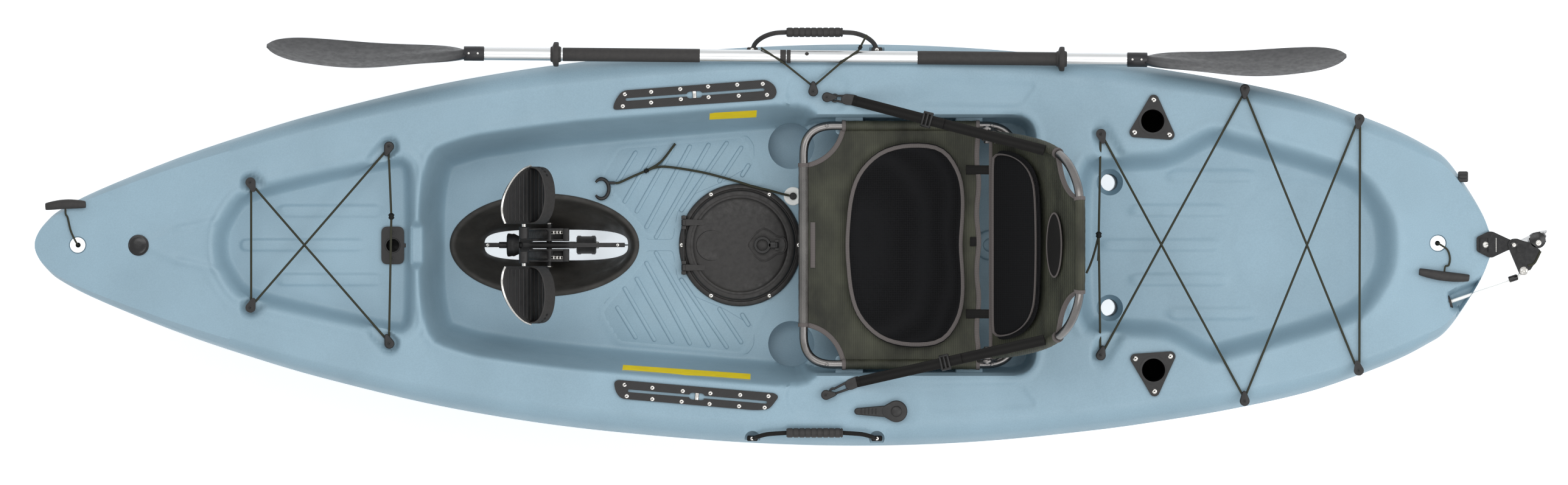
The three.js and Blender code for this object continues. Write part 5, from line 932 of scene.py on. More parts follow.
def deck_height(pixel, x, y):
    """Height of the moulded deck over every place in plan"""
    z = sheer(pixel) + 0 * x
    flat = z.copy()
    front = depth_inside(mirrored(FRONT_WELL), x, y)
    foot = depth_inside(mirrored(FOOTWELL), x, y)
    rear = depth_inside(mirrored(REAR_WELL), x, y)
    seat_outline = oblong(SEAT_FRONT - WELL_CLEARANCE, SEAT_REAR + WELL_REAR_ROOM,
                          -SEAT_WIDTH / 2 - WELL_CLEARANCE, SEAT_WIDTH / 2 + WELL_CLEARANCE, 55, 8)
    seat = depth_inside(as_array(seat_outline), x, y)
    cockpit = np.maximum(foot, seat)

    # Raised rims round the wells, and the bow's wedge
    z += bead(front, 12, 7, 3.0) + bead(rear, 14, 9, 3.0) + bead(cockpit, 12, 8, 2.6)
    z += bead(front, 30, 6, 1.2)
    for side in (1, -1):
        corner = side_at(298, side * 27)
        for end, width, height in ((side_at(363, side * 41), 9, 4), (side_at(240, 0), 10, 2.5)):
            z += height * np.exp(-(to_segment(corner, end, x, y) / width) ** 2)
    for pixels, depth, radius, mirrors in INSETS:
        for mirror in mirrors:
            shape = [at(a, CENTRE_PIXEL + mirror * (d - CENTRE_PIXEL)) for a, d in pixels]
            inset = depth_inside(as_array(rounded(shape, radius, 5)), x, y)
            z -= depth * step(inset, 2.2)
            z += bead(inset, 6, 4, 0.8)
    # The wells themselves
    z = dug(z, front, sheer(FRONT_WELL[0][0]), FRONT_FLOOR, 22, 8, 9)
    channel = depth_inside(as_array(rounded(
        [side_at(668, 38), side_at(712, 38), side_at(712, -38), side_at(668, -38)], 14)), x, y)
    z = dug(z, channel, DECK, 272, 12, 5, 4)
    z = dug(z, foot, DECK, FOOT_FLOOR, 42, 6, 9)
    z = dug(z, seat, DECK, WELL_FLOOR, 12, 4, 3)
    z = dug(z, rear, DECK + 6, REAR_FLOOR, 30, 10, 12)
    # Ribs and marks on the floors
    for ribs, floor in ((FRONT_RIBS, FRONT_FLOOR), (REAR_RIBS, REAR_FLOOR)):
        for first, last, side in ribs:
            away = to_segment(side_at(first + 10.5, side), side_at(last - 10.5, side), x, y)
            z += 5 * step(12.5 - away, 1.6) * step(6 - np.abs(z - floor), 1.0)
    ring = np.hypot(*(np.array((x, y)) - np.array(at(2135, 404)).reshape(2, 1, 1)))
    z -= 1.6 * np.exp(-((ring - 112 * ALONG) / 5) ** 2) * step(6 - np.abs(z - REAR_FLOOR), 1.0)
    for side in (1, -1):
        panel = [at(a, CENTRE_PIXEL + side * (d - CENTRE_PIXEL)) for a, d in
                 ((984, 291), (1014, 241), (1219, 222), (1255, 297), (1150, 352), (1062, 390),
                  (1050, 372))]
        border = depth_inside(as_array(rounded(panel, 10, 3)), x, y)
        z += bead(border, 0, 6, 2.6) * step(20 - np.abs(z - FOOT_FLOOR), 4)
    # Pockets under the pad eyes, run on towards their bungee's crossing
    for eyes, pocket, crossing, run in ((FRONT_EYES, FRONT_POCKET, FRONT_CROSSING, 36),
                                        (REAR_EYES, REAR_POCKET, REAR_CROSSING, 62)):
        for along, side in eyes:
            place = side_at(along, side)
            inner = place + (side_at(crossing, 0) - place).normalized() * run
            inside = 24 - to_segment(place, inner, x, y)
            top = float(sheer(along))
            z = dug(z, inside, top, top - pocket, 9, 3, 2)
    for along, side in RAISED_EYES:
        place = side_at(along, side)
        away = np.hypot(x - place.x, y - place.y)
        z = z + (float(sheer(along)) + RAISED_BOSS - z) * step(16 - away, 1.8)
    # The steering rod's recess
    recess = [(2376, -78), (2440, -50), (2470, -80), (2440, -125), (2382, -104)]
    inside = depth_inside(as_array([side_at(*pixels) for pixels in recess]), x, y)
    z = dug(z, inside, DECK + 6, 268, 8, 3, 2)
    # A bead round the rudder's bracket
    border = rounded([at(2421, 384), at(2470, 374), at(2470, 430), at(2421, 426)], 8, 3)
    z += bead(depth_inside(as_array(border), x, y), 3, 3, 1.5)
    return np.minimum(z, flat + 8)


def hull_rows():
    """Pixels of the mesh's rows along the hull, closer together towards the nose"""
    nose = np.linspace(0, 1, NOSE_ROWS)[:-1] ** 2
    rows = [*(NOSE_START + 0.15 + (ROWS[0][0] - NOSE_START) * nose), ROWS[0][0]]
    for first, last, count in ROWS:
        rows += list(np.linspace(first, last, count + 1)[1:])
    return np.array(rows)


def hull_ring():
    """Evenly spaced shares of the half width and the depth, down the hull's side"""
    section = spline_table([(0, -0.02), (0.3, 0.0), *SECTION])
    section = section[section[:, 0] >= 0]
    legs = np.hypot(*np.diff(section, axis=0).T * [[1], [0.8]])
    lengths = np.concatenate(([0], np.cumsum(legs)))
    wanted = np.linspace(0, lengths[-1], SIDE_COLUMNS + 2)[1:-1]
    return np.stack([np.interp(wanted, lengths, section[:, i]) for i in (0, 1)], axis=1)[::-1]


def hull_surface():
    """The hull's whole skin as an array of rows, each a closed ring of places"""
    pixel = hull_rows()
    half = half_width(pixel)
    edge = half * DECK_SHARE
    wall = np.minimum(np.interp(pixel, *np.array(WALLS).T) * ACROSS, edge - 16)
    wall = np.maximum(wall, edge * 0.4)
    inner = np.maximum(wall - 50, wall * 0.45)
    outer = np.minimum(wall + 14, (wall + edge) / 2)
    across = [inner[:, None] * np.linspace(0, 1, INNER_COLUMNS + 1)[None, :],
              inner[:, None] + (outer - inner)[:, None] * np.linspace(0, 1, WALL_COLUMNS + 1)[1:],
              outer[:, None] + (edge - outer)[:, None] * np.linspace(0, 1, OUTER_COLUMNS + 1)[1:]]
    starboard = np.concatenate(across, axis=1)
    deck_y = np.concatenate([-starboard[:, :0:-1], starboard], axis=1)
    grid_pixel = np.repeat(pixel[:, None], deck_y.shape[1], axis=1)
    deck_z = deck_height(grid_pixel, pixel_x(grid_pixel), deck_y)
    low = keel(pixel)[:, None]
    depth = sheer(pixel)[:, None] - low
    shares = hull_ring()
    side_y = half[:, None] * shares[None, :, 0]
    side_z = low + depth * np.maximum(shares[None, :, 1], 0)
    middle = np.stack([0 * pixel[:, None], low], axis=-1)
    ring = np.concatenate([
        np.stack([deck_y, deck_z], axis=-1), np.stack([side_y, side_z], axis=-1), middle,
        np.stack([-side_y, side_z], axis=-1)[:, ::-1]], axis=1)
    x = np.repeat(pixel_x(pixel)[:, None], ring.shape[1], axis=1)
    return np.concatenate([x[:, :, None], ring], axis=-1)


def cut_by(bm, cutter):
    """Takes one closed mesh out of another"""
    pair = []
    for source, name in ((bm, "blank"), (cutter, "cutter")):
        mesh = bpy.data.meshes.new(name)
        bmesh.ops.recalc_face_normals(source, faces=source.faces)
        source.to_mesh(mesh)
        source.free()
        pair.append(bpy.data.objects.new(name, mesh))
        bpy.context.scene.collection.objects.link(pair[-1])
    blank, tool = pair
    modifier = blank.modifiers.new("Openings", "BOOLEAN")
    modifier.operation, modifier.object, modifier.solver = "DIFFERENCE", tool, "MANIFOLD"
    depsgraph = bpy.context.evaluated_depsgraph_get()
    result = bmesh.new()
    result.from_mesh(blank.evaluated_get(depsgraph).to_mesh())
    for item in pair:
        mesh = item.data
        bpy.data.objects.remove(item)
        bpy.data.meshes.remove(mesh)
    return result


def hole(cutter, pixels, radius, bottom, top, sides=40, mouth=0.0, lean=0.0):
    """A round cutter, its mouth opened by a chamfer; a lean runs it aft with height"""
    place = side_at(*pixels)
    profile = [(0, bottom), (radius, bottom), (radius, top - mouth), (radius + mouth, top),
               (radius + mouth, top + 60), (0, top + 60)]
    turned(cutter, profile if mouth else [(0, bottom), (radius, bottom), (radius, top), (0, top)],
           (place.x - lean * top, place.y, 0), (lean, 0, 1), sides)


def oval_point(long, wide, middle, height, square, turn):
    """A place on an oval ring; a square under 1 swells it towards a slot with round ends"""
    c, s = math.cos(turn), math.sin(turn)
    return Vector((pixel_x(middle) + long * math.copysign(abs(c) ** square, c),
                   wide * math.copysign(abs(s) ** square, s), height))


def hull_cutters():
    """One bmesh of everything that is taken out of the hull: bores, tunnels and the drive well"""
    cutter = bmesh.new()
    for pixels, lean in zip(TOGGLE_HOLES.values(), (0.081, -0.074)):
        hole(cutter, pixels, 17, -40, float(sheer(pixels[0])) - 3, mouth=2, lean=lean)
    hole(cutter, LEASH_ANCHOR, 16, -10, 200)
    hole(cutter, HATCH, 96, 12, 200, 64)
    hole(cutter, SOCKET, 19.3, 178, 290)
    for side in (1, -1):
        hole(cutter, (SCUPPER[0], side * SCUPPER[1]), 19, -10, REAR_FLOOR - 9, mouth=10)
        hole(cutter, (CUP_HOLDER[0], side * CUP_HOLDER[1]), 51, 75, 220, 56)
    for pixels in ROD_HOLDERS.values():
        hole(cutter, pixels, 28.8, 105, 330)
    for along in HANDLE_ENDS:
        for side in HANDLE_SIDES.values():
            hole(cutter, (along, side), 17, float(sheer(along)) - HANDLE_POCKET, 330, 28)
    inner, outer = side_at(2312, -117.6), side_at(2392, -90.1)
    bar(cutter, raised(inner, ROD_HEIGHT), raised(outer, ROD_HEIGHT), 12, 24)
    # Half length, half width, middle, height and squareness of the drive well's rings
    rings = [(203, 107, 891, 126, 1), (203, 107, 891, 98, 1), (194, 92, 895, 70, 0.95),
             (174, 58, 904, 46, 0.8), (163.5, 39, 909, 38, 0.6), (163.5, 39, 909, -10, 0.6)]
    sides = 96
    table = lattice(cutter, len(rings) - 1, sides, lambda row, column: oval_point(
        *rings[row], 2 * math.pi * column / sides), ring=True)
    close_ends(cutter, table, len(rings) - 1, sides)
    return cutter


def rounded_rib(bm, start, end, half, bottom, height):
    """A floor rib with a rounded top"""
    shape = capsule(start, end, half, 5)
    plate(bm, shape, bottom, bottom + height + 8, min(half, height) * 0.7, 2)


def build_hull():
    """The moulded hull: its skin, the openings in it, floor ribs, tread panels and seat rests"""
    skin = hull_surface()
    rows, columns = skin.shape[0] - 1, skin.shape[1]
    bm = bmesh.new()
    table = lattice(bm, rows, columns, lambda row, column: skin[row, column], ring=True)
    close_ends(bm, table, rows, columns)
    bm = cut_by(bm, hull_cutters())
    for outer, inner in FOOT_RIBS:
        for side in (1, -1):
            rounded_rib(bm, side_at(outer[0], side * outer[1]),
                        side_at(inner[0], side * inner[1]), 5, FOOT_FLOOR - 8, 4)
    # The tread's panels stand a little proud of the floor
    for side in (1, -1):
        panel = [side_at(along, side * out) for along, out in TREAD_PANEL]
        plate(bm, rounded(panel, 9, 4), FOOT_FLOOR - 8, FOOT_FLOOR + 1.5, 1.3, 2)
    # Rests that carry the seat's tubes
    fall = SEAT_FRONT_HEIGHT - SEAT_REAR_HEIGHT
    half_long, half_wide = 30, 23
    for x in (SEAT_FRONT + 110, SEAT_REAR - 110):
        share = (x - SEAT_FRONT) / SEAT_LENGTH
        top = SEAT_FRONT_HEIGHT - fall * share - 9.8 - fall * half_long / SEAT_LENGTH
        for side in (1, -1):
            middle = side * (SEAT_WIDTH / 2 + WELL_CLEARANCE - half_wide + 5)
            rest = oblong(x - half_long, x + half_long, middle - half_wide, middle + half_wide, 10)
            plate(bm, rest, WELL_FLOOR - 5, top, 3, 3)
    # A low boss with a dark socket behind the seat
    boss = at(1628, 403)
    turned(bm, [(0, WELL_FLOOR - 4), (34, WELL_FLOOR - 4), (32, WELL_FLOOR + 7),
                (28, WELL_FLOOR + 10), (15, WELL_FLOOR + 10), (13, WELL_FLOOR + 7),
                (13, WELL_FLOOR + 1), (0, WELL_FLOOR + 1)], raised(boss, 0), sides=36)
    return new_piece(bm, "hull_skin", HULL, "hull", ["hull_shell"], angle=50,
                     merge=0.02)


def hull_top():
    """A tree for resting things on the finished hull"""
    skin = bpy.data.objects["hull_skin"]
    return BVHTree.FromObject(skin, bpy.context.evaluated_depsgraph_get())


def surface(tree, x, y, above=400):
    """Height of the hull in millimetres under a place in plan"""
    found = tree.ray_cast(Vector((x * MM, y * MM, above * MM)), Vector((0, 0, -1)))
    return found[0].z / MM if found[0] else DECK


# Deck fittings

GAP = 0.3
EYE_RADIUS, EYE_NECK, POST_RADIUS, POST_REACH = 11.0, 7.5, 2.2, 17.5
CORD_LIFT = 3.1
# Radius of a bungee's middle where it goes round an eye's post, with a little room
POST_TURN = POST_RADIUS + 2.5 + 0.4


def corners(node):
    """Lowest and highest corner of a frame node, in millimetres"""
    low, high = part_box(node)
    return Vector(low) / MM, Vector(high) / MM


def wrapped(circles, steps=28):
    """The outline that a band drawn tight round some circles would take"""
    points = sorted({(round(c[0] + r * math.cos(2 * math.pi * i / steps), 4),
                      round(c[1] + r * math.sin(2 * math.pi * i / steps), 4))
                     for c, r in circles for i in range(steps)})

    def chain(sequence):
        kept = []
        for p in sequence:
            while len(kept) > 1 and ((kept[-1][0] - kept[-2][0]) * (p[1] - kept[-2][1])
                                     - (kept[-1][1] - kept[-2][1]) * (p[0] - kept[-2][0])) <= 0:
                kept.pop()
            kept.append(p)
        return kept[:-1]

    return chain(points) + chain(points[::-1])


def highest(tree, place, radius):
    """Highest point of the hull under a disc"""
    return max(surface(tree, place.x + radius * math.cos(turn), place.y + radius * math.sin(turn))
               for turn in [i * math.pi / 4 for i in range(8)])


def loop_eyes(places, depths):
    """The eyes that one bungee passes in turn, each with its nose and the level of its foot"""
    spots = [side_at(*pixels) for pixels in places]
    eyes = []
    for index, place in enumerate(spots):
        to_before = (spots[index - 1] - place).normalized()
        to_after = (spots[(index + 1) % len(spots)] - place).normalized()
        eyes.append({"place": place, "nose": (to_before + to_after).normalized(),
                     "before": to_before, "floor": float(sheer(places[index][0])) - depths[index]})
    return eyes


def bow_eyes():
    return loop_eyes(FRONT_EYES, [FRONT_POCKET] * 4)


def stern_eyes():
    return loop_eyes([REAR_EYES[0], *RAISED_EYES, REAR_EYES[1]],
                     [REAR_POCKET, *[-RAISED_BOSS] * 4, REAR_POCKET])


def pad_eye(name, node, place, nose, base):
    """A hooded eye: neck and post under a teardrop cap, held by a screw"""
    bm = bmesh.new()
    tip = place + nose * POST_REACH
    turned(bm, [(0, 0), (9.5, 0), (9, 1.2), (EYE_NECK - 0.6, 2.4), (EYE_NECK, 6.8), (0, 6.8)],
           (place.x, place.y, base), sides=24)
    turned(bm, [(0, 0), (POST_RADIUS + 0.6, 0), (POST_RADIUS, 1.4), (POST_RADIUS, 7), (0, 7)],
           (tip.x, tip.y, base), sides=12)
    plate(bm, wrapped([(place, EYE_RADIUS), (tip, 5)]), base + 6.2, base + 13, 2.6, 3, both=True)
    screw(bm, (place.x, place.y, base + 12.4), 4.4, head=1.5)
    return new_piece(bm, name, HULL, ["nylon", "dark"], [node], angle=35)


def round_post(eye):
    """The places of a bungee that bends round an eye's post"""
    post = eye["place"] + eye["nose"] * POST_REACH
    nose, before = eye["nose"], eye["before"]
    side = math.copysign(1, nose.x * before.y - nose.y * before.x)
    half = math.pi / 2 - math.acos(max(-1, min(1, nose.dot(before))))
    back = math.atan2(nose.y, nose.x) + math.pi
    return [Vector((post.x + POST_TURN * math.cos(back + share * half * side),
                    post.y + POST_TURN * math.sin(back + share * half * side),
                    eye["floor"] + GAP + CORD_LIFT)) for share in (-1, -0.6, -0.2, 0.2, 0.6, 1)]


def knot(bm, centre, way, size=7.0):
    """A tight overhand knot, as two pulled turns"""
    turned(bm, [(0, -size * 1.1), (size * 0.5, -size), (size * 0.95, -size * 0.5),
                (size * 0.78, 0), (size, size * 0.5), (size * 0.5, size), (0, size * 1.1)],
           centre, way, 16)


def bungee_loop(name, node, eyes, knot_pixels, crossings, tails):
    """A bungee from its knot round every eye's post and back; at a crossing, which comes
    before the eye of that count, it arches over its other run"""
    radius = sizes().bungee / MM / 2
    level = (eyes[0]["floor"] + eyes[-1]["floor"]) / 2 + GAP + CORD_LIFT
    start = raised(side_at(*knot_pixels), level)
    path = [start]
    for index, eye in enumerate(eyes):
        arc = round_post(eye)
        if index in crossings:
            leg = arc[0] - path[-1]
            share = (side_at(*crossings[index]) - path[-1].xy).length / leg.xy.length
            way = leg.normalized()
            centre = path[-1] + leg * share
            path += [centre + way * run + Vector((0, 0, up))
                     for run, up in ((-34, 0), (-14, 3.6), (0, 5.4), (14, 3.6), (34, 0))]
        path += arc
    bm = bmesh.new()
    sweep(bm, path, round_profile(radius, 10), closed=True)
    knot(bm, start, (0, 1, 0))
    for tail in tails:
        ends = [start] + [raised(side_at(a, s), level + up) for a, s, up in tail]
        sweep(bm, smooth_path(ends, 10), round_profile(radius, 10))
    return new_piece(bm, name, HULL, "cord", [node], angle=60)


def build_eyes():
    """The pad eyes of both bungees, of the paddle's keeper and of the seat's straps"""
    for group, eyes in (("bow", bow_eyes()), ("stern", stern_eyes())):
        for index, eye in enumerate(eyes, 1):
            pad_eye(f"{group}_eye_{index}", f"{group}_pad_eye_{index}", eye["place"], eye["nose"],
                    eye["floor"] + GAP)
    for name, pixels, nose in (("keeper_eye", KEEPER_EYE, (0, 1)),
                               ("strap_eye_starboard", STRAP_EYES["starboard"], None),
                               ("strap_eye_port", STRAP_EYES["port"], None)):
        low, high = corners(name)
        place = side_at(*pixels)
        if nose is None:
            nose = Vector((high.x + low.x - 2 * place.x, high.y + low.y - 2 * place.y)).normalized()
        pad_eye(name + "_moulding", name, place, Vector(nose), low.z)


def build_bungees():
    """Both cargo bungees"""
    bungee_loop("bow_bungee_cord", "bow_bungee", bow_eyes(), (643, 47.1),
                {1: (FRONT_CROSSING, -0.9)}, [])
    bungee_loop("stern_bungee_cord", "stern_bungee", stern_eyes(), (1805, 16.7),
                {1: (REAR_CROSSING, 1.1), 4: (2148.8, 2.7)},
                [[(1799, -8, 0), (1792, -30, -3), (1785, -46, -8)],
                 [(1805, -4, 4), (1804, -26, 2)]])


TOGGLES = {
    "bow": {"ends": [(78, 63.7), (144, 67.2)],
            "cord": [(111, 60), (114, 45), (119, 24), (126, 8)]},
    "stern": {"ends": [(2330, -44.3), (2412, -54.9)],
              "cord": [(2372, -42), (2379, -33), (2381, -21), (2377, -8), (2368, -1)]},
}


def build_toggles(tree):
    """The two grab toggles, each a hollow bar on a knotted cord through the hull"""
    for name, shape in TOGGLES.items():
        start, end = [side_at(*pixels) for pixels in shape["ends"]]
        low, high = corners(f"{name}_toggle")
        height = (low.z + high.z) / 2
        length = (end - start).length
        along = (end - start).normalized()
        bm = bmesh.new()
        swell = [(7.4 + 3.2 * math.sin(math.pi * share) ** 0.7, length * share)
                 for share in [0.02 + 0.96 * i / 16 for i in range(17)]]
        turned(bm, [(0, 5), (4.6, 5), (4.8, 0.6), (5.6, 0), (6.8, 0), *swell, (6.8, length),
                    (5.6, length), (4.8, length - 0.6), (4.6, length - 5), (0, length - 5)],
               (start.x, start.y, height + 1), (along.x, along.y, 0), 32)
        away = Vector((-along.y, along.x)) * (1 if name == "bow" else -1)
        for vert in bm.verts:
            share = (vert.co.xy - start).dot(along) / length
            vert.co.xy += away * (3.0 * math.sin(math.pi * share) - 1.0)
        bar_piece = new_piece(bm, f"{name}_grab_bar", HULL, "rubber", [f"{name}_toggle"])
        middle = (start + end) / 2
        first = side_at(*shape["cord"][0])
        leave = middle + (first - middle).normalized() * 19
        hole_place = side_at(*TOGGLE_HOLES[name])
        top = float(sheer(TOGGLE_HOLES[name][0]))
        points = [raised(middle, height), raised(leave, height)]
        for pixels in shape["cord"][1:]:
            place = side_at(*pixels)
            points.append(raised(place, max(highest(tree, place, 4.4), top) + 3.2))
        points += [raised(hole_place, top - 14), raised(hole_place, top - 46)]
        path = smooth_path(points[::-1], 44)
        radius = sizes().toggle_cord / MM / 2
        bm = bmesh.new()
        sweep(bm, path, round_profile(radius, 10))
        cord = new_piece(bm, f"{name}_grab_cord", HULL, "cord", [f"{name}_toggle_cord"],
                         angle=60)
        bm = bmesh.new()
        for way in ((1, 1, 0.2), (1, -1, 0.2)):
            knot(bm, raised(hole_place, top - 16), way, 5.2)
        tied = new_piece(bm, f"{name}_grab_knot", HULL, "cord", [], angle=60)


LEASH = [(1296.8, 82, 6.6), (1284, 85, 9), (1262, 91, 12.6), (1240, 96, 12.6), (1218, 103, 12.2),
         (1190, 111, 9), (1150, 121, 9), (1100, 129, 8.6), (1078, 129, 8.6), (1060, 123, 8.6),
         (1036, 113, 8.6), (1015, 103.4, 8.6), (1008.3, 103, 8.6)]
LEASH_TAIL = [(1060, 123, 8.6), (1084, 138, 8.4), (1108, 168, 8.2)]
HOOK = {"pixels": (985.5, 93.2), "half_length": 16.5, "half_width": 22, "lift": 8.6,
        "stem": (1008, 103)}


def on_floor(points):
    """Places on the footwell's floor, from pixels along, pixels out and a height above it"""
    return [raised(side_at(a, s), FOOT_FLOOR + up) for a, s, up in points]


def build_leash():
    """The drive's leash: anchor in a white disc, cord, knotted tail and hook"""
    foot = raised(side_at(*LEASH_ANCHOR), FOOT_FLOOR + GAP)
    bm = bmesh.new()
    turned(bm, [(0, -14), (15.1, -14), (15.1, 0), (20.5, 0), (20.5, 1.6), (19, 3), (12, 2.4),
                (9.5, 1.6), (0, 1.6)], foot, sides=40)
    start = len(bm.faces)
    turned(bm, [(0, 1), (8, 1), (8, 5.5), (6.2, 8), (0, 8)], foot, sides=28)
    paint(bm, start, 1)
    new_piece(bm, "leash_anchor_disc", HULL, ["white", "nylon"], ["leash_anchor"])

    centre = side_at(*HOOK["pixels"])
    height = FOOT_FLOOR + HOOK["lift"]
    stem = side_at(*HOOK["stem"])
    arc = [Vector((centre.x + HOOK["half_length"] * math.cos(math.radians(turn)),
                   centre.y + HOOK["half_width"] * math.sin(math.radians(turn)), height))
           for turn in range(-140, 141, 14)]
    bm = bmesh.new()
    taper = [0.6 + 0.4 * min(1, i / 3, (len(arc) - 1 - i) / 3) for i in range(len(arc))]
    sweep(bm, arc, round_profile(4.2, 12), scales=taper)
    bar(bm, (centre.x + HOOK["half_length"] * 0.8, centre.y + HOOK["half_width"] * 0.6, height),
        (stem.x, stem.y, height), 3.4, 14, 0.6)
    hook = new_piece(bm, "leash_snap", HULL, "nylon", ["leash_hook"])

    radius = sizes().leash / MM / 2
    path = smooth_path(on_floor(LEASH), 90)
    bm = bmesh.new()
    sweep(bm, path, round_profile(radius, 10))
    cord = new_piece(bm, "leash_line", HULL, "cord", ["leash_cord"], angle=60)
    path = smooth_path(on_floor(LEASH_TAIL), 24)
    bm = bmesh.new()
    knot(bm, path[0], path[1] - path[0], 5.5)
    tied = new_piece(bm, "leash_knot", HULL, "cord", [], angle=60)
    bm = bmesh.new()
    sweep(bm, path, round_profile(radius, 10))
    tail = new_piece(bm, "leash_tail", HULL, "cord", [], angle=60)


HATCH_LID_BASE = 129.6
# How far ahead of the hatch's middle its hinge pin is, and how high above the ring's foot
HINGE_AHEAD, HINGE_RISE = 125, 16
# How far behind the hatch's middle the latch's ring is
LATCH_BEHIND = 49


def build_hatch_ring():
    """The deck hatch's frame: stepped ring, hinge posts with their pin and six screws"""
    centre = side_at(*HATCH)
    base = FOOT_FLOOR + GAP
    bm = bmesh.new()
    turned(bm, [(86, -15), (90, -15), (90, -2), (95.5, 0), (136, 0), (136, 3.2), (134.4, 6.6),
                (130.5, 8.6), (126, 9), (124.4, 7.4), (122.6, 7.2), (121, 8.4), (116, 9), (90, 9),
                (86, 7.6), (86, -15)], raised(centre, base), sides=96)
    for side in (1, -1):
        for inner, outer in ((34.6, 42.6), (57.4, 65.4)):
            middle = Vector((centre.x - HINGE_AHEAD, side * (inner + outer) / 2))
            half = (outer - inner) / 2
            post = oblong(middle.x - 5.5, middle.x + 5.5, middle.y - half, middle.y + half, 1.5, 2)
            plate(bm, post, base + 7, base + 19.6, 2.4, 2)
    pin_x, pin_z = centre.x - HINGE_AHEAD, base + HINGE_RISE
    bar(bm, (pin_x, -66, pin_z), (pin_x, 66, pin_z), 2.2, 14, 0.5)
    turned(bm, [(0, 8.6), (8.5, 8.6), (8, 10.4), (4, 11), (0, 11)],
           raised(at(1130.8, 403.5), base), sides=24)
    for step in range(6):
        turn = math.radians(60 * step)
        place = centre + Vector((math.cos(turn), math.sin(turn))) * 129.5
        turned(bm, [(0, 8), (6.4, 8), (6.4, 8.9), (0, 9.3)], raised(place, base), sides=24)
        screw(bm, raised(place, base + 9.1), 4.6, head=1.6, metal=2)
    new_piece(bm, "hatch_ring", HULL, ["lid", "dark", "steel"], ["hatch_frame"],
              angle=32)


def build_hatch_lid():
    """The hatch's crowned lid with its hinge arms and the latch's sunken bay"""
    centre = side_at(*HATCH)
    bm = bmesh.new()
    turned(bm, [(0, 0), (118, 0), (121, 1.4), (121, 4.6), (119.4, 6.8), (116, 8), (111, 8),
                (108.5, 6.4), (105, 6.2), (102.5, 8.2), (98, 9.4), (60, 11.6), (25, 12.7), (0, 13)],
           raised(centre, HATCH_LID_BASE), sides=96)
    half_bay = [(1226.5, 0), (1240, 18), (1253, 27), (1264, 22), (1275, 13), (1286, 12.5),
                (1291.5, 0)]
    bay = [side_at(*p) for p in half_bay] + [side_at(a, -s) for a, s in half_bay[-2:0:-1]]
    cutter = bmesh.new()
    plate(cutter, rounded(bay, 9, 6), HATCH_LID_BASE + 8.0, HATCH_LID_BASE + 30)
    bm = cut_by(bm, cutter)
    # The bay's raised lip and the hinge straps that run out on to the lid
    bay_middle = centre + Vector((LATCH_BEHIND, 0))
    rim = [raised(p, HATCH_LID_BASE + 11.1) for p in rounded(
        [bay_middle + (p - centre - Vector((LATCH_BEHIND, 0))) * 1.07 for p in bay], 10, 6)]
    sweep(bm, rim, round_profile(1.5, 8), closed=True)
    for side in (1, -1):
        strap = [centre + Vector((x, side * 50 + y)) for x, y in
                 ((-124, -7), (-78, -5.6), (-78, 5.6), (-124, 7))]
        plate(bm, rounded(strap, 2.5, 3), HATCH_LID_BASE + 7, HATCH_LID_BASE + 10.6, 1.4, 2)
    pin_x, pin_z = centre.x - HINGE_AHEAD, FOOT_FLOOR + GAP + HINGE_RISE
    for middle in (50, -50):
        plate(bm, oblong(centre.x - 126, centre.x - 98, middle - 6.6, middle + 6.6, 2, 2),
              HATCH_LID_BASE + 4, HATCH_LID_BASE + 9.6, 1.4, 2)
        bar(bm, (pin_x, middle - 6.9, pin_z), (pin_x, middle + 6.9, pin_z), 5.5, 20, 0.7)
    for side in (1, -1):
        ear = centre + Vector((81, side * 9))
        plate(bm, oblong(ear.x - 4, ear.x + 4, ear.y - 2, ear.y + 2, 1, 2),
              HATCH_LID_BASE + 7, 148.2, 1.2, 2)
    turned(bm, [(0, 10.6), (34, 10.6), (33, 11.8), (31, 12.2), (29, 11.6), (0, 12.4)],
           raised(at(1168, 403.5), HATCH_LID_BASE), sides=48)
    new_piece(bm, "hatch_cover_moulding", "hatch_cover", "lid", ["hatch_lid"],
              angle=32)


def build_hatch_latch():
    """The latch: a finger ring on an arm that swings on its pin"""
    centre = side_at(*HATCH)
    low, high = corners("hatch_latch")
    middle = (low.z + high.z) / 2
    bm = bmesh.new()
    turned(bm, [(12, -1.6), (13, -2.5), (18, -2.5), (19, -1.6), (19, 1.6), (18, 2.5), (13, 2.5),
                (12, 1.6), (12, -1.6)], (centre.x + LATCH_BEHIND, centre.y, middle), sides=48)
    plate(bm, capsule((centre.x + 68, centre.y), (centre.x + 78, centre.y), 6, 6), middle - 2.5,
          middle + 2.5, 1, 2, both=True)
    pin_x = centre.x + 81
    bar(bm, (pin_x, centre.y - 6, middle), (pin_x, centre.y + 6, middle), 3.6, 20, 0.6)
    new_piece(bm, "hatch_catch_ring", "hatch_catch", "nylon", ["hatch_latch"])


def build_socket():
    """The flush socket ahead of the cockpit, with its strap tab"""
    place = side_at(*SOCKET)
    base = FRONT_FLOOR + GAP
    foot = raised(place, base)
    drop = corners("bow_socket")[0].z - base
    bm = bmesh.new()
    plate(bm, oblong(place.x - 25, place.x + 25, place.y - 41.5, place.y + 41.5, 14, 6),
          base, base + 5, 1.6, 3)
    cutter = bmesh.new()
    turned(cutter, [(0, -5), (14.5, -5), (14.5, 20), (0, 20)], foot, sides=40)
    bm = cut_by(bm, cutter)
    turned(bm, [(0, drop), (18.6, drop), (18.6, 4), (16.5, 5.8), (14.5, 5.2), (14.5, drop + 4),
                (0, drop + 4)], foot, sides=40)
    plate(bm, capsule((place.x + 22, place.y), (place.x + 36, place.y), 4.5, 6), base, base + 4.6,
          1, 2)
    for down in (382.4, 424.5):
        screw(bm, raised(at(642.8, down), base + 4.7), 4.6, head=1.6)
    new_piece(bm, "bow_socket_moulding", HULL, ["nylon", "dark"], ["bow_socket"])


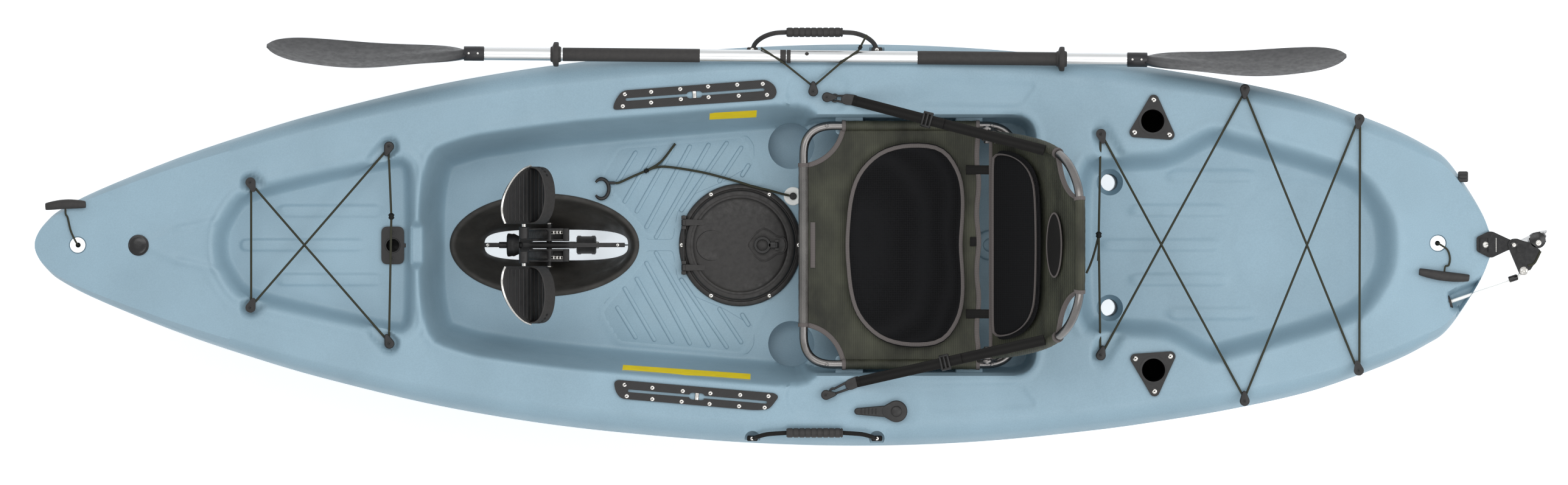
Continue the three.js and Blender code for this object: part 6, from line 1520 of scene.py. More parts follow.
def build_rod_holders():
    """The two flush rod holders: three-cornered flanges on sunk tubes with dark bores"""
    screws = [(2.3, 46.8), (-39.8, -24.9), (37, -30.2)]
    base = DECK + GAP
    for name, pixels in ROD_HOLDERS.items():
        mirror = 1 if name == "starboard" else -1
        place = side_at(*pixels)
        foot = raised(place, base)
        drop = corners(f"rod_holder_{name}")[0].z - base
        points = [Vector((place.x + x, place.y + mirror * y)) for x, y in screws]
        bm = bmesh.new()
        plate(bm, wrapped([(p, 11) for p in points]), base, base + 6, 1.8, 3)
        cutter = bmesh.new()
        turned(cutter, [(0, -5), (25.5, -5), (25.5, 20), (0, 20)], foot, sides=56)
        bm = cut_by(bm, cutter)
        turned(bm, [(0, drop), (28.4, drop), (28.4, 5), (32, 5.4), (31.4, 6.2), (28.2, 6.6),
                    (25.5, 5.4), (25.5, drop + 4), (0, drop + 4)], foot, sides=56)
        for p in points:
            screw(bm, raised(p, base + 5.7), sizes().screw_radius / MM, metal=2)
        # A thin near black lining down the bore and over its bottom: painted shade of the deep tube
        start = len(bm.faces)
        turned(bm, [(0, drop + 4.2), (25.3, drop + 4.2), (25.3, drop + 60), (25.45, drop + 60),
                    (25.45, drop + 4.1), (0, drop + 4.1)], foot, sides=40)
        paint(bm, start, 1)
        new_piece(bm, f"rod_holder_{name}_moulding", HULL, ["nylon", "dark", "steel"],
                  [f"rod_holder_{name}"])


GEAR_PLATES = {
    "starboard": {
        "outline": [(1006.5, 221.7), (1010, 236), (1022, 253.7), (1260, 271.7), (1273, 262),
                    (1277, 250), (1271, 239.7), (1250, 237.5)],
        "slot": [(1030, 238.9), (1254, 255.2)], "tie": 1141,
        "screws": [(1025, 155), (1068, 151), (1116, 145.5), (1165, 141.6), (1213, 139),
                   (1255, 137.7), (1021.5, 175), (1068, 169), (1117, 164), (1166, 160),
                   (1215.5, 157.5), (1262, 156)]},
    "port": {
        "outline": [(1009, -225.3), (1015, -221.3), (1273, -243.3), (1279.5, -249), (1264, -270),
                    (1240, -271.3), (1020, -252.3), (1011, -240)],
        "slot": [(1034, -239.3), (1258, -258.2)], "tie": 1145,
        "screws": [(1024.5, 632), (1070, 637), (1120, 642.6), (1169, 646.6), (1218, 649),
                   (1264.5, 651), (1028, 651), (1070, 656), (1118.5, 661), (1167, 665),
                   (1216, 668), (1258, 670)]},
}


def build_gear_plates():
    """The slotted track plates on both sides of the cockpit"""
    base = DECK + GAP
    for name, shape in GEAR_PLATES.items():
        bm = bmesh.new()
        plate(bm, rounded([side_at(*p) for p in shape["outline"]], 12, 4), base, base + 5, 1.4, 3)
        start, end = [side_at(*p) for p in shape["slot"]]
        way = (end - start).normalized()
        tie = start.lerp(end, (shape["tie"] - shape["slot"][0][0])
                         / (shape["slot"][1][0] - shape["slot"][0][0]))
        for opening in (capsule(start, end, 2.9, 6), capsule(tie - way * 10, tie + way * 10, 7.4)):
            cutter = bmesh.new()
            plate(cutter, opening, base - 5, base + 12)
            bm = cut_by(bm, cutter)
        across = Vector((-way.y, way.x))
        plate(bm, rounded([tie - way * 4.4 - across * 9, tie + way * 4.4 - across * 9,
                           tie + way * 4.4 + across * 9, tie - way * 4.4 + across * 9], 1.5, 2),
              base, base + 4.2, 1.0, 2)
        middle = (side_at(*shape["outline"][0]) + side_at(*shape["outline"][3])) / 2
        for pixels in shape["screws"]:
            place = at(*pixels)
            place = place + (middle - place).normalized() * 2.5
            screw(bm, raised(place, base + 4.8), 4.5, head=1.6, metal=2)
        new_piece(bm, f"gear_track_{name}", HULL, ["plate", "dark", "steel"],
                  [f"gear_plate_{name}"])


# Each handle's strap from its barrel to the grip: millimetres along, outwards and up
HANDLE_RUNS = {
    "starboard": [(0, 0, 0), (7, 15, 2), (24, 28, 14), (48, 36, 26), (75, 38, 30)],
    "port": [(0, 0, 0), (7, -2, 17), (14, -5, 32), (34, -10, 37), (75, -13, 38)],
}


def build_handles():
    """The side carry handles: ribbed grips on straps from two screwed barrels"""
    z = max(float(sheer(along)) - HANDLE_POCKET for along in HANDLE_ENDS) + GAP + 6
    ends = [pixel_x(along) for along in HANDLE_ENDS]
    for name, run in HANDLE_RUNS.items():
        outward = math.copysign(1, HANDLE_SIDES[name])
        y = HANDLE_SIDES[name] * ACROSS
        bm = bmesh.new()
        for x, way in zip(ends, (1, -1)):
            path = smooth_path([Vector((x + way * a, y + outward * out, z + up))
                                for a, out, up in run], 16)
            bar(bm, (x - 11, y, z), (x + 11, y, z), 6, 24, 1)
            sweep(bm, path, flat_profile(10, 7) if name == "starboard" else flat_profile(9.5, 5))
            top = z + 5.2
            plate(bm, oblong(x - 12, x + 12, y - 5.4, y + 5.4, 3, 3), top - 3, top + 1.6, 1, 2)
        x_mid = sum(ends) / 2
        along, out, up = run[-1]
        level, width = z + up, y + outward * out
        bar(bm, (ends[0] + along, width, level), (ends[1] - along, width, level), 5, 20)
        start = len(bm.faces)
        profile = [(0, 0), (8.4, 0), (9.8, 2)]
        for rib in range(9):
            here = 4 + rib * 13
            profile += [(10.5, here), (10.5, here + 8.5), (9.2, here + 10), (9.2, here + 11.5)]
        profile += [(10.5, 121), (9.8, 122.6), (8.4, 124), (0, 124)]
        turned(bm, profile, (x_mid - 62, width, level), (1, 0, 0), 32)
        paint(bm, start, 1)
        for x in ends:
            screw(bm, (x, y, z + 6.4), 4.4, head=1.6, metal=2, recess=3)
        new_piece(bm, f"carry_strap_{name}", f"handle_{name}",
                  ["webbing" if name == "port" else "rubber", "rubber", "steel", "dark"],
                  [f"carry_handle_{name}"], angle=35)


def decal(name, tree, outline, material, thickness=0.35, rows=28, columns=6):
    """A thin film laid on the hull between four places in plan"""
    a, b, c, d = [at(*p) for p in outline]

    def place(row, column):
        u, v = row / rows, column / columns
        p = a.lerp(b, u).lerp(d.lerp(c, u), v)
        return Vector((p.x, p.y, surface(tree, p.x, p.y) + 0.15))

    bm = bmesh.new()
    lattice(bm, rows, columns, place)
    bmesh.ops.solidify(bm, geom=bm.faces[:], thickness=thickness)
    return new_piece(bm, name, HULL, material, angle=50)


def build_marks(tree):
    """Blank bow disc, blank yellow strips, the stern clip and the rod's grommet"""
    centre = at(229.5, 403)
    z = surface(tree, centre.x, centre.y)
    ahead = surface(tree, centre.x - 15, centre.y)
    behind = surface(tree, centre.x + 15, centre.y)
    axis = Vector((ahead - behind, 0, 30)).normalized()
    bm = bmesh.new()
    turned(bm, [(0, -1), (23, -1), (23, 1.2), (22, 2.2), (20.4, 2.4), (19.6, 1.7), (18, 1.7),
                (17.2, 2.2), (8, 2.7), (0, 2.8)], (centre.x, centre.y, z), axis, 48)
    new_piece(bm, "bow_disc", HULL, "gloss", angle=35)
    decal("deck_strip_starboard", tree, [(1166, 185.6), (1243.5, 181), (1242.4, 192), (1165, 196)],
          "label")
    decal("deck_strip_port", tree, [(1023, 600), (1233, 615), (1232.6, 625), (1022, 609)], "label",
          rows=60)
    clip = at(2403, 290.5)
    z = max(highest(tree, clip, 8), surface(tree, clip.x, clip.y))
    bm = bmesh.new()
    plate(bm, oblong(clip.x - 11, clip.x + 11, clip.y - 12, clip.y + 12, 4), z - 4, z + 4, 1.4, 3)
    plate(bm, capsule((clip.x - 6, clip.y), (clip.x + 6, clip.y), 4, 6), z + 3, z + 8, 1.6, 3)
    new_piece(bm, "stern_clip", HULL, "nylon")
    start, end = side_at(2378.5, -94.8), side_at(2386.5, -92.1)
    way = (end - start).normalized()
    bm = bmesh.new()
    turned(bm, [(12.4, 0), (15.2, 0), (15.8, 1), (15.2, 7), (14.4, 8), (12.8, 8), (12.4, 7.2),
                (12.4, 0)], raised(start, ROD_HEIGHT), (way.x, way.y, 0), 28)
    new_piece(bm, "rod_grommet", HULL, "rubber")


# Seat

SEAT_SLOPE = math.asin((SEAT_FRONT_HEIGHT - SEAT_REAR_HEIGHT) / SEAT_LENGTH)
BACK_LEAN = math.radians(24)
HINGE_X = pixel_x(1622)
HINGE_Z = (SEAT_FRONT_HEIGHT + (SEAT_REAR_HEIGHT - SEAT_FRONT_HEIGHT)
           * (HINGE_X - SEAT_FRONT) / SEAT_LENGTH + 22)
# Half the width of the back's hoop, and how far up its lean that is
HOOP = [(240, 0), (234, 120), (222, 240), (206, 330), (180, 400), (140, 446), (95, 465), (0, 467)]


def on_seat(x, y, z):
    """A point drawn level, with the seat's front at nothing, in the seat's plane"""
    return Vector((SEAT_FRONT + x * math.cos(SEAT_SLOPE) + z * math.sin(SEAT_SLOPE), y,
                   SEAT_FRONT_HEIGHT - x * math.sin(SEAT_SLOPE) + z * math.cos(SEAT_SLOPE)))


def on_back(out, y, along):
    """A point on the back: off its face towards the stern, across and up its lean"""
    return Vector((HINGE_X + out * math.cos(BACK_LEAN) + along * math.sin(BACK_LEAN), y,
                   HINGE_Z - out * math.sin(BACK_LEAN) + along * math.cos(BACK_LEAN)))


def hoop_half(along):
    """Half the hoop's width at a height up the back"""
    widths, heights = zip(*HOOP)
    return float(np.interp(along, heights, widths))


def hoop_path(steps):
    """The hoop's middle line, from its starboard foot over the top to its port foot"""
    half = [Vector((0, w, s)) for w, s in HOOP]
    points = half + [Vector((0, -p.y, p.z)) for p in half[-2::-1]]
    return smooth_path([on_back(0, p.y, p.z) for p in points], steps)


def add_upright(bm, part, side, name):
    """Stands a part drawn lying down upright, its height turned outwards, and adds it"""
    for vert in part.verts:
        x, z, y = vert.co
        vert.co = (x, side * y, z)
    mesh = bpy.data.meshes.new(name)
    part.to_mesh(mesh)
    part.free()
    bm.from_mesh(mesh)
    bpy.data.meshes.remove(mesh)


def build_seat_frame():
    """The seat's ring of tube with the hinge lugs and bolts"""
    half = sizes().seat_tube / MM / 2
    corner = 62 - half
    low, high = half, SEAT_LENGTH - half
    wide = SEAT_WIDTH / 2 - half
    ring = rounded([(low, -wide), (high, -wide), (high, wide), (low, wide)], corner * 1.25, 14)
    path = []
    for index, point in enumerate(ring):
        after = ring[(index + 1) % len(ring)]
        steps = max(1, int((after - point).length / 24))
        path += [point.lerp(after, i / steps) for i in range(steps)]
    bm = bmesh.new()
    sweep(bm, [on_seat(p.x, p.y, 0) for p in path], round_profile(half, 20), closed=True)
    tube_z = HINGE_Z - 22
    for side in (1, -1):
        lug = bmesh.new()
        shape = wrapped([(Vector((HINGE_X, HINGE_Z)), 12), (Vector((HINGE_X - 24, tube_z)), 5),
                         (Vector((HINGE_X + 24, tube_z)), 5)])
        plate(lug, shape, 252.4, 258.4, 1.4, 2, both=True)
        add_upright(bm, lug, side, "lug")
        bar(bm, (HINGE_X, side * 223, HINGE_Z), (HINGE_X, side * 258.4, HINGE_Z), 4.5, 20, 0.5)
        turned(bm, [(0, 0), (5.8, 0), (7.5, 1.4), (7.5, 5.4), (0, 5.4)],
               (HINGE_X, side * 223, HINGE_Z), (0, side, 0), 6)
        turned(bm, [(0, 0), (8, 0), (8, 1.6), (6.6, 3.4), (3, 4), (0, 4)],
               (HINGE_X, side * 258.4, HINGE_Z), (0, side, 0), 28)
        for down_x in (60, 424):
            place = on_seat(down_x, side * wide, half)
            screw(bm, place, 4.2, (math.sin(SEAT_SLOPE), 0, math.cos(SEAT_SLOPE)), 1.8)
    paint(bm, 0, 0)
    new_piece(bm, "seat_tube_ring", HULL, "tube", ["seat_frame"])


def build_back_frame():
    """The back's hoop of tube on its two barrels"""
    half = sizes().seat_tube / MM / 2
    bm = bmesh.new()
    sweep(bm, hoop_path(110), round_profile(half, 20))
    for side in (1, -1):
        bar(bm, on_back(0, side * 229, 0), on_back(0, side * 251.9, 0), 12, 28, 1.4)
        bar(bm, on_back(-11, side * 226, 60), on_back(11, side * 226, 60), 4, 6, 0.8)
    new_piece(bm, "back_tube_hoop", "seat_back", "tube", ["back_frame"])


def build_seat_sling():
    """The seat's mesh: sleeved on the front and side tubes, its front corners cut away"""
    half = sizes().seat_tube / MM / 2
    wide = SEAT_WIDTH / 2 - half
    front, rear = 2 * half, (1607 - SEAT_FRONT_PIXEL) * ALONG
    # Radius that cuts the front corners away, and the sleeve's radius round the tube
    round_off, reach = 98.0, half + 1.5
    arc_rows, rows, columns = 16, 64, 96

    def place(row, column):
        across = column / columns * 2 - 1
        if row < arc_rows:
            first = math.asin(front / round_off)
            turn = first + (math.pi / 2 - first) * row / arc_rows
            x = round_off * math.sin(turn)
            edge = min(wide, SEAT_WIDTH / 2 - round_off * math.cos(turn))
        else:
            x = round_off + (rear - round_off) * (row - arc_rows) / (rows - arc_rows)
            edge = wide
        y = edge * across
        share = (x - front) / (rear - front)
        sag = -7 * math.cos(y / wide * math.pi / 2) * math.sin(share * math.pi)
        ripple = 1.5 * math.sin(across * 26) * max(0, share - 0.85) * 6
        wave = 2.2 * math.sin(across * 13 + 1.2) * max(0, share - 0.86) * 7
        return on_seat(x + wave, y, sag + ripple + 0.8 * math.sin(across * 9 + x * 0.02))

    bm = bmesh.new()
    lattice(bm, rows, columns, place)
    bmesh.ops.solidify(bm, geom=bm.faces[:], thickness=1.6)

    def sleeve(start, end, steps=40):
        run = [start.lerp(end, i / steps) for i in range(steps + 1)]
        sweep(bm, [on_seat(p.x, p.y, 0) for p in run], round_profile(reach, 24),
              scales=[1 + 0.03 * math.sin(i * 2.1) for i in range(steps + 1)])

    cuff_y = SEAT_WIDTH / 2 - round_off * 0.98
    for side in (1, -1):
        sleeve(Vector((round_off, side * wide)), Vector((rear, side * wide)))
    paint(bm, 0, 0)
    # The front sleeve takes the lighter sleeve material: its lift over the mesh's colour is a
    # painted highlight
    start = len(bm.faces)
    sleeve(Vector((half, -cuff_y)), Vector((half, cuff_y)))
    paint(bm, start, 3)
    start = len(bm.faces)
    for side in (1, -1):
        for x in (round_off, rear):
            sweep(bm, [on_seat(x - 4, side * wide, 0), on_seat(x, side * wide, 0),
                       on_seat(x + 4, side * wide, 0)], round_profile(reach + 1.2, 24))
        sweep(bm, [on_seat(half, side * (cuff_y + d), 0) for d in (-4, 0, 4)],
              round_profile(reach + 1.2, 24))
    edges = [[place(rows, c) for c in range(0, columns + 1)]]
    edges += [[place(r, column) for r in range(arc_rows + 1)] for column in (0, columns)]
    for path in edges:
        sweep(bm, [p + Vector((0, 0, 0.8)) for p in path],
              flat_profile(sizes().binding / MM, 3.2))
    # A blank sewn band behind the front tube
    sweep(bm, [on_seat(30, y, 0.6) for y in range(-50, 51, 10)], flat_profile(11, 2.2))
    paint(bm, start, 1)
    start = len(bm.faces)
    for down in (279, 516):
        y = at(1617, down).y
        strap = [on_seat(rear - 26, y, 2.4), on_seat(rear + 4, y, 3), on_seat(rear + 40, y, 6),
                 on_seat(SEAT_LENGTH - half, y, half + 2), on_seat(SEAT_LENGTH + 2, y, 2)]
        sweep(bm, smooth_path(strap, 20), flat_profile(20, 2))
    # A pull tab at the rear edge
    tab = at(1599, 397)
    sweep(bm, [on_seat(tab.x - SEAT_FRONT + run, tab.y, up)
               for run, up in ((-6, 2.4), (0, 4.6), (7, 3))], flat_profile(20, 2.4))
    paint(bm, start, 2)
    sheet = new_piece(bm, "seat_mesh_cloth", HULL, ["mesh", "binding", "webbing", "sleeve"],
                      ["seat_sling"], angle=50)


def build_back_sling():
    """The back's mesh with sleeves on the hoop, bound edges and a blank oval patch"""
    half = sizes().seat_tube / MM / 2
    bottom, top, round_off = 24.0, 458.0, 104.0
    rows, columns = 60, 72

    def place(row, column):
        share, across = row / rows, column / columns * 2 - 1
        along = bottom + (top - bottom) * math.sin(share * math.pi / 2) ** 1.1
        edge = hoop_half(along) - 1
        above = 467 - along
        if above < round_off:
            edge = min(edge, 205 - math.sqrt(round_off ** 2 - above ** 2))
        dish = 12 * math.cos(across * math.pi / 2) * math.sin(math.pi * min(1, share * 1.1))
        return on_back(dish * 0.5, edge * across, along)

    bm = bmesh.new()
    lattice(bm, rows, columns, place)
    bmesh.ops.solidify(bm, geom=bm.faces[:], thickness=1.6)
    hoop = hoop_path(160)
    reach = half + 1.5
    heights = [on_back(0, 0, s).z for s in (30, 362)]
    side_run = [i for i, p in enumerate(hoop) if heights[0] < p.z < heights[1] and p.y > 0]
    top_run = [i for i, p in enumerate(hoop) if abs(p.y) < 104]
    final = len(hoop) - 1
    runs = [(side_run[0], side_run[-1]), (final - side_run[-1], final - side_run[0]),
            (top_run[0], top_run[-1])]
    for first, last in runs:
        run = hoop[first:last + 1]
        sweep(bm, run, round_profile(reach, 24),
              scales=[1 + 0.03 * math.sin(i * 2.3) for i in range(len(run))])
    paint(bm, 0, 0)
    start = len(bm.faces)
    for first, last in runs:
        for index in (first, last):
            sweep(bm, [hoop[index].lerp(hoop[index + step], 0.5) for step in (-1, 0, 1)],
                  round_profile(reach + 1.3, 24))
    edges = [[place(0, c) for c in range(0, columns + 1, 2)]]
    edges += [[p for p in (place(r, column) for r in range(rows + 1)) if p.z > heights[1] - 4]
              for column in (0, columns)]
    for path in edges:
        sweep(bm, [p + Vector((-1, 0, 0.6)) for p in path], flat_profile(sizes().binding / MM, 3.2))
    # The blank oval patch, bound round its edge
    sides, patch_height = 48, 342
    oval = [Vector((69 * math.cos(i * math.pi / 24), 36 * math.sin(i * math.pi / 24)))
            for i in range(sides)]
    sweep(bm, [on_back(-1.6, p.x, patch_height + p.y) for p in oval], flat_profile(4, 3),
          closed=True)
    paint(bm, start, 1)
    start = len(bm.faces)
    # How far the patch's layers stand off the back, and their share of the oval
    layers = ((-0.4, 0.25), (-0.4, 1), (-2.2, 0.96), (-2.2, 0.25))

    def patch(row, column):
        out, share = layers[row]
        return on_back(out, oval[column].x * share, patch_height + oval[column].y * share)

    table = lattice(bm, 3, sides, patch, ring=True)
    close_ends(bm, table, 3, sides)
    paint(bm, start, 2)
    sheet = new_piece(bm, "back_mesh_cloth", "seat_back", ["mesh", "binding", "webbing"],
                      ["back_sling"], angle=50)


# Half outlines of the cushions: shares of the half width and of the length
SEAT_PAD_SHARES = [(0, 0), (0.24, 0.01), (0.48, 0.035), (0.67, 0.085), (0.82, 0.175), (0.94, 0.31),
                   (1, 0.49), (1, 0.7), (0.95, 0.825), (0.84, 0.91), (0.69, 0.97), (0.51, 0.995),
                   (0.3, 0.995), (0, 0.98)]
BACK_PAD_SHARES = [(0, 0), (0.6, 0), (0.93, 0.01), (0.99, 0.06), (1, 0.2), (0.97, 0.45),
                   (0.89, 0.7), (0.76, 0.88), (0.55, 0.97), (0, 1)]
# Scale of the outline and share of the thickness, from the back face round to the crown
PAD_RINGS = [(0.0, 0.02), (0.5, 0.0), (0.9, 0.0), (0.965, 0.06), (0.992, 0.2), (1.0, 0.42),
             (1.0, 0.55), (0.988, 0.74), (0.965, 0.88), (0.935, 0.97), (0.9, 1.02), (0.8, 1.1),
             (0.62, 1.17), (0.4, 1.22), (0.2, 1.25), (0.0, 1.25)]


def cushion(name, body, node, shares, put):
    """A crowned, closed pad with a bound edge; put turns a place on it into a point"""
    full = [Vector(s) for s in shares] + [Vector((-a, b)) for a, b in shares[-2:0:-1]]
    outline = smooth_path(full, 72, closed=True)
    rings = len(PAD_RINGS) - 1

    def place(row, column):
        scale, up = PAD_RINGS[row]
        across, along = outline[column]
        across, along = across * scale, 0.5 + (along - 0.5) * scale
        rumple = 0.03 * math.sin(across * 7 + along * 4) * math.sin(along * 9) * (up > 0.9)
        return put(across, along, up + rumple)

    bm = bmesh.new()
    lattice(bm, rings, len(outline), place, ring=True)
    edge = [put(p.x, 0.5 + (p.y - 0.5), 0.42) for p in outline]
    sweep(bm, edge, flat_profile(3, sizes().binding / MM * 0.8), closed=True)
    start = len(bm.faces)
    inset = 0.978
    piping = [put(p.x * inset, 0.5 + (p.y - 0.5) * inset, 0.86) for p in outline]
    sweep(bm, piping, flat_profile(9, 2.4), closed=True)
    paint(bm, start, 1)
    pad = new_piece(bm, name, body, ["spacer", "binding"], [node], angle=60)


def build_pads():
    """The two quilted pads of spacer fabric"""
    front_pixel, rear_pixel = 1390, 1584
    front = (front_pixel - SEAT_FRONT_PIXEL) * ALONG
    length = (rear_pixel - front_pixel) * ALONG
    cushion("seat_cushion", HULL, "seat_pad", SEAT_PAD_SHARES,
            lambda across, along, up: on_seat(front + length * along, 222 * across, 1.9 + 16 * up))
    cushion("back_cushion", "seat_back", "back_pad", BACK_PAD_SHARES,
            lambda across, along, up: on_back(-1.9 - 14 * up, 202 * across, 60 + 220 * along))


STRAP_EYES = {"starboard": (1358.5, 242.7), "port": (1357, -246)}
# Where each strap starts, the side that it is on and how far along its slider is
STRAPS = {
    "starboard": ((1398, 238.5), 1, 1527),
    "port": ((1404, -226), -1, 1555),
}
STRAP_UP_BACK = 337


def build_straps():
    """The two side straps: snap hook at a deck eye, slider and webbing up to the hoop"""
    steps = 60
    for name, (start_pixels, side, slider_pixel) in STRAPS.items():
        start = side_at(*start_pixels)
        base = corners(f"seat_strap_{name}")[0].z
        end = Vector((HINGE_X + STRAP_UP_BACK * math.sin(BACK_LEAN) - 20, side * 205,
                      HINGE_Z + STRAP_UP_BACK * math.cos(BACK_LEAN) - 9.5))
        first = raised(start, base + 2.5)
        slider_share = (pixel_x(slider_pixel) - first.x) / (end.x - first.x)
        width = sizes().webbing / MM
        path = [first.lerp(end, step / steps)
                + Vector((0, 0, -2.2 * math.sin(math.pi * (step / steps))))
                for step in range(steps + 1)]
        along = (end - first).normalized()
        across = Vector((-along.y, along.x, 0)).normalized()
        bm = bmesh.new()

        def ribbon(points, wide, thick):
            up = along.cross(across).normalized()
            if up.z < 0:
                up = -up
            profile = flat_profile(wide, thick)
            rows = len(points) - 1
            span = (points[1] - points[0]).length
            table = lattice(bm, rows, len(profile), lambda r, c: points[r]
                            + across * profile[c][0] + up * profile[c][1], ring=True,
                            uv=lambda r, c: (c * wide / 6 * MM, r * span * MM))
            close_ends(bm, table, rows, len(profile))

        ribbon(path, width, 2.0)
        upto = max(4, int(steps * slider_share))
        ribbon([p + Vector((0, 0, 2.4)) for p in path[2:upto + 6]], width, 1.8)
        begin = len(bm.faces)
        middle = path[upto]
        up = along.cross(across)
        up = up if up.z > 0 else -up
        for shift in (-10, 0, 10):
            a = middle + along * shift + up * 3.4 - across * (width / 2 + 4)
            b = middle + along * shift + up * 3.4 + across * (width / 2 + 4)
            bar(bm, a, b, 2.8, 10, 0.8)
        for edge in (-1, 1):
            a = middle - along * 12 + up * 3 + across * edge * (width / 2 + 3)
            b = middle + along * 12 + up * 3 + across * edge * (width / 2 + 3)
            bar(bm, a, b, 3, 10, 0.8)
        # Snap hook: a flat body with an open beak round the eye's post
        eye = side_at(*STRAP_EYES[name])
        toward = (start - eye).normalized()
        post = eye + toward * POST_REACH
        plate(bm, capsule(start - toward * 10, start + toward * 6, 12, 7), base, base + 6, 1.6, 3,
              both=True)
        arc = []
        for turn in range(-150, 151, 20):
            angle = math.radians(turn)
            axis = math.atan2(toward.y, toward.x) + math.pi + angle
            arc.append(Vector((post.x + 7.4 * math.cos(axis), post.y + 7.4 * math.sin(axis),
                               base + 3)))
        sweep(bm, arc, round_profile(2.7, 10))
        for edge in (-1, 1):
            normal = Vector((-toward.y, toward.x))
            a = post + normal * edge * 5.2 + toward * 3
            b = start + normal * edge * 8 - toward * 10
            bar(bm, raised(a, base + 3), raised(b, base + 3), 2.6, 10, 0.6)
        paint(bm, begin, 1)
        piece = new_piece(bm, f"side_strap_{name}", None, ["webbing", "nylon"],
                          [f"seat_strap_{name}"], angle=45)
        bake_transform(piece)


# Drive

AXLE_X = pixel_x(898)
AXLE_HEIGHT, SPINE_TOP, SPINE_BOTTOM = 78.0, 96.0, 46.0
MASTS = [pixel_x(852), pixel_x(958)]
MAST_HEIGHT = -28.0
# Half the length of a mast's drum, and what the hangers at its ends take up
DRUM_HALF, HANGER = 22.4, 6
PEDAL_X, PEDAL_HEIGHT = pixel_x(862), 345.0
PEDAL_TILT = math.radians(48)


def build_liner():
    """The drive well's smooth oval lining with its rolled rim"""
    top = FOOT_FLOOR
    # Half length, half width, middle, height and squareness of each ring: up over the rim, down
    # the inside and back up the outside
    rings = [(202, 106, 891, top - 2, 1), (202, 106, 891, top + GAP, 1),
             (209, 113, 891, top + GAP, 1), (210, 114, 891, top + 1.2, 1),
             (208, 112, 891, top + 2.6, 1), (203, 107, 891, top + 3.2, 1),
             (199.5, 103.5, 891.2, top + 2.2, 1), (196.5, 100.2, 891.6, top - 1, 1),
             (190, 91, 893, top - 14, 1), (183, 79, 896, top - 30, 0.98),
             (176, 67, 900, top - 46, 0.93), (168, 50, 905, top - 62, 0.85),
             (161, 36, 909, top - 76, 0.62), (159.5, 34, 909, top - 82, 0.6),
             (159.5, 34, 909, 30, 0.6), (161.5, 36.5, 909, 30, 0.6), (162, 37, 909, 40, 0.6),
             (171, 53, 905, 52, 0.85), (180, 70, 900, 68, 0.93), (187, 82, 896, 86, 0.98),
             (194, 94, 893, 100, 1)]
    sides = 96
    bm = bmesh.new()
    lattice(bm, len(rings), sides, lambda row, column: oval_point(
        *rings[row], 2 * math.pi * column / sides), ring=True, loop=True)
    new_piece(bm, "drive_well_lining", HULL, "liner", ["drive_well_liner"],
              angle=45)


def box_shape(bm, low, high, bevel=1.5, segments=2):
    """A block between two corners with every edge eased"""
    made = bmesh.ops.create_cube(bm, size=1)["verts"]
    low, high = Vector(low), Vector(high)
    bmesh.ops.scale(bm, vec=high - low, verts=made)
    bmesh.ops.translate(bm, vec=(low + high) / 2, verts=made)
    edges = list({e for v in made for e in v.link_edges})
    bmesh.ops.bevel(bm, geom=edges, offset=bevel, offset_type="OFFSET", segments=segments,
                    profile=0.5, affect="EDGES", material=-1)


def build_spine():
    """The drive's spine with its ribbed flanges, knob, collars, mast hangers and axle"""
    front, rear = pixel_x(788), pixel_x(1027)
    bm = bmesh.new()
    box_shape(bm, (front + 24, -3.2, SPINE_BOTTOM + 3), (rear - 24, 3.2, SPINE_TOP - 3), 1)
    for z, reach in ((SPINE_TOP - 4, 4), (SPINE_TOP - 21, 14), (SPINE_BOTTOM + 8, 40)):
        box_shape(bm, (front + reach, -5, z - 3.2), (rear - reach, 5, z + 3.2), 1.4)
    for step in range(15):
        x = front + 36 + step * (rear - front - 72) / 14
        if abs(x - AXLE_X) > 48:
            box_shape(bm, (x - 1.5, -4.6, SPINE_BOTTOM + 4), (x + 1.5, 4.6, SPINE_TOP - 4), 0.6, 1)
    bar(bm, (AXLE_X, -50, AXLE_HEIGHT), (AXLE_X, 50, AXLE_HEIGHT), 6, 24, 1)
    turned(bm, [(0, 0), (20, 0), (24.6, 1.4), (26, 4), (25.2, 9), (24.6, 12), (25.4, 15),
                (24.2, 19), (21.4, 24), (20, 28), (0, 28)], (pixel_x(828), 0, SPINE_TOP),
           (1, 0, 0), 48)
    for first, last in ((815, 828), (849, 853)):
        length = (last - first) * ALONG
        turned(bm, [(0, 0), (6.2, 0), (7, 1), (7, length), (0, length)],
               (pixel_x(first), 0, SPINE_TOP), (1, 0, 0), 24)
    fore, aft = MASTS
    outer = DRUM_HALF + HANGER
    bar(bm, (fore - outer, 0, MAST_HEIGHT), (aft + outer, 0, MAST_HEIGHT), 5, 20, 0.8)
    for first, last in ((fore - outer, fore - DRUM_HALF), (fore + DRUM_HALF, aft - DRUM_HALF),
                        (aft + DRUM_HALF, aft + outer)):
        box_shape(bm, (first, -7.5, MAST_HEIGHT - 9), (last, 7.5, SPINE_BOTTOM + 2), 2)
    for x in (pixel_x(796), pixel_x(1012)):
        screw(bm, (x, 0, SPINE_TOP - 1.2), 3.8, head=1.4, metal=1, recess=2)
    new_piece(bm, "drive_spine_casting", HULL, ["nylon", "steel", "dark"], ["drive_spine"],
              angle=35)


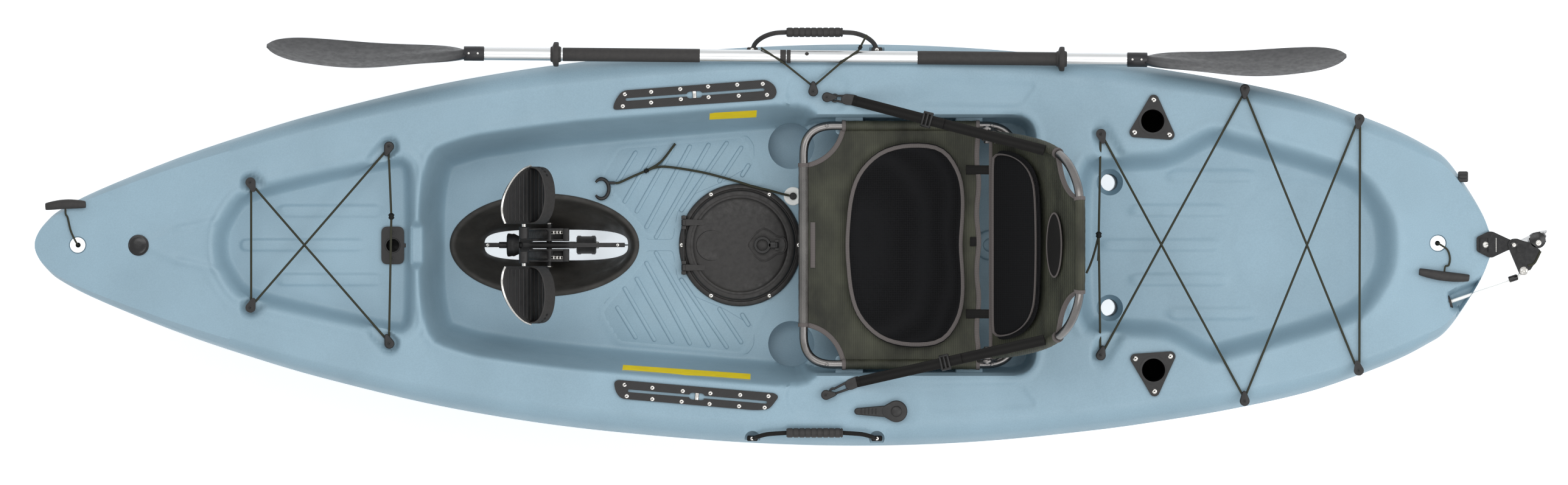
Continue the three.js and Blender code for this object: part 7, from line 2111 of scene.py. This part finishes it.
def build_crank(name, side):
    """One crank: windowed chain housing, hub, chain with its rollers, arm and pedal pin"""
    body = f"crank_arm_{name}"
    inner, outer = 8.6, 37.4
    bm = bmesh.new()
    turned(bm, [(6.5, 0), (16, 0), (21, 2), (21, 26), (16, 29), (6.5, 29), (6.5, 0)],
           (AXLE_X, side * inner, AXLE_HEIGHT), (0, side, 0), 40)

    def block(x0, x1, y0, y1, z0, z1, bevel=1.4):
        y0, y1 = sorted((side * y0, side * y1))
        box_shape(bm, (AXLE_X + x0, y0, z0), (AXLE_X + x1, y1, z1), bevel)

    # Two cheeks and end blocks leave windows over the chain
    block(-45, 45, inner, 13.5, 88, 117)
    block(-45, 45, 32, outer, 88, 117)
    block(-45, -31, inner, outer, 88, 118, 2.4)
    block(31, 45, inner, outer, 88, 118, 2.4)
    block(-4, 6, inner, outer, 90, 117.4, 2)
    block(-45, 45, inner, outer, 87, 96)
    block(-16, 14, 22, 24.4, 96, 116.4, 0.8)
    arm = bmesh.new()
    foot, head = Vector((pixel_x(889), 108.0)), Vector((PEDAL_X, PEDAL_HEIGHT))
    plate(arm, wrapped([(foot, 12), (head, 11)], 40), 13, 33, 3.2, 3, both=True)
    hollow = bmesh.new()
    lean = (head - foot).normalized()
    plate(hollow, capsule(foot + lean * 34, head - lean * 30, 5.4), 30, 60)
    add_upright(bm, cut_by(arm, hollow), side, "arm")
    bar(bm, (PEDAL_X, side * 13, PEDAL_HEIGHT), (PEDAL_X, side * 40, PEDAL_HEIGHT), 11, 32, 1.6)
    start = len(bm.faces)
    bar(bm, (PEDAL_X, side * 38, PEDAL_HEIGHT), (PEDAL_X, side * 150, PEDAL_HEIGHT), 5, 20, 1)
    # The chain: side plates and rollers, seen through the windows
    for step in range(12):
        x = AXLE_X - 40 + step * 7.2
        y = side * 28
        bar(bm, (x, y - 3.6, 111), (x, y + 3.6, 111), 2.6, 12, 0.4)
    for y in (side * 25.2, side * 30.8):
        box_shape(bm, (AXLE_X - 43, y - 0.7, 108.6), (AXLE_X + 43, y + 0.7, 113.2), 0.5, 1)
    turned(bm, [(0, 0), (8, 0), (8, 2), (6.6, 3.4), (0, 3.6)],
           (AXLE_X, side * 46.6, AXLE_HEIGHT), (0, side, 0), 6)
    paint(bm, start, 1)
    start = len(bm.faces)
    turned(bm, [(0, 0), (7.4, 0), (7.4, 2.4), (6, 3.6), (0, 3.9)],
           (AXLE_X - 37, side * 23, 117.6), (0, 0, 1), 28)
    paint(bm, start, 2)
    new_piece(bm, f"crank_{name}_assembly", body, ["nylon", "steel", "gloss"], [f"crank_{name}"],
              angle=35)


def pedal_point(x, y, z):
    """A point drawn on a level pedal round its pin, tilted as the pedal rests"""
    cos, sin = math.cos(PEDAL_TILT), math.sin(PEDAL_TILT)
    return Vector((PEDAL_X + x * cos + z * sin, y, PEDAL_HEIGHT - x * sin + z * cos))


# Fore and aft in millimetres on the level pedal, and the share of its width outwards
PEDAL_OUTLINE = [(-74, 0.02), (-82, 0.14), (-84, 0.3), (-77, 0.48), (-62, 0.66), (-42, 0.82),
                 (-18, 0.94), (6, 1), (38, 1), (56, 0.9), (63, 0.68), (66, 0.4), (64, 0.04),
                 (58, 0), (-68, 0)]


def build_pedal(name, side):
    """One pedal: ribbed plate with a bright front edge, barrel and an adjustable strap"""
    body = f"foot_pedal_{name}"
    inner, width, rise, thick = 46.0, 126.0, 7.0, 12.0
    shape = rounded([Vector((x, side * (inner + across * width))) for x, across in PEDAL_OUTLINE],
                    5, 2)
    bm = bmesh.new()
    plate(bm, shape, rise, rise + thick - 1.5, 3, 3, both=True)
    # Tread ribs across the plate
    for step in range(11):
        x = -68 + step * 12
        crossings = [(a.y + (b.y - a.y) * (x - a.x) / (b.x - a.x)) * side
                     for a, b in zip(shape, shape[1:] + shape[:1]) if (a.x > x) != (b.x > x)]
        ends = sorted(side * y for y in (min(crossings) + 8, max(crossings) - 8))
        plate(bm, capsule((x, ends[0]), (x, ends[1]), 2.6, 4), rise + thick - 4, rise + thick, 1.3)
    turned(bm, [(5.5, 0), (10, 0), (11, 1), (11, 112), (10, 113), (5.5, 113), (5.5, 0)],
           (0, side * inner, 0), (0, side, 0), 28)
    for vert in bm.verts:
        vert.co = pedal_point(*vert.co)
    start = len(bm.faces)
    rim = [pedal_point(x, side * (inner + across * width), rise + thick * 0.6)
           for x, across in PEDAL_OUTLINE[:8]]
    sweep(bm, smooth_path(rim, 48), flat_profile(5, 8))
    paint(bm, start, 1)
    start = len(bm.faces)
    top, middle, half = rise + thick, side * (inner + width / 2), width / 2 - 2
    arch = []
    for step in range(33):
        turn = math.pi * step / 32
        arch.append((middle + half * math.cos(turn) * side,
                     top - 6 + 48 * math.sin(turn) ** 0.7))
    strap_path = [pedal_point(18, y, z) for y, z in arch]
    along = (pedal_point(1, 0, 0) - pedal_point(0, 0, 0)).normalized()
    rows = len(strap_path) - 1
    profile = flat_profile(34, 3.2)

    def place(row, column):
        before, after = strap_path[max(0, row - 1)], strap_path[min(rows, row + 1)]
        normal = along.cross(after - before).normalized()
        return strap_path[row] + along * profile[column][0] + normal * profile[column][1]

    table = lattice(bm, rows, len(profile), place, ring=True,
                    uv=lambda r, c: (c * 0.006, r * 0.005))
    close_ends(bm, table, rows, len(profile))
    paint(bm, start, 2)
    start = len(bm.faces)
    # Adjuster holes and the stud near the strap's outer end, drawn as near black discs on the strap
    # whose dark is painted shade of the holes
    for step in range(4):
        row = 2 + step * 2
        centre = strap_path[row]
        normal = along.cross(strap_path[row + 1] - strap_path[row - 1]).normalized()
        outward = normal if (centre + normal - pedal_point(18, middle, 0)).length > (
            centre - pedal_point(18, middle, 0)).length else -normal
        turned(bm, [(0, 1.2), (3.2, 1.2), (3.2, 1.9), (0, 2.0)], centre, outward, 16)
    paint(bm, start, 3)
    new_piece(bm, f"pedal_{name}_assembly", body, ["nylon", "steel", "rubber", "dark"],
              [f"pedal_{name}"], angle=38)


def build_fin(name, mast):
    """One flexible fin on its mast: foil section, ribbed root and drum"""
    length, chord, tip, thick = 440.0, 122.0, 50.0, 9.0
    tip_starts = 0.93
    rows, columns = 34, 28

    def place(row, column):
        share = row / rows
        here = chord + (tip - chord) * share ** 1.4
        half = thick / 2 * (1 - 0.6 * share)
        past = max(0, (share - tip_starts) / 0.07)
        round_off = math.sqrt(max(0.0, 1 - past ** 2))
        turn = 2 * math.pi * column / columns
        along = 0.5 - 0.5 * math.cos(turn)
        foil = 1.55 * math.sqrt(along) * (1 - along) + 0.06 * (1 - along)
        y = half * min(1.0, foil) * (1 if turn <= math.pi else -1)
        centre = mast - 8 + here / 2
        x = centre + (along - 0.5) * here * (0.35 + 0.65 * round_off)
        z = MAST_HEIGHT - 24 - (length - 24) * share
        return Vector((x, y * (0.5 + 0.5 * round_off), z))

    bm = bmesh.new()
    table = lattice(bm, rows, columns, place, ring=True)
    close_ends(bm, table, rows, columns)
    bar(bm, (mast, 0, MAST_HEIGHT - length * 0.6), (mast, 0, MAST_HEIGHT - 10), 7, 20, 2)
    for step in range(3):
        z = MAST_HEIGHT - 60 - step * 90
        turned(bm, [(0, -2), (8.2, -2), (8.2, 2), (0, 2)], (mast, 0, z), (0, 0, 1), 20)
    turned(bm, [(5.5, 0), (17, 0), (21, 2.6), (21, 9), (19.6, 11), (19.6, 33), (21, 35), (21, 41.4),
                (17, 44), (5.5, 44), (5.5, 0)], (mast - 22, 0, MAST_HEIGHT), (1, 0, 0), 40)
    new_piece(bm, f"fin_{name}_blade", f"{name}_fin", "rubber", [f"fin_{name}"],
              angle=45)


# Steering

# The rudder's pivot and head, how far the blade is turned at rest, the rod's bolt, and the
# height of the pin that the blade kicks up about
RUDDER_PIVOT = (2485.2, 0.3)
RUDDER_HEAD = (2524, 8)
RUDDER_YAW = math.radians(33)
ROD_BOLT = (2501.4, -42.6)
KICK_HEIGHT = 275
# Half the gap between the yoke's cheeks, and a cheek's thickness with the play beside it
YOKE_HALF, CHEEK = 7.5, 6


def build_lever():
    """The steering lever in its shallow recess, with a plain round cap"""
    base = corners("steering_lever")[0].z
    place, tip = side_at(1472.5, -273), side_at(1409, -273)
    bm = bmesh.new()
    plate(bm, wrapped([(place, 24), (place + Vector((-18, 0)), 15)], 40), base, base + 12.6, 3, 3)
    plate(bm, wrapped([(place, 15), (tip, 7.5)], 30), base + 1, base + 12, 3, 3)
    turned(bm, [(0, 10), (12.4, 10), (12.4, 12.6), (11.2, 13.4), (11, 15), (9.6, 16), (0, 16.3)],
           raised(place, base), sides=40)
    for step in range(5):
        x = tip.x + 8 + step * 8
        plate(bm, capsule((x, tip.y - 5.5), (x, tip.y + 5.5), 1.4, 4), base + 10, base + 13, 0.8, 1)
    new_piece(bm, "steering_lever_grip", "lever", "nylon", ["steering_lever"])


def build_rudder():
    """Bracket, tiller, linkage rod and the blade that swings and kicks up"""
    base = DECK + 6 + GAP
    pivot = side_at(*RUDDER_PIVOT)
    outline = [side_at(*p) for p in ((2424.5, 12.7), (2444, 22.4), (2450.5, 22.4), (2480, 8.7),
                                     (2492, 6), (2494, -3), (2475, -9), (2450, -20.9),
                                     (2444, -20.3), (2424.5, -10))]
    bm = bmesh.new()
    plate(bm, rounded(outline, 4, 3), base, base + 8, 1.6, 3)
    turned(bm, [(0, 0), (10.5, 0), (10.5, 8), (5.5, 8), (5.5, 17.2), (8.5, 17.2), (8.5, 18.6),
                (7.2, 19.6), (0, 19.8)], raised(pivot, base), sides=32)
    middle = at(2452, 402.5)
    for x in (middle.x - 30, middle.x - 12, middle.x + 6):
        plate(bm, capsule((x, middle.y - 15), (x, middle.y + 15), 1.5, 4), base + 7, base + 9.2,
              0.8, 1)
    start = len(bm.faces)
    turned(bm, [(0, 7), (7.6, 7), (7.6, 9), (5.6, 11.4), (3.2, 12), (2.9, 10.4), (0, 10.4)],
           raised(at(2439, 402.2), base), sides=28)
    turned(bm, [(0, 19.6), (4.6, 19.6), (4.2, 20.9), (0, 21.2)], raised(pivot, base), sides=24)
    paint(bm, start, 1)
    new_piece(bm, "rudder_mount", HULL, ["gloss", "steel"], ["rudder_bracket"])

    tiller_low = base + 8 + 0.4
    outline = [side_at(*p) for p in ((2475, 2), (2480, 10), (2490, 11), (2500, 7), (2512, 4),
                                     (2530, -9.3), (2522, -26), (2510, -44.5), (2501, -50.5),
                                     (2494, -47), (2478, -9))]
    head = side_at(*RUDDER_HEAD)
    way = Vector((math.cos(RUDDER_YAW), math.sin(RUDDER_YAW)))
    across = Vector((-way.y, way.x))
    bolt = side_at(*ROD_BOLT)
    bm = bmesh.new()
    plate(bm, rounded(outline, 5, 3), tiller_low, tiller_low + 8, 1.6, 3)
    cutter = bmesh.new()
    turned(cutter, [(0, -5), (6.2, -5), (6.2, 20), (0, 20)], raised(pivot, tiller_low), sides=32)
    bm = cut_by(bm, cutter)
    turned(bm, [(0, 0), (17, 0), (18, 1), (18, 7), (16.6, 8), (0, 8)], raised(head, tiller_low),
           sides=40)
    for side in (-1, 1):
        inner = YOKE_HALF + 0.6
        corners_xy = [head + way * a + across * side * c for a, c in
                      ((-15, inner), (15, inner), (15, inner + 5.6), (-15, inner + 5.6))]
        if side < 0:
            corners_xy.reverse()
        plate(bm, rounded(corners_xy, 2, 2), 262, tiller_low + 3, 1, 2)
    outer = YOKE_HALF + 0.4 + CHEEK
    bar(bm, raised(head - across * outer, KICK_HEIGHT), raised(head + across * outer, KICK_HEIGHT),
        4, 20, 0.6)
    for side in (-1, 1):
        turned(bm, [(0, 0), (6.4, 0), (6.4, 2), (4, 3.4), (0, 3.6)],
               raised(head + across * side * outer, KICK_HEIGHT),
               (across.x * side, across.y * side, 0), 20)
    stop = at(2496, 406)
    plate(bm, oblong(stop.x - 8, stop.x + 8, stop.y - 11, stop.y + 4, 3, 3), tiller_low + 6,
          tiller_low + 11, 1.4, 2)
    # The rod's bolt and the head's, a white ring and a short cord
    start = len(bm.faces)
    bar(bm, raised(bolt, 276), raised(bolt, tiller_low + 8), 3.4, 20, 0.5)
    turned(bm, [(0, 7.6), (9.4, 7.6), (9.4, 8.6), (7.4, 10.4), (4.6, 11.4), (3, 10), (0, 10)],
           raised(bolt, tiller_low), sides=32)
    turned(bm, [(0, 7.8), (6.6, 7.8), (6, 9.6), (2.6, 10), (0, 9.2)],
           raised(at(2525.5, 399), tiller_low), sides=24)
    paint(bm, start, 1)
    start = len(bm.faces)
    turned(bm, [(3.2, 0), (6.4, 0), (6.4, 2.4), (3.2, 2.4), (3.2, 0)],
           raised(at(2511.5, 448.5), tiller_low + 7), sides=24)
    paint(bm, start, 2)
    start = len(bm.faces)
    cord = [at(2529, 412.7), at(2518.5, 432.6), at(2508, 436.5)]
    sweep(bm, smooth_path([raised(p, tiller_low + 10) for p in cord], 16), round_profile(2.4, 10))
    paint(bm, start, 3)
    new_piece(bm, "rudder_yoke", "tiller", ["gloss", "steel", "white", "cord"], ["rudder_tiller"])

    # The blade's leading and trailing edges, by how far below its pivot they are
    depths, leads, trails = zip((14, -20, 21), (50, -24, 34), (110, -25, 41), (240, -23, 38),
                                (330, -18, 28), (360, -8, 14))
    top, bottom = depths[0], depths[-1]
    root_half, tip_half = 7.3, 2.5
    rows, columns = 30, 28

    def place(row, column):
        down = top + (bottom - top) * row / rows
        lead = float(np.interp(down, depths, leads))
        trail = float(np.interp(down, depths, trails))
        thick = root_half + (tip_half - root_half) * down / bottom
        turn = 2 * math.pi * column / columns
        along = 0.5 - 0.5 * math.cos(turn)
        foil = min(1.0, 1.9 * math.sqrt(along) * (1 - along) + 0.15)
        y = thick * foil * (1 if turn <= math.pi else -1) * (0 if along in (0.0, 1.0) else 1)
        p = head + way * (lead + (trail - lead) * along) + across * y
        return raised(p, KICK_HEIGHT - down)

    bm = bmesh.new()
    table = lattice(bm, rows, columns, place, ring=True)
    close_ends(bm, table, rows, columns)
    turned(bm, [(0, 0), (22, 0), (25, 2), (25, 12.6), (22, 14.6), (0, 14.6)],
           raised(head - across * root_half, KICK_HEIGHT), (across.x, across.y, 0), 48)
    new_piece(bm, "rudder_foil", "blade", "gloss", ["rudder_blade"], angle=40)

    start_xy, end_xy = side_at(2340, -108), side_at(2484, -58.5)
    line = [raised(p, ROD_HEIGHT) for p in (start_xy, start_xy.lerp(end_xy, 0.5), end_xy, bolt)]
    bm = bmesh.new()
    sweep(bm, smooth_path(line, 30), round_profile(3.8, 16))
    start = len(bm.faces)
    turned(bm, [(3.9, -4.5), (8, -4.5), (9, -3.4), (9, 3.4), (8, 4.5), (3.9, 4.5), (3.9, -4.5)],
           raised(bolt, ROD_HEIGHT), sides=32)
    fitting = end_xy.lerp(bolt, 0.3)
    rod_way = Vector((end_xy.x - start_xy.x, end_xy.y - start_xy.y, 0)).normalized()
    turned(bm, [(3.9, 0), (6.4, 0), (7, 1.2), (7, 18), (6, 20), (3.9, 20), (3.9, 0)],
           (fitting.x - rod_way.x * 14, fitting.y - rod_way.y * 14, ROD_HEIGHT), rod_way, 24)
    paint(bm, start, 1)
    new_piece(bm, "steering_pushrod", "link_rod", ["white", "gloss"], ["steering_rod"])


# Paddle

PADDLE_FORE, PADDLE_AFT = (796, 314.2), (1851, 304.4)
PADDLE_HEIGHT = 310.8
SHAFT_RADIUS = 14
SLEEVE_LENGTH = 44 / ALONG
BLADE_TILT = math.radians(68)
HALF_BLADE = 84
BUTTON_PIXEL = 1325.5


def paddle_line():
    """The shaft's start, its direction in plan and the direction across it"""
    fore, aft = side_at(*PADDLE_FORE), side_at(*PADDLE_AFT)
    way = (aft - fore).normalized()
    return fore, way, Vector((-way.y, way.x))


def paddle_point(along, across=0.0, rise=0.0):
    """A place by its pixel along the shaft and its distances across it and above it"""
    fore, way, normal = paddle_line()
    place = fore + way * ((along - PADDLE_FORE[0]) * ALONG / way.x) + normal * across
    return raised(place, PADDLE_HEIGHT + rise)


def along_shaft(bm, profile, first, sides=40):
    """Turns a profile about the shaft, its heights in pixels from a place along it"""
    start, end = paddle_point(first), paddle_point(first + 100)
    way = (end - start).normalized()
    turned(bm, [(radius, run * ALONG) for radius, run in profile], start, way, sides)


def build_shaft(name, node, body, first, last, ring, grip):
    """One half of the shaft with its drip ring and grip, and the aft half's plug and button"""
    bm = bmesh.new()
    length = last - first
    along_shaft(bm, [(11.8, 0), (13.6, 0), (14, 0.3), (14, length - 0.3), (13.6, length),
                     (11.8, length), (11.8, 0)], first)
    start = len(bm.faces)
    grip_length = grip[1] - grip[0]
    along_shaft(bm, [(14, 0), (14.6, 0.3), (14.9, 1.2), (14.9, grip_length - 1.2),
                     (14.6, grip_length - 0.3), (14, grip_length), (14, 0)], grip[0])
    half = 14 / 2 / ALONG
    along_shaft(bm, [(14, -half - 4), (16.4, -half - 3.6), (17.4, -half - 1), (22, -half * 0.95),
                     (26.2, -half * 0.75), (27.2, -half * 0.3), (27.2, half * 0.4),
                     (26, half * 0.8), (22, half * 0.55), (18, half * 0.8), (16.8, half + 2),
                     (15.6, half + 3), (14, half + 3), (14, -half - 4)], ring)
    paint(bm, start, 1)
    if body == HULL:
        start = len(bm.faces)
        along_shaft(bm, [(14, 0), (14.7, 0.2), (14.7, 9), (14, 9.4), (14, 0)], length + first - 10)
    else:
        plug = 60 / ALONG
        along_shaft(bm, [(0, 0), (11, 0), (11, plug), (0, plug)], first - 44.6, 32)
        start = len(bm.faces)
        turned(bm, [(0, 0), (4.2, 0), (4.2, 1.6), (3, 2.8), (0, 3)],
               paddle_point(BUTTON_PIXEL, 5.5, 12.2), (0, 0.42, 0.9), 20)
        along_shaft(bm, [(14, 0), (14.7, 0.2), (14.7, 6), (14, 6.3), (14, 0)], first + 0.3)
    paint(bm, start, 1)
    new_piece(bm, name, body, ["shaft", "rubber"], [node], angle=35)


# Width of the blade and its curve away from the shaft, along it from the sleeve to the tip
BLADE_SHARES = [(0, 0.16), (0.05, 0.42), (0.13, 0.6), (0.3, 0.76), (0.47, 0.92), (0.6, 0.99),
                (0.74, 0.97), (0.87, 0.84), (0.96, 0.52), (1, 0.12)]
BLADE_CURVE = [(0, 0), (0.2, -2), (0.45, -6), (0.62, -3.5), (0.85, 6), (1, 14)]


def build_blade(name, node, body, end, tip):
    """A spooned, dihedral blade with its spine and sleeve"""
    way = 1 if tip > end else -1
    sleeve = end + way * SLEEVE_LENGTH

    def curve_of(table):
        path = smooth_path([Vector((s * 10, value, 0)) for s, value in table], 60)
        return [p.x for p in path], [p.y for p in path]

    widths, lifts = curve_of(BLADE_SHARES), curve_of(BLADE_CURVE)
    rows, columns = 52, 30
    root_thick, thin_thick = 20, 6

    def place(row, column):
        share = (row / rows) ** 1.1
        width = float(np.interp(share * 10, *widths))
        along = (sleeve - way * 6) + (tip - sleeve + way * 6) * share
        turn = 2 * math.pi * column / columns
        side, face = math.cos(turn), math.sin(turn)
        thick = (root_thick + (thin_thick - root_thick) * min(1, share * 3)) / 2
        thin = thick * (1 - 0.7 * abs(side) ** 3)
        spine = 3.2 * math.exp(-(side / 0.16) ** 2) * max(0, 1 - share * 1.15) * (face > 0)
        lift = float(np.interp(share * 10, *lifts))
        deep = face * thin + lift + 9 * width * side ** 2 - 9 * width + spine
        wide = HALF_BLADE * width * side
        return paddle_point(along, -wide * math.cos(BLADE_TILT) + deep * math.sin(BLADE_TILT),
                            wide * math.sin(BLADE_TILT) + deep * math.cos(BLADE_TILT))

    bm = bmesh.new()
    table = lattice(bm, rows, columns, place, ring=True)
    close_ends(bm, table, rows, columns)
    reach = SLEEVE_LENGTH
    first = end + 0.3 if way > 0 else end - reach - 0.3
    along_shaft(bm, [(0, 0), (15.2, 0), (16, 0.6), (16, reach - 0.6), (15.2, reach), (0, reach)],
                first, 36)
    plug = 40 / ALONG
    along_shaft(bm, [(0, 0), (11, 0), (11, plug), (0, plug)], end - plug if way > 0 else end, 24)
    start = len(bm.faces)
    for shift in (0.25, 0.7):
        turned(bm, [(0, 0), (2.6, 0), (2.2, 1.2), (0, 1.4)],
               paddle_point(first + reach * shift, 0, 15.4), sides=14)
    paint(bm, start, 1)
    new_piece(bm, name, body, ["blade", "steel"], [node], angle=60)


def build_paddle():
    """The two-part paddle on the starboard deck and the bungee that keeps it there"""
    first, last = PADDLE_FORE[0], PADDLE_AFT[0]
    build_shaft("paddle_fore_tube", "paddle_shaft_fore", HULL, first, 1291.8, 914, (925, 1150))
    build_shaft("paddle_aft_tube", "paddle_shaft_aft", "paddle_aft_half", 1292.3, last, 1744,
                (1507, 1739))
    build_blade("paddle_fore_blade", "paddle_blade_fore", HULL, first, 439.3)
    build_blade("paddle_aft_blade", "paddle_blade_aft", "paddle_aft_half", last, 2210.7)
    eye = {"place": side_at(*KEEPER_EYE), "nose": Vector((0, 1)),
           "floor": corners("keeper_eye")[0].z - GAP}
    cord_radius = 2.3
    over = SHAFT_RADIUS + cord_radius + 1.2
    start, end = side_at(1254.5, 320.7), side_at(1410.6, 319.7)
    fore, _, normal = paddle_line()

    def leg(outer, inner):
        """The cord's run over the shaft, from an outer place to an inner one"""
        far, near = (outer - fore).dot(normal), (inner - fore).dot(normal)
        points = []
        for share in (0.98, 0.85, 0.7, 0.36, 0, -0.36, -0.7, -0.85, -0.98):
            place = outer.lerp(inner, (far - over * share) / (far - near))
            points.append(raised(place, PADDLE_HEIGHT + over * math.sqrt(1 - share ** 2)))
        return points

    eye["before"] = (start - eye["place"]).normalized()
    low = corners("paddle_keeper_bungee")[0]
    out = leg(start, side_at(1333, 268.1))
    back = leg(end, side_at(1339, 268.1))[::-1]
    tail = [raised(side_at(a, s), PADDLE_HEIGHT + up)
            for a, s, up in ((1418, 334, 9), (1424, 344.7, 5))]
    foot = Vector((out[0].x, out[0].y + 1, low.z + cord_radius))
    path = smooth_path([foot, *out, *round_post(eye), *back[:-1], *tail], 160)
    bm = bmesh.new()
    sweep(bm, path, round_profile(cord_radius, 10))
    knot(bm, path[-14], path[-13] - path[-14], 5)
    new_piece(bm, "paddle_keeper_cord", HULL, "cord", ["paddle_keeper_bungee"],
              angle=60)


# Stage

FLOOR_HEIGHT = -480.0


def build_stage():
    """Camera, soft lights, a white world to the camera and a pale floor"""
    scene = bpy.context.scene
    camera = bpy.data.objects.new("Camera", bpy.data.cameras.new("Camera"))
    camera.data.lens, camera.data.sensor_width = 200, 36
    camera.data.clip_end = 100
    camera.location = (0.0468, 0.0056, 19.42)
    scene.collection.objects.link(camera)
    scene.camera = camera

    world = bpy.data.worlds.new("Studio")
    scene.world = world
    world.use_nodes = True
    tree = world.node_tree
    tree.nodes.clear()
    path = tree.nodes.new("ShaderNodeLightPath")
    first = add_node(tree, "ShaderNodeMath", {"operation": "MAXIMUM"},
                     i0=path.outputs["Is Camera Ray"], i1=path.outputs["Is Transmission Ray"])
    both = add_node(tree, "ShaderNodeMath", {"operation": "MAXIMUM"},
                    i0=first.outputs["Value"], i1=path.outputs["Is Glossy Ray"])
    fill = add_node(tree, "ShaderNodeBackground",
                    {"Color": rgba(linear("F4F7FA")), "Strength": 0.68})
    white = add_node(tree, "ShaderNodeBackground", {"Color": (1, 1, 1, 1), "Strength": 1.0})
    mix = add_node(tree, "ShaderNodeMixShader", i0=both.outputs["Value"],
                   i1=fill.outputs["Background"], i2=white.outputs["Background"])
    add_node(tree, "ShaderNodeOutputWorld", Surface=mix.outputs["Shader"])
    scene.view_settings.view_transform = "Standard"

    for name, place, size, power in (("Key", (-0.4, 2.0, 5.6), (6.5, 2.2), 112),
                                     ("Fill", (1.2, -2.2, 5.0), (6.5, 2.2), 98),
                                     ("End", (4.2, 0.2, 3.4), (2.0, 3.0), 48)):
        lamp = bpy.data.lights.new(name, "AREA")
        lamp.shape, lamp.size, lamp.size_y, lamp.energy = "RECTANGLE", size[0], size[1], power
        light = bpy.data.objects.new(name, lamp)
        light.location = place
        aim = Vector((0, 0, 0.2)) - Vector(place)
        light.rotation_euler = aim.to_track_quat("-Z", "Y").to_euler()
        scene.collection.objects.link(light)

    bm = bmesh.new()
    bmesh.ops.create_grid(bm, x_segments=8, y_segments=8, size=14000)
    for vert in bm.verts:
        vert.co.z = FLOOR_HEIGHT
    bmesh.ops.scale(bm, vec=(MM, MM, MM), verts=bm.verts)
    mesh = bpy.data.meshes.new("Floor")
    bm.to_mesh(mesh)
    bm.free()
    mesh.materials.append(studio_floor())
    floor = bpy.data.objects.new("Floor", mesh)
    scene.collection.objects.link(floor)


def studio_floor():
    """The floor's material"""
    # Painted studio floor: white to the camera, faintly mottled, and it keeps the shadow
    material, tree, shader = principled("Studio_floor", {"Roughness": 0.9, "IOR": 1.45})
    white = shaded(tree, shader, noise(tree, 900, 2.0), rgba(linear("FBFBFB")),
                   rgba(linear("FFFFFF")))
    tree.links.new(white, shader.inputs["Emission Color"])
    shader.inputs["Emission Strength"].default_value = 0.3
    return material


# Operators and panel

def operator(name, label, words, work):
    """An operator class whose execute runs one builder"""

    def execute(self, context):
        work()
        return {"FINISHED"}

    return type(name, (bpy.types.Operator,), {
        "bl_idname": "kayak." + label.lower().replace(" ", "_"), "bl_label": label,
        "__doc__": words, "bl_options": {"REGISTER", "UNDO"}, "execute": execute})


def build_drive():
    """The drive's well lining, spine, cranks, pedals and fins"""
    build_liner()
    build_spine()
    for name, side in (("starboard", 1), ("port", -1)):
        build_crank(name, side)
        build_pedal(name, side)
    for name, mast in zip(("front", "rear"), MASTS):
        build_fin(name, mast)


def build_hatch():
    """The deck hatch: ring, lid and latch"""
    build_hatch_ring()
    build_hatch_lid()
    build_hatch_latch()


def build_fittings():
    """The moulded fittings that are screwed to the deck"""
    build_socket()
    build_rod_holders()
    build_gear_plates()
    build_eyes()
    build_handles()


def build_cords():
    """Everything of cord but the paddle's keeper"""
    tree = hull_top()
    build_toggles(tree)
    build_leash()
    build_bungees()


def build_seat():
    """The seat: both frames, both meshes, the cushions and the side straps"""
    build_seat_frame()
    build_back_frame()
    build_seat_sling()
    build_back_sling()
    build_pads()
    build_straps()


def build_steering():
    """The lever, the rudder with its rod, and the marks on the hull"""
    tree = hull_top()
    build_lever()
    build_rudder()
    build_marks(tree)


OPERATORS = [
    operator("KAYAK_OT_stage", "Stage", "Set up the camera, the lights and the floor", build_stage),
    operator("KAYAK_OT_hull", "Hull", "Build the moulded hull", build_hull),
    operator("KAYAK_OT_cords", "Cords", "Build the bungees, the toggles and the leash",
             build_cords),
    operator("KAYAK_OT_hatch", "Hatch", "Build the deck hatch", build_hatch),
    operator("KAYAK_OT_fittings", "Deck fittings", "Build the fittings on the deck",
             build_fittings),
    operator("KAYAK_OT_seat", "Seat", "Build the seat, its pads and its straps", build_seat),
    operator("KAYAK_OT_drive", "Drive", "Build the pedal drive and its well", build_drive),
    operator("KAYAK_OT_steering", "Steering", "Build the lever, the rudder and the marks",
             build_steering),
    operator("KAYAK_OT_paddle", "Paddle", "Build the paddle and its keeper", build_paddle),
]


class KAYAK_PT_panel(bpy.types.Panel):
    """Lists the kayak's builders with its sizes and colours"""

    bl_label = "Pedal kayak"
    bl_space_type = "VIEW_3D"
    bl_region_type = "UI"
    bl_category = "Kayak"

    def draw(self, context):
        for group in (context.scene.kayak_sizes, context.scene.kayak_colours):
            for name in group.bl_rna.properties.keys():
                if name not in ("rna_type", "name"):
                    self.layout.prop(group, name)
        for kind in OPERATORS:
            self.layout.operator(kind.bl_idname)


CLASSES = [KayakSizes, KayakColours, *OPERATORS, KAYAK_PT_panel]


def register():
    for kind in CLASSES:
        bpy.utils.register_class(kind)
    bpy.types.Scene.kayak_sizes = PointerProperty(type=KayakSizes)
    bpy.types.Scene.kayak_colours = PointerProperty(type=KayakColours)


def unregister():
    del bpy.types.Scene.kayak_sizes
    del bpy.types.Scene.kayak_colours
    for kind in reversed(CLASSES):
        bpy.utils.unregister_class(kind)


def main():
    register()
    for kind in OPERATORS:
        group, name = kind.bl_idname.split(".")
        if getattr(getattr(bpy.ops, group), name)() != {"FINISHED"}:
            raise RuntimeError(f"{kind.bl_label} was not finished")


if __name__ == "__main__":
    main()
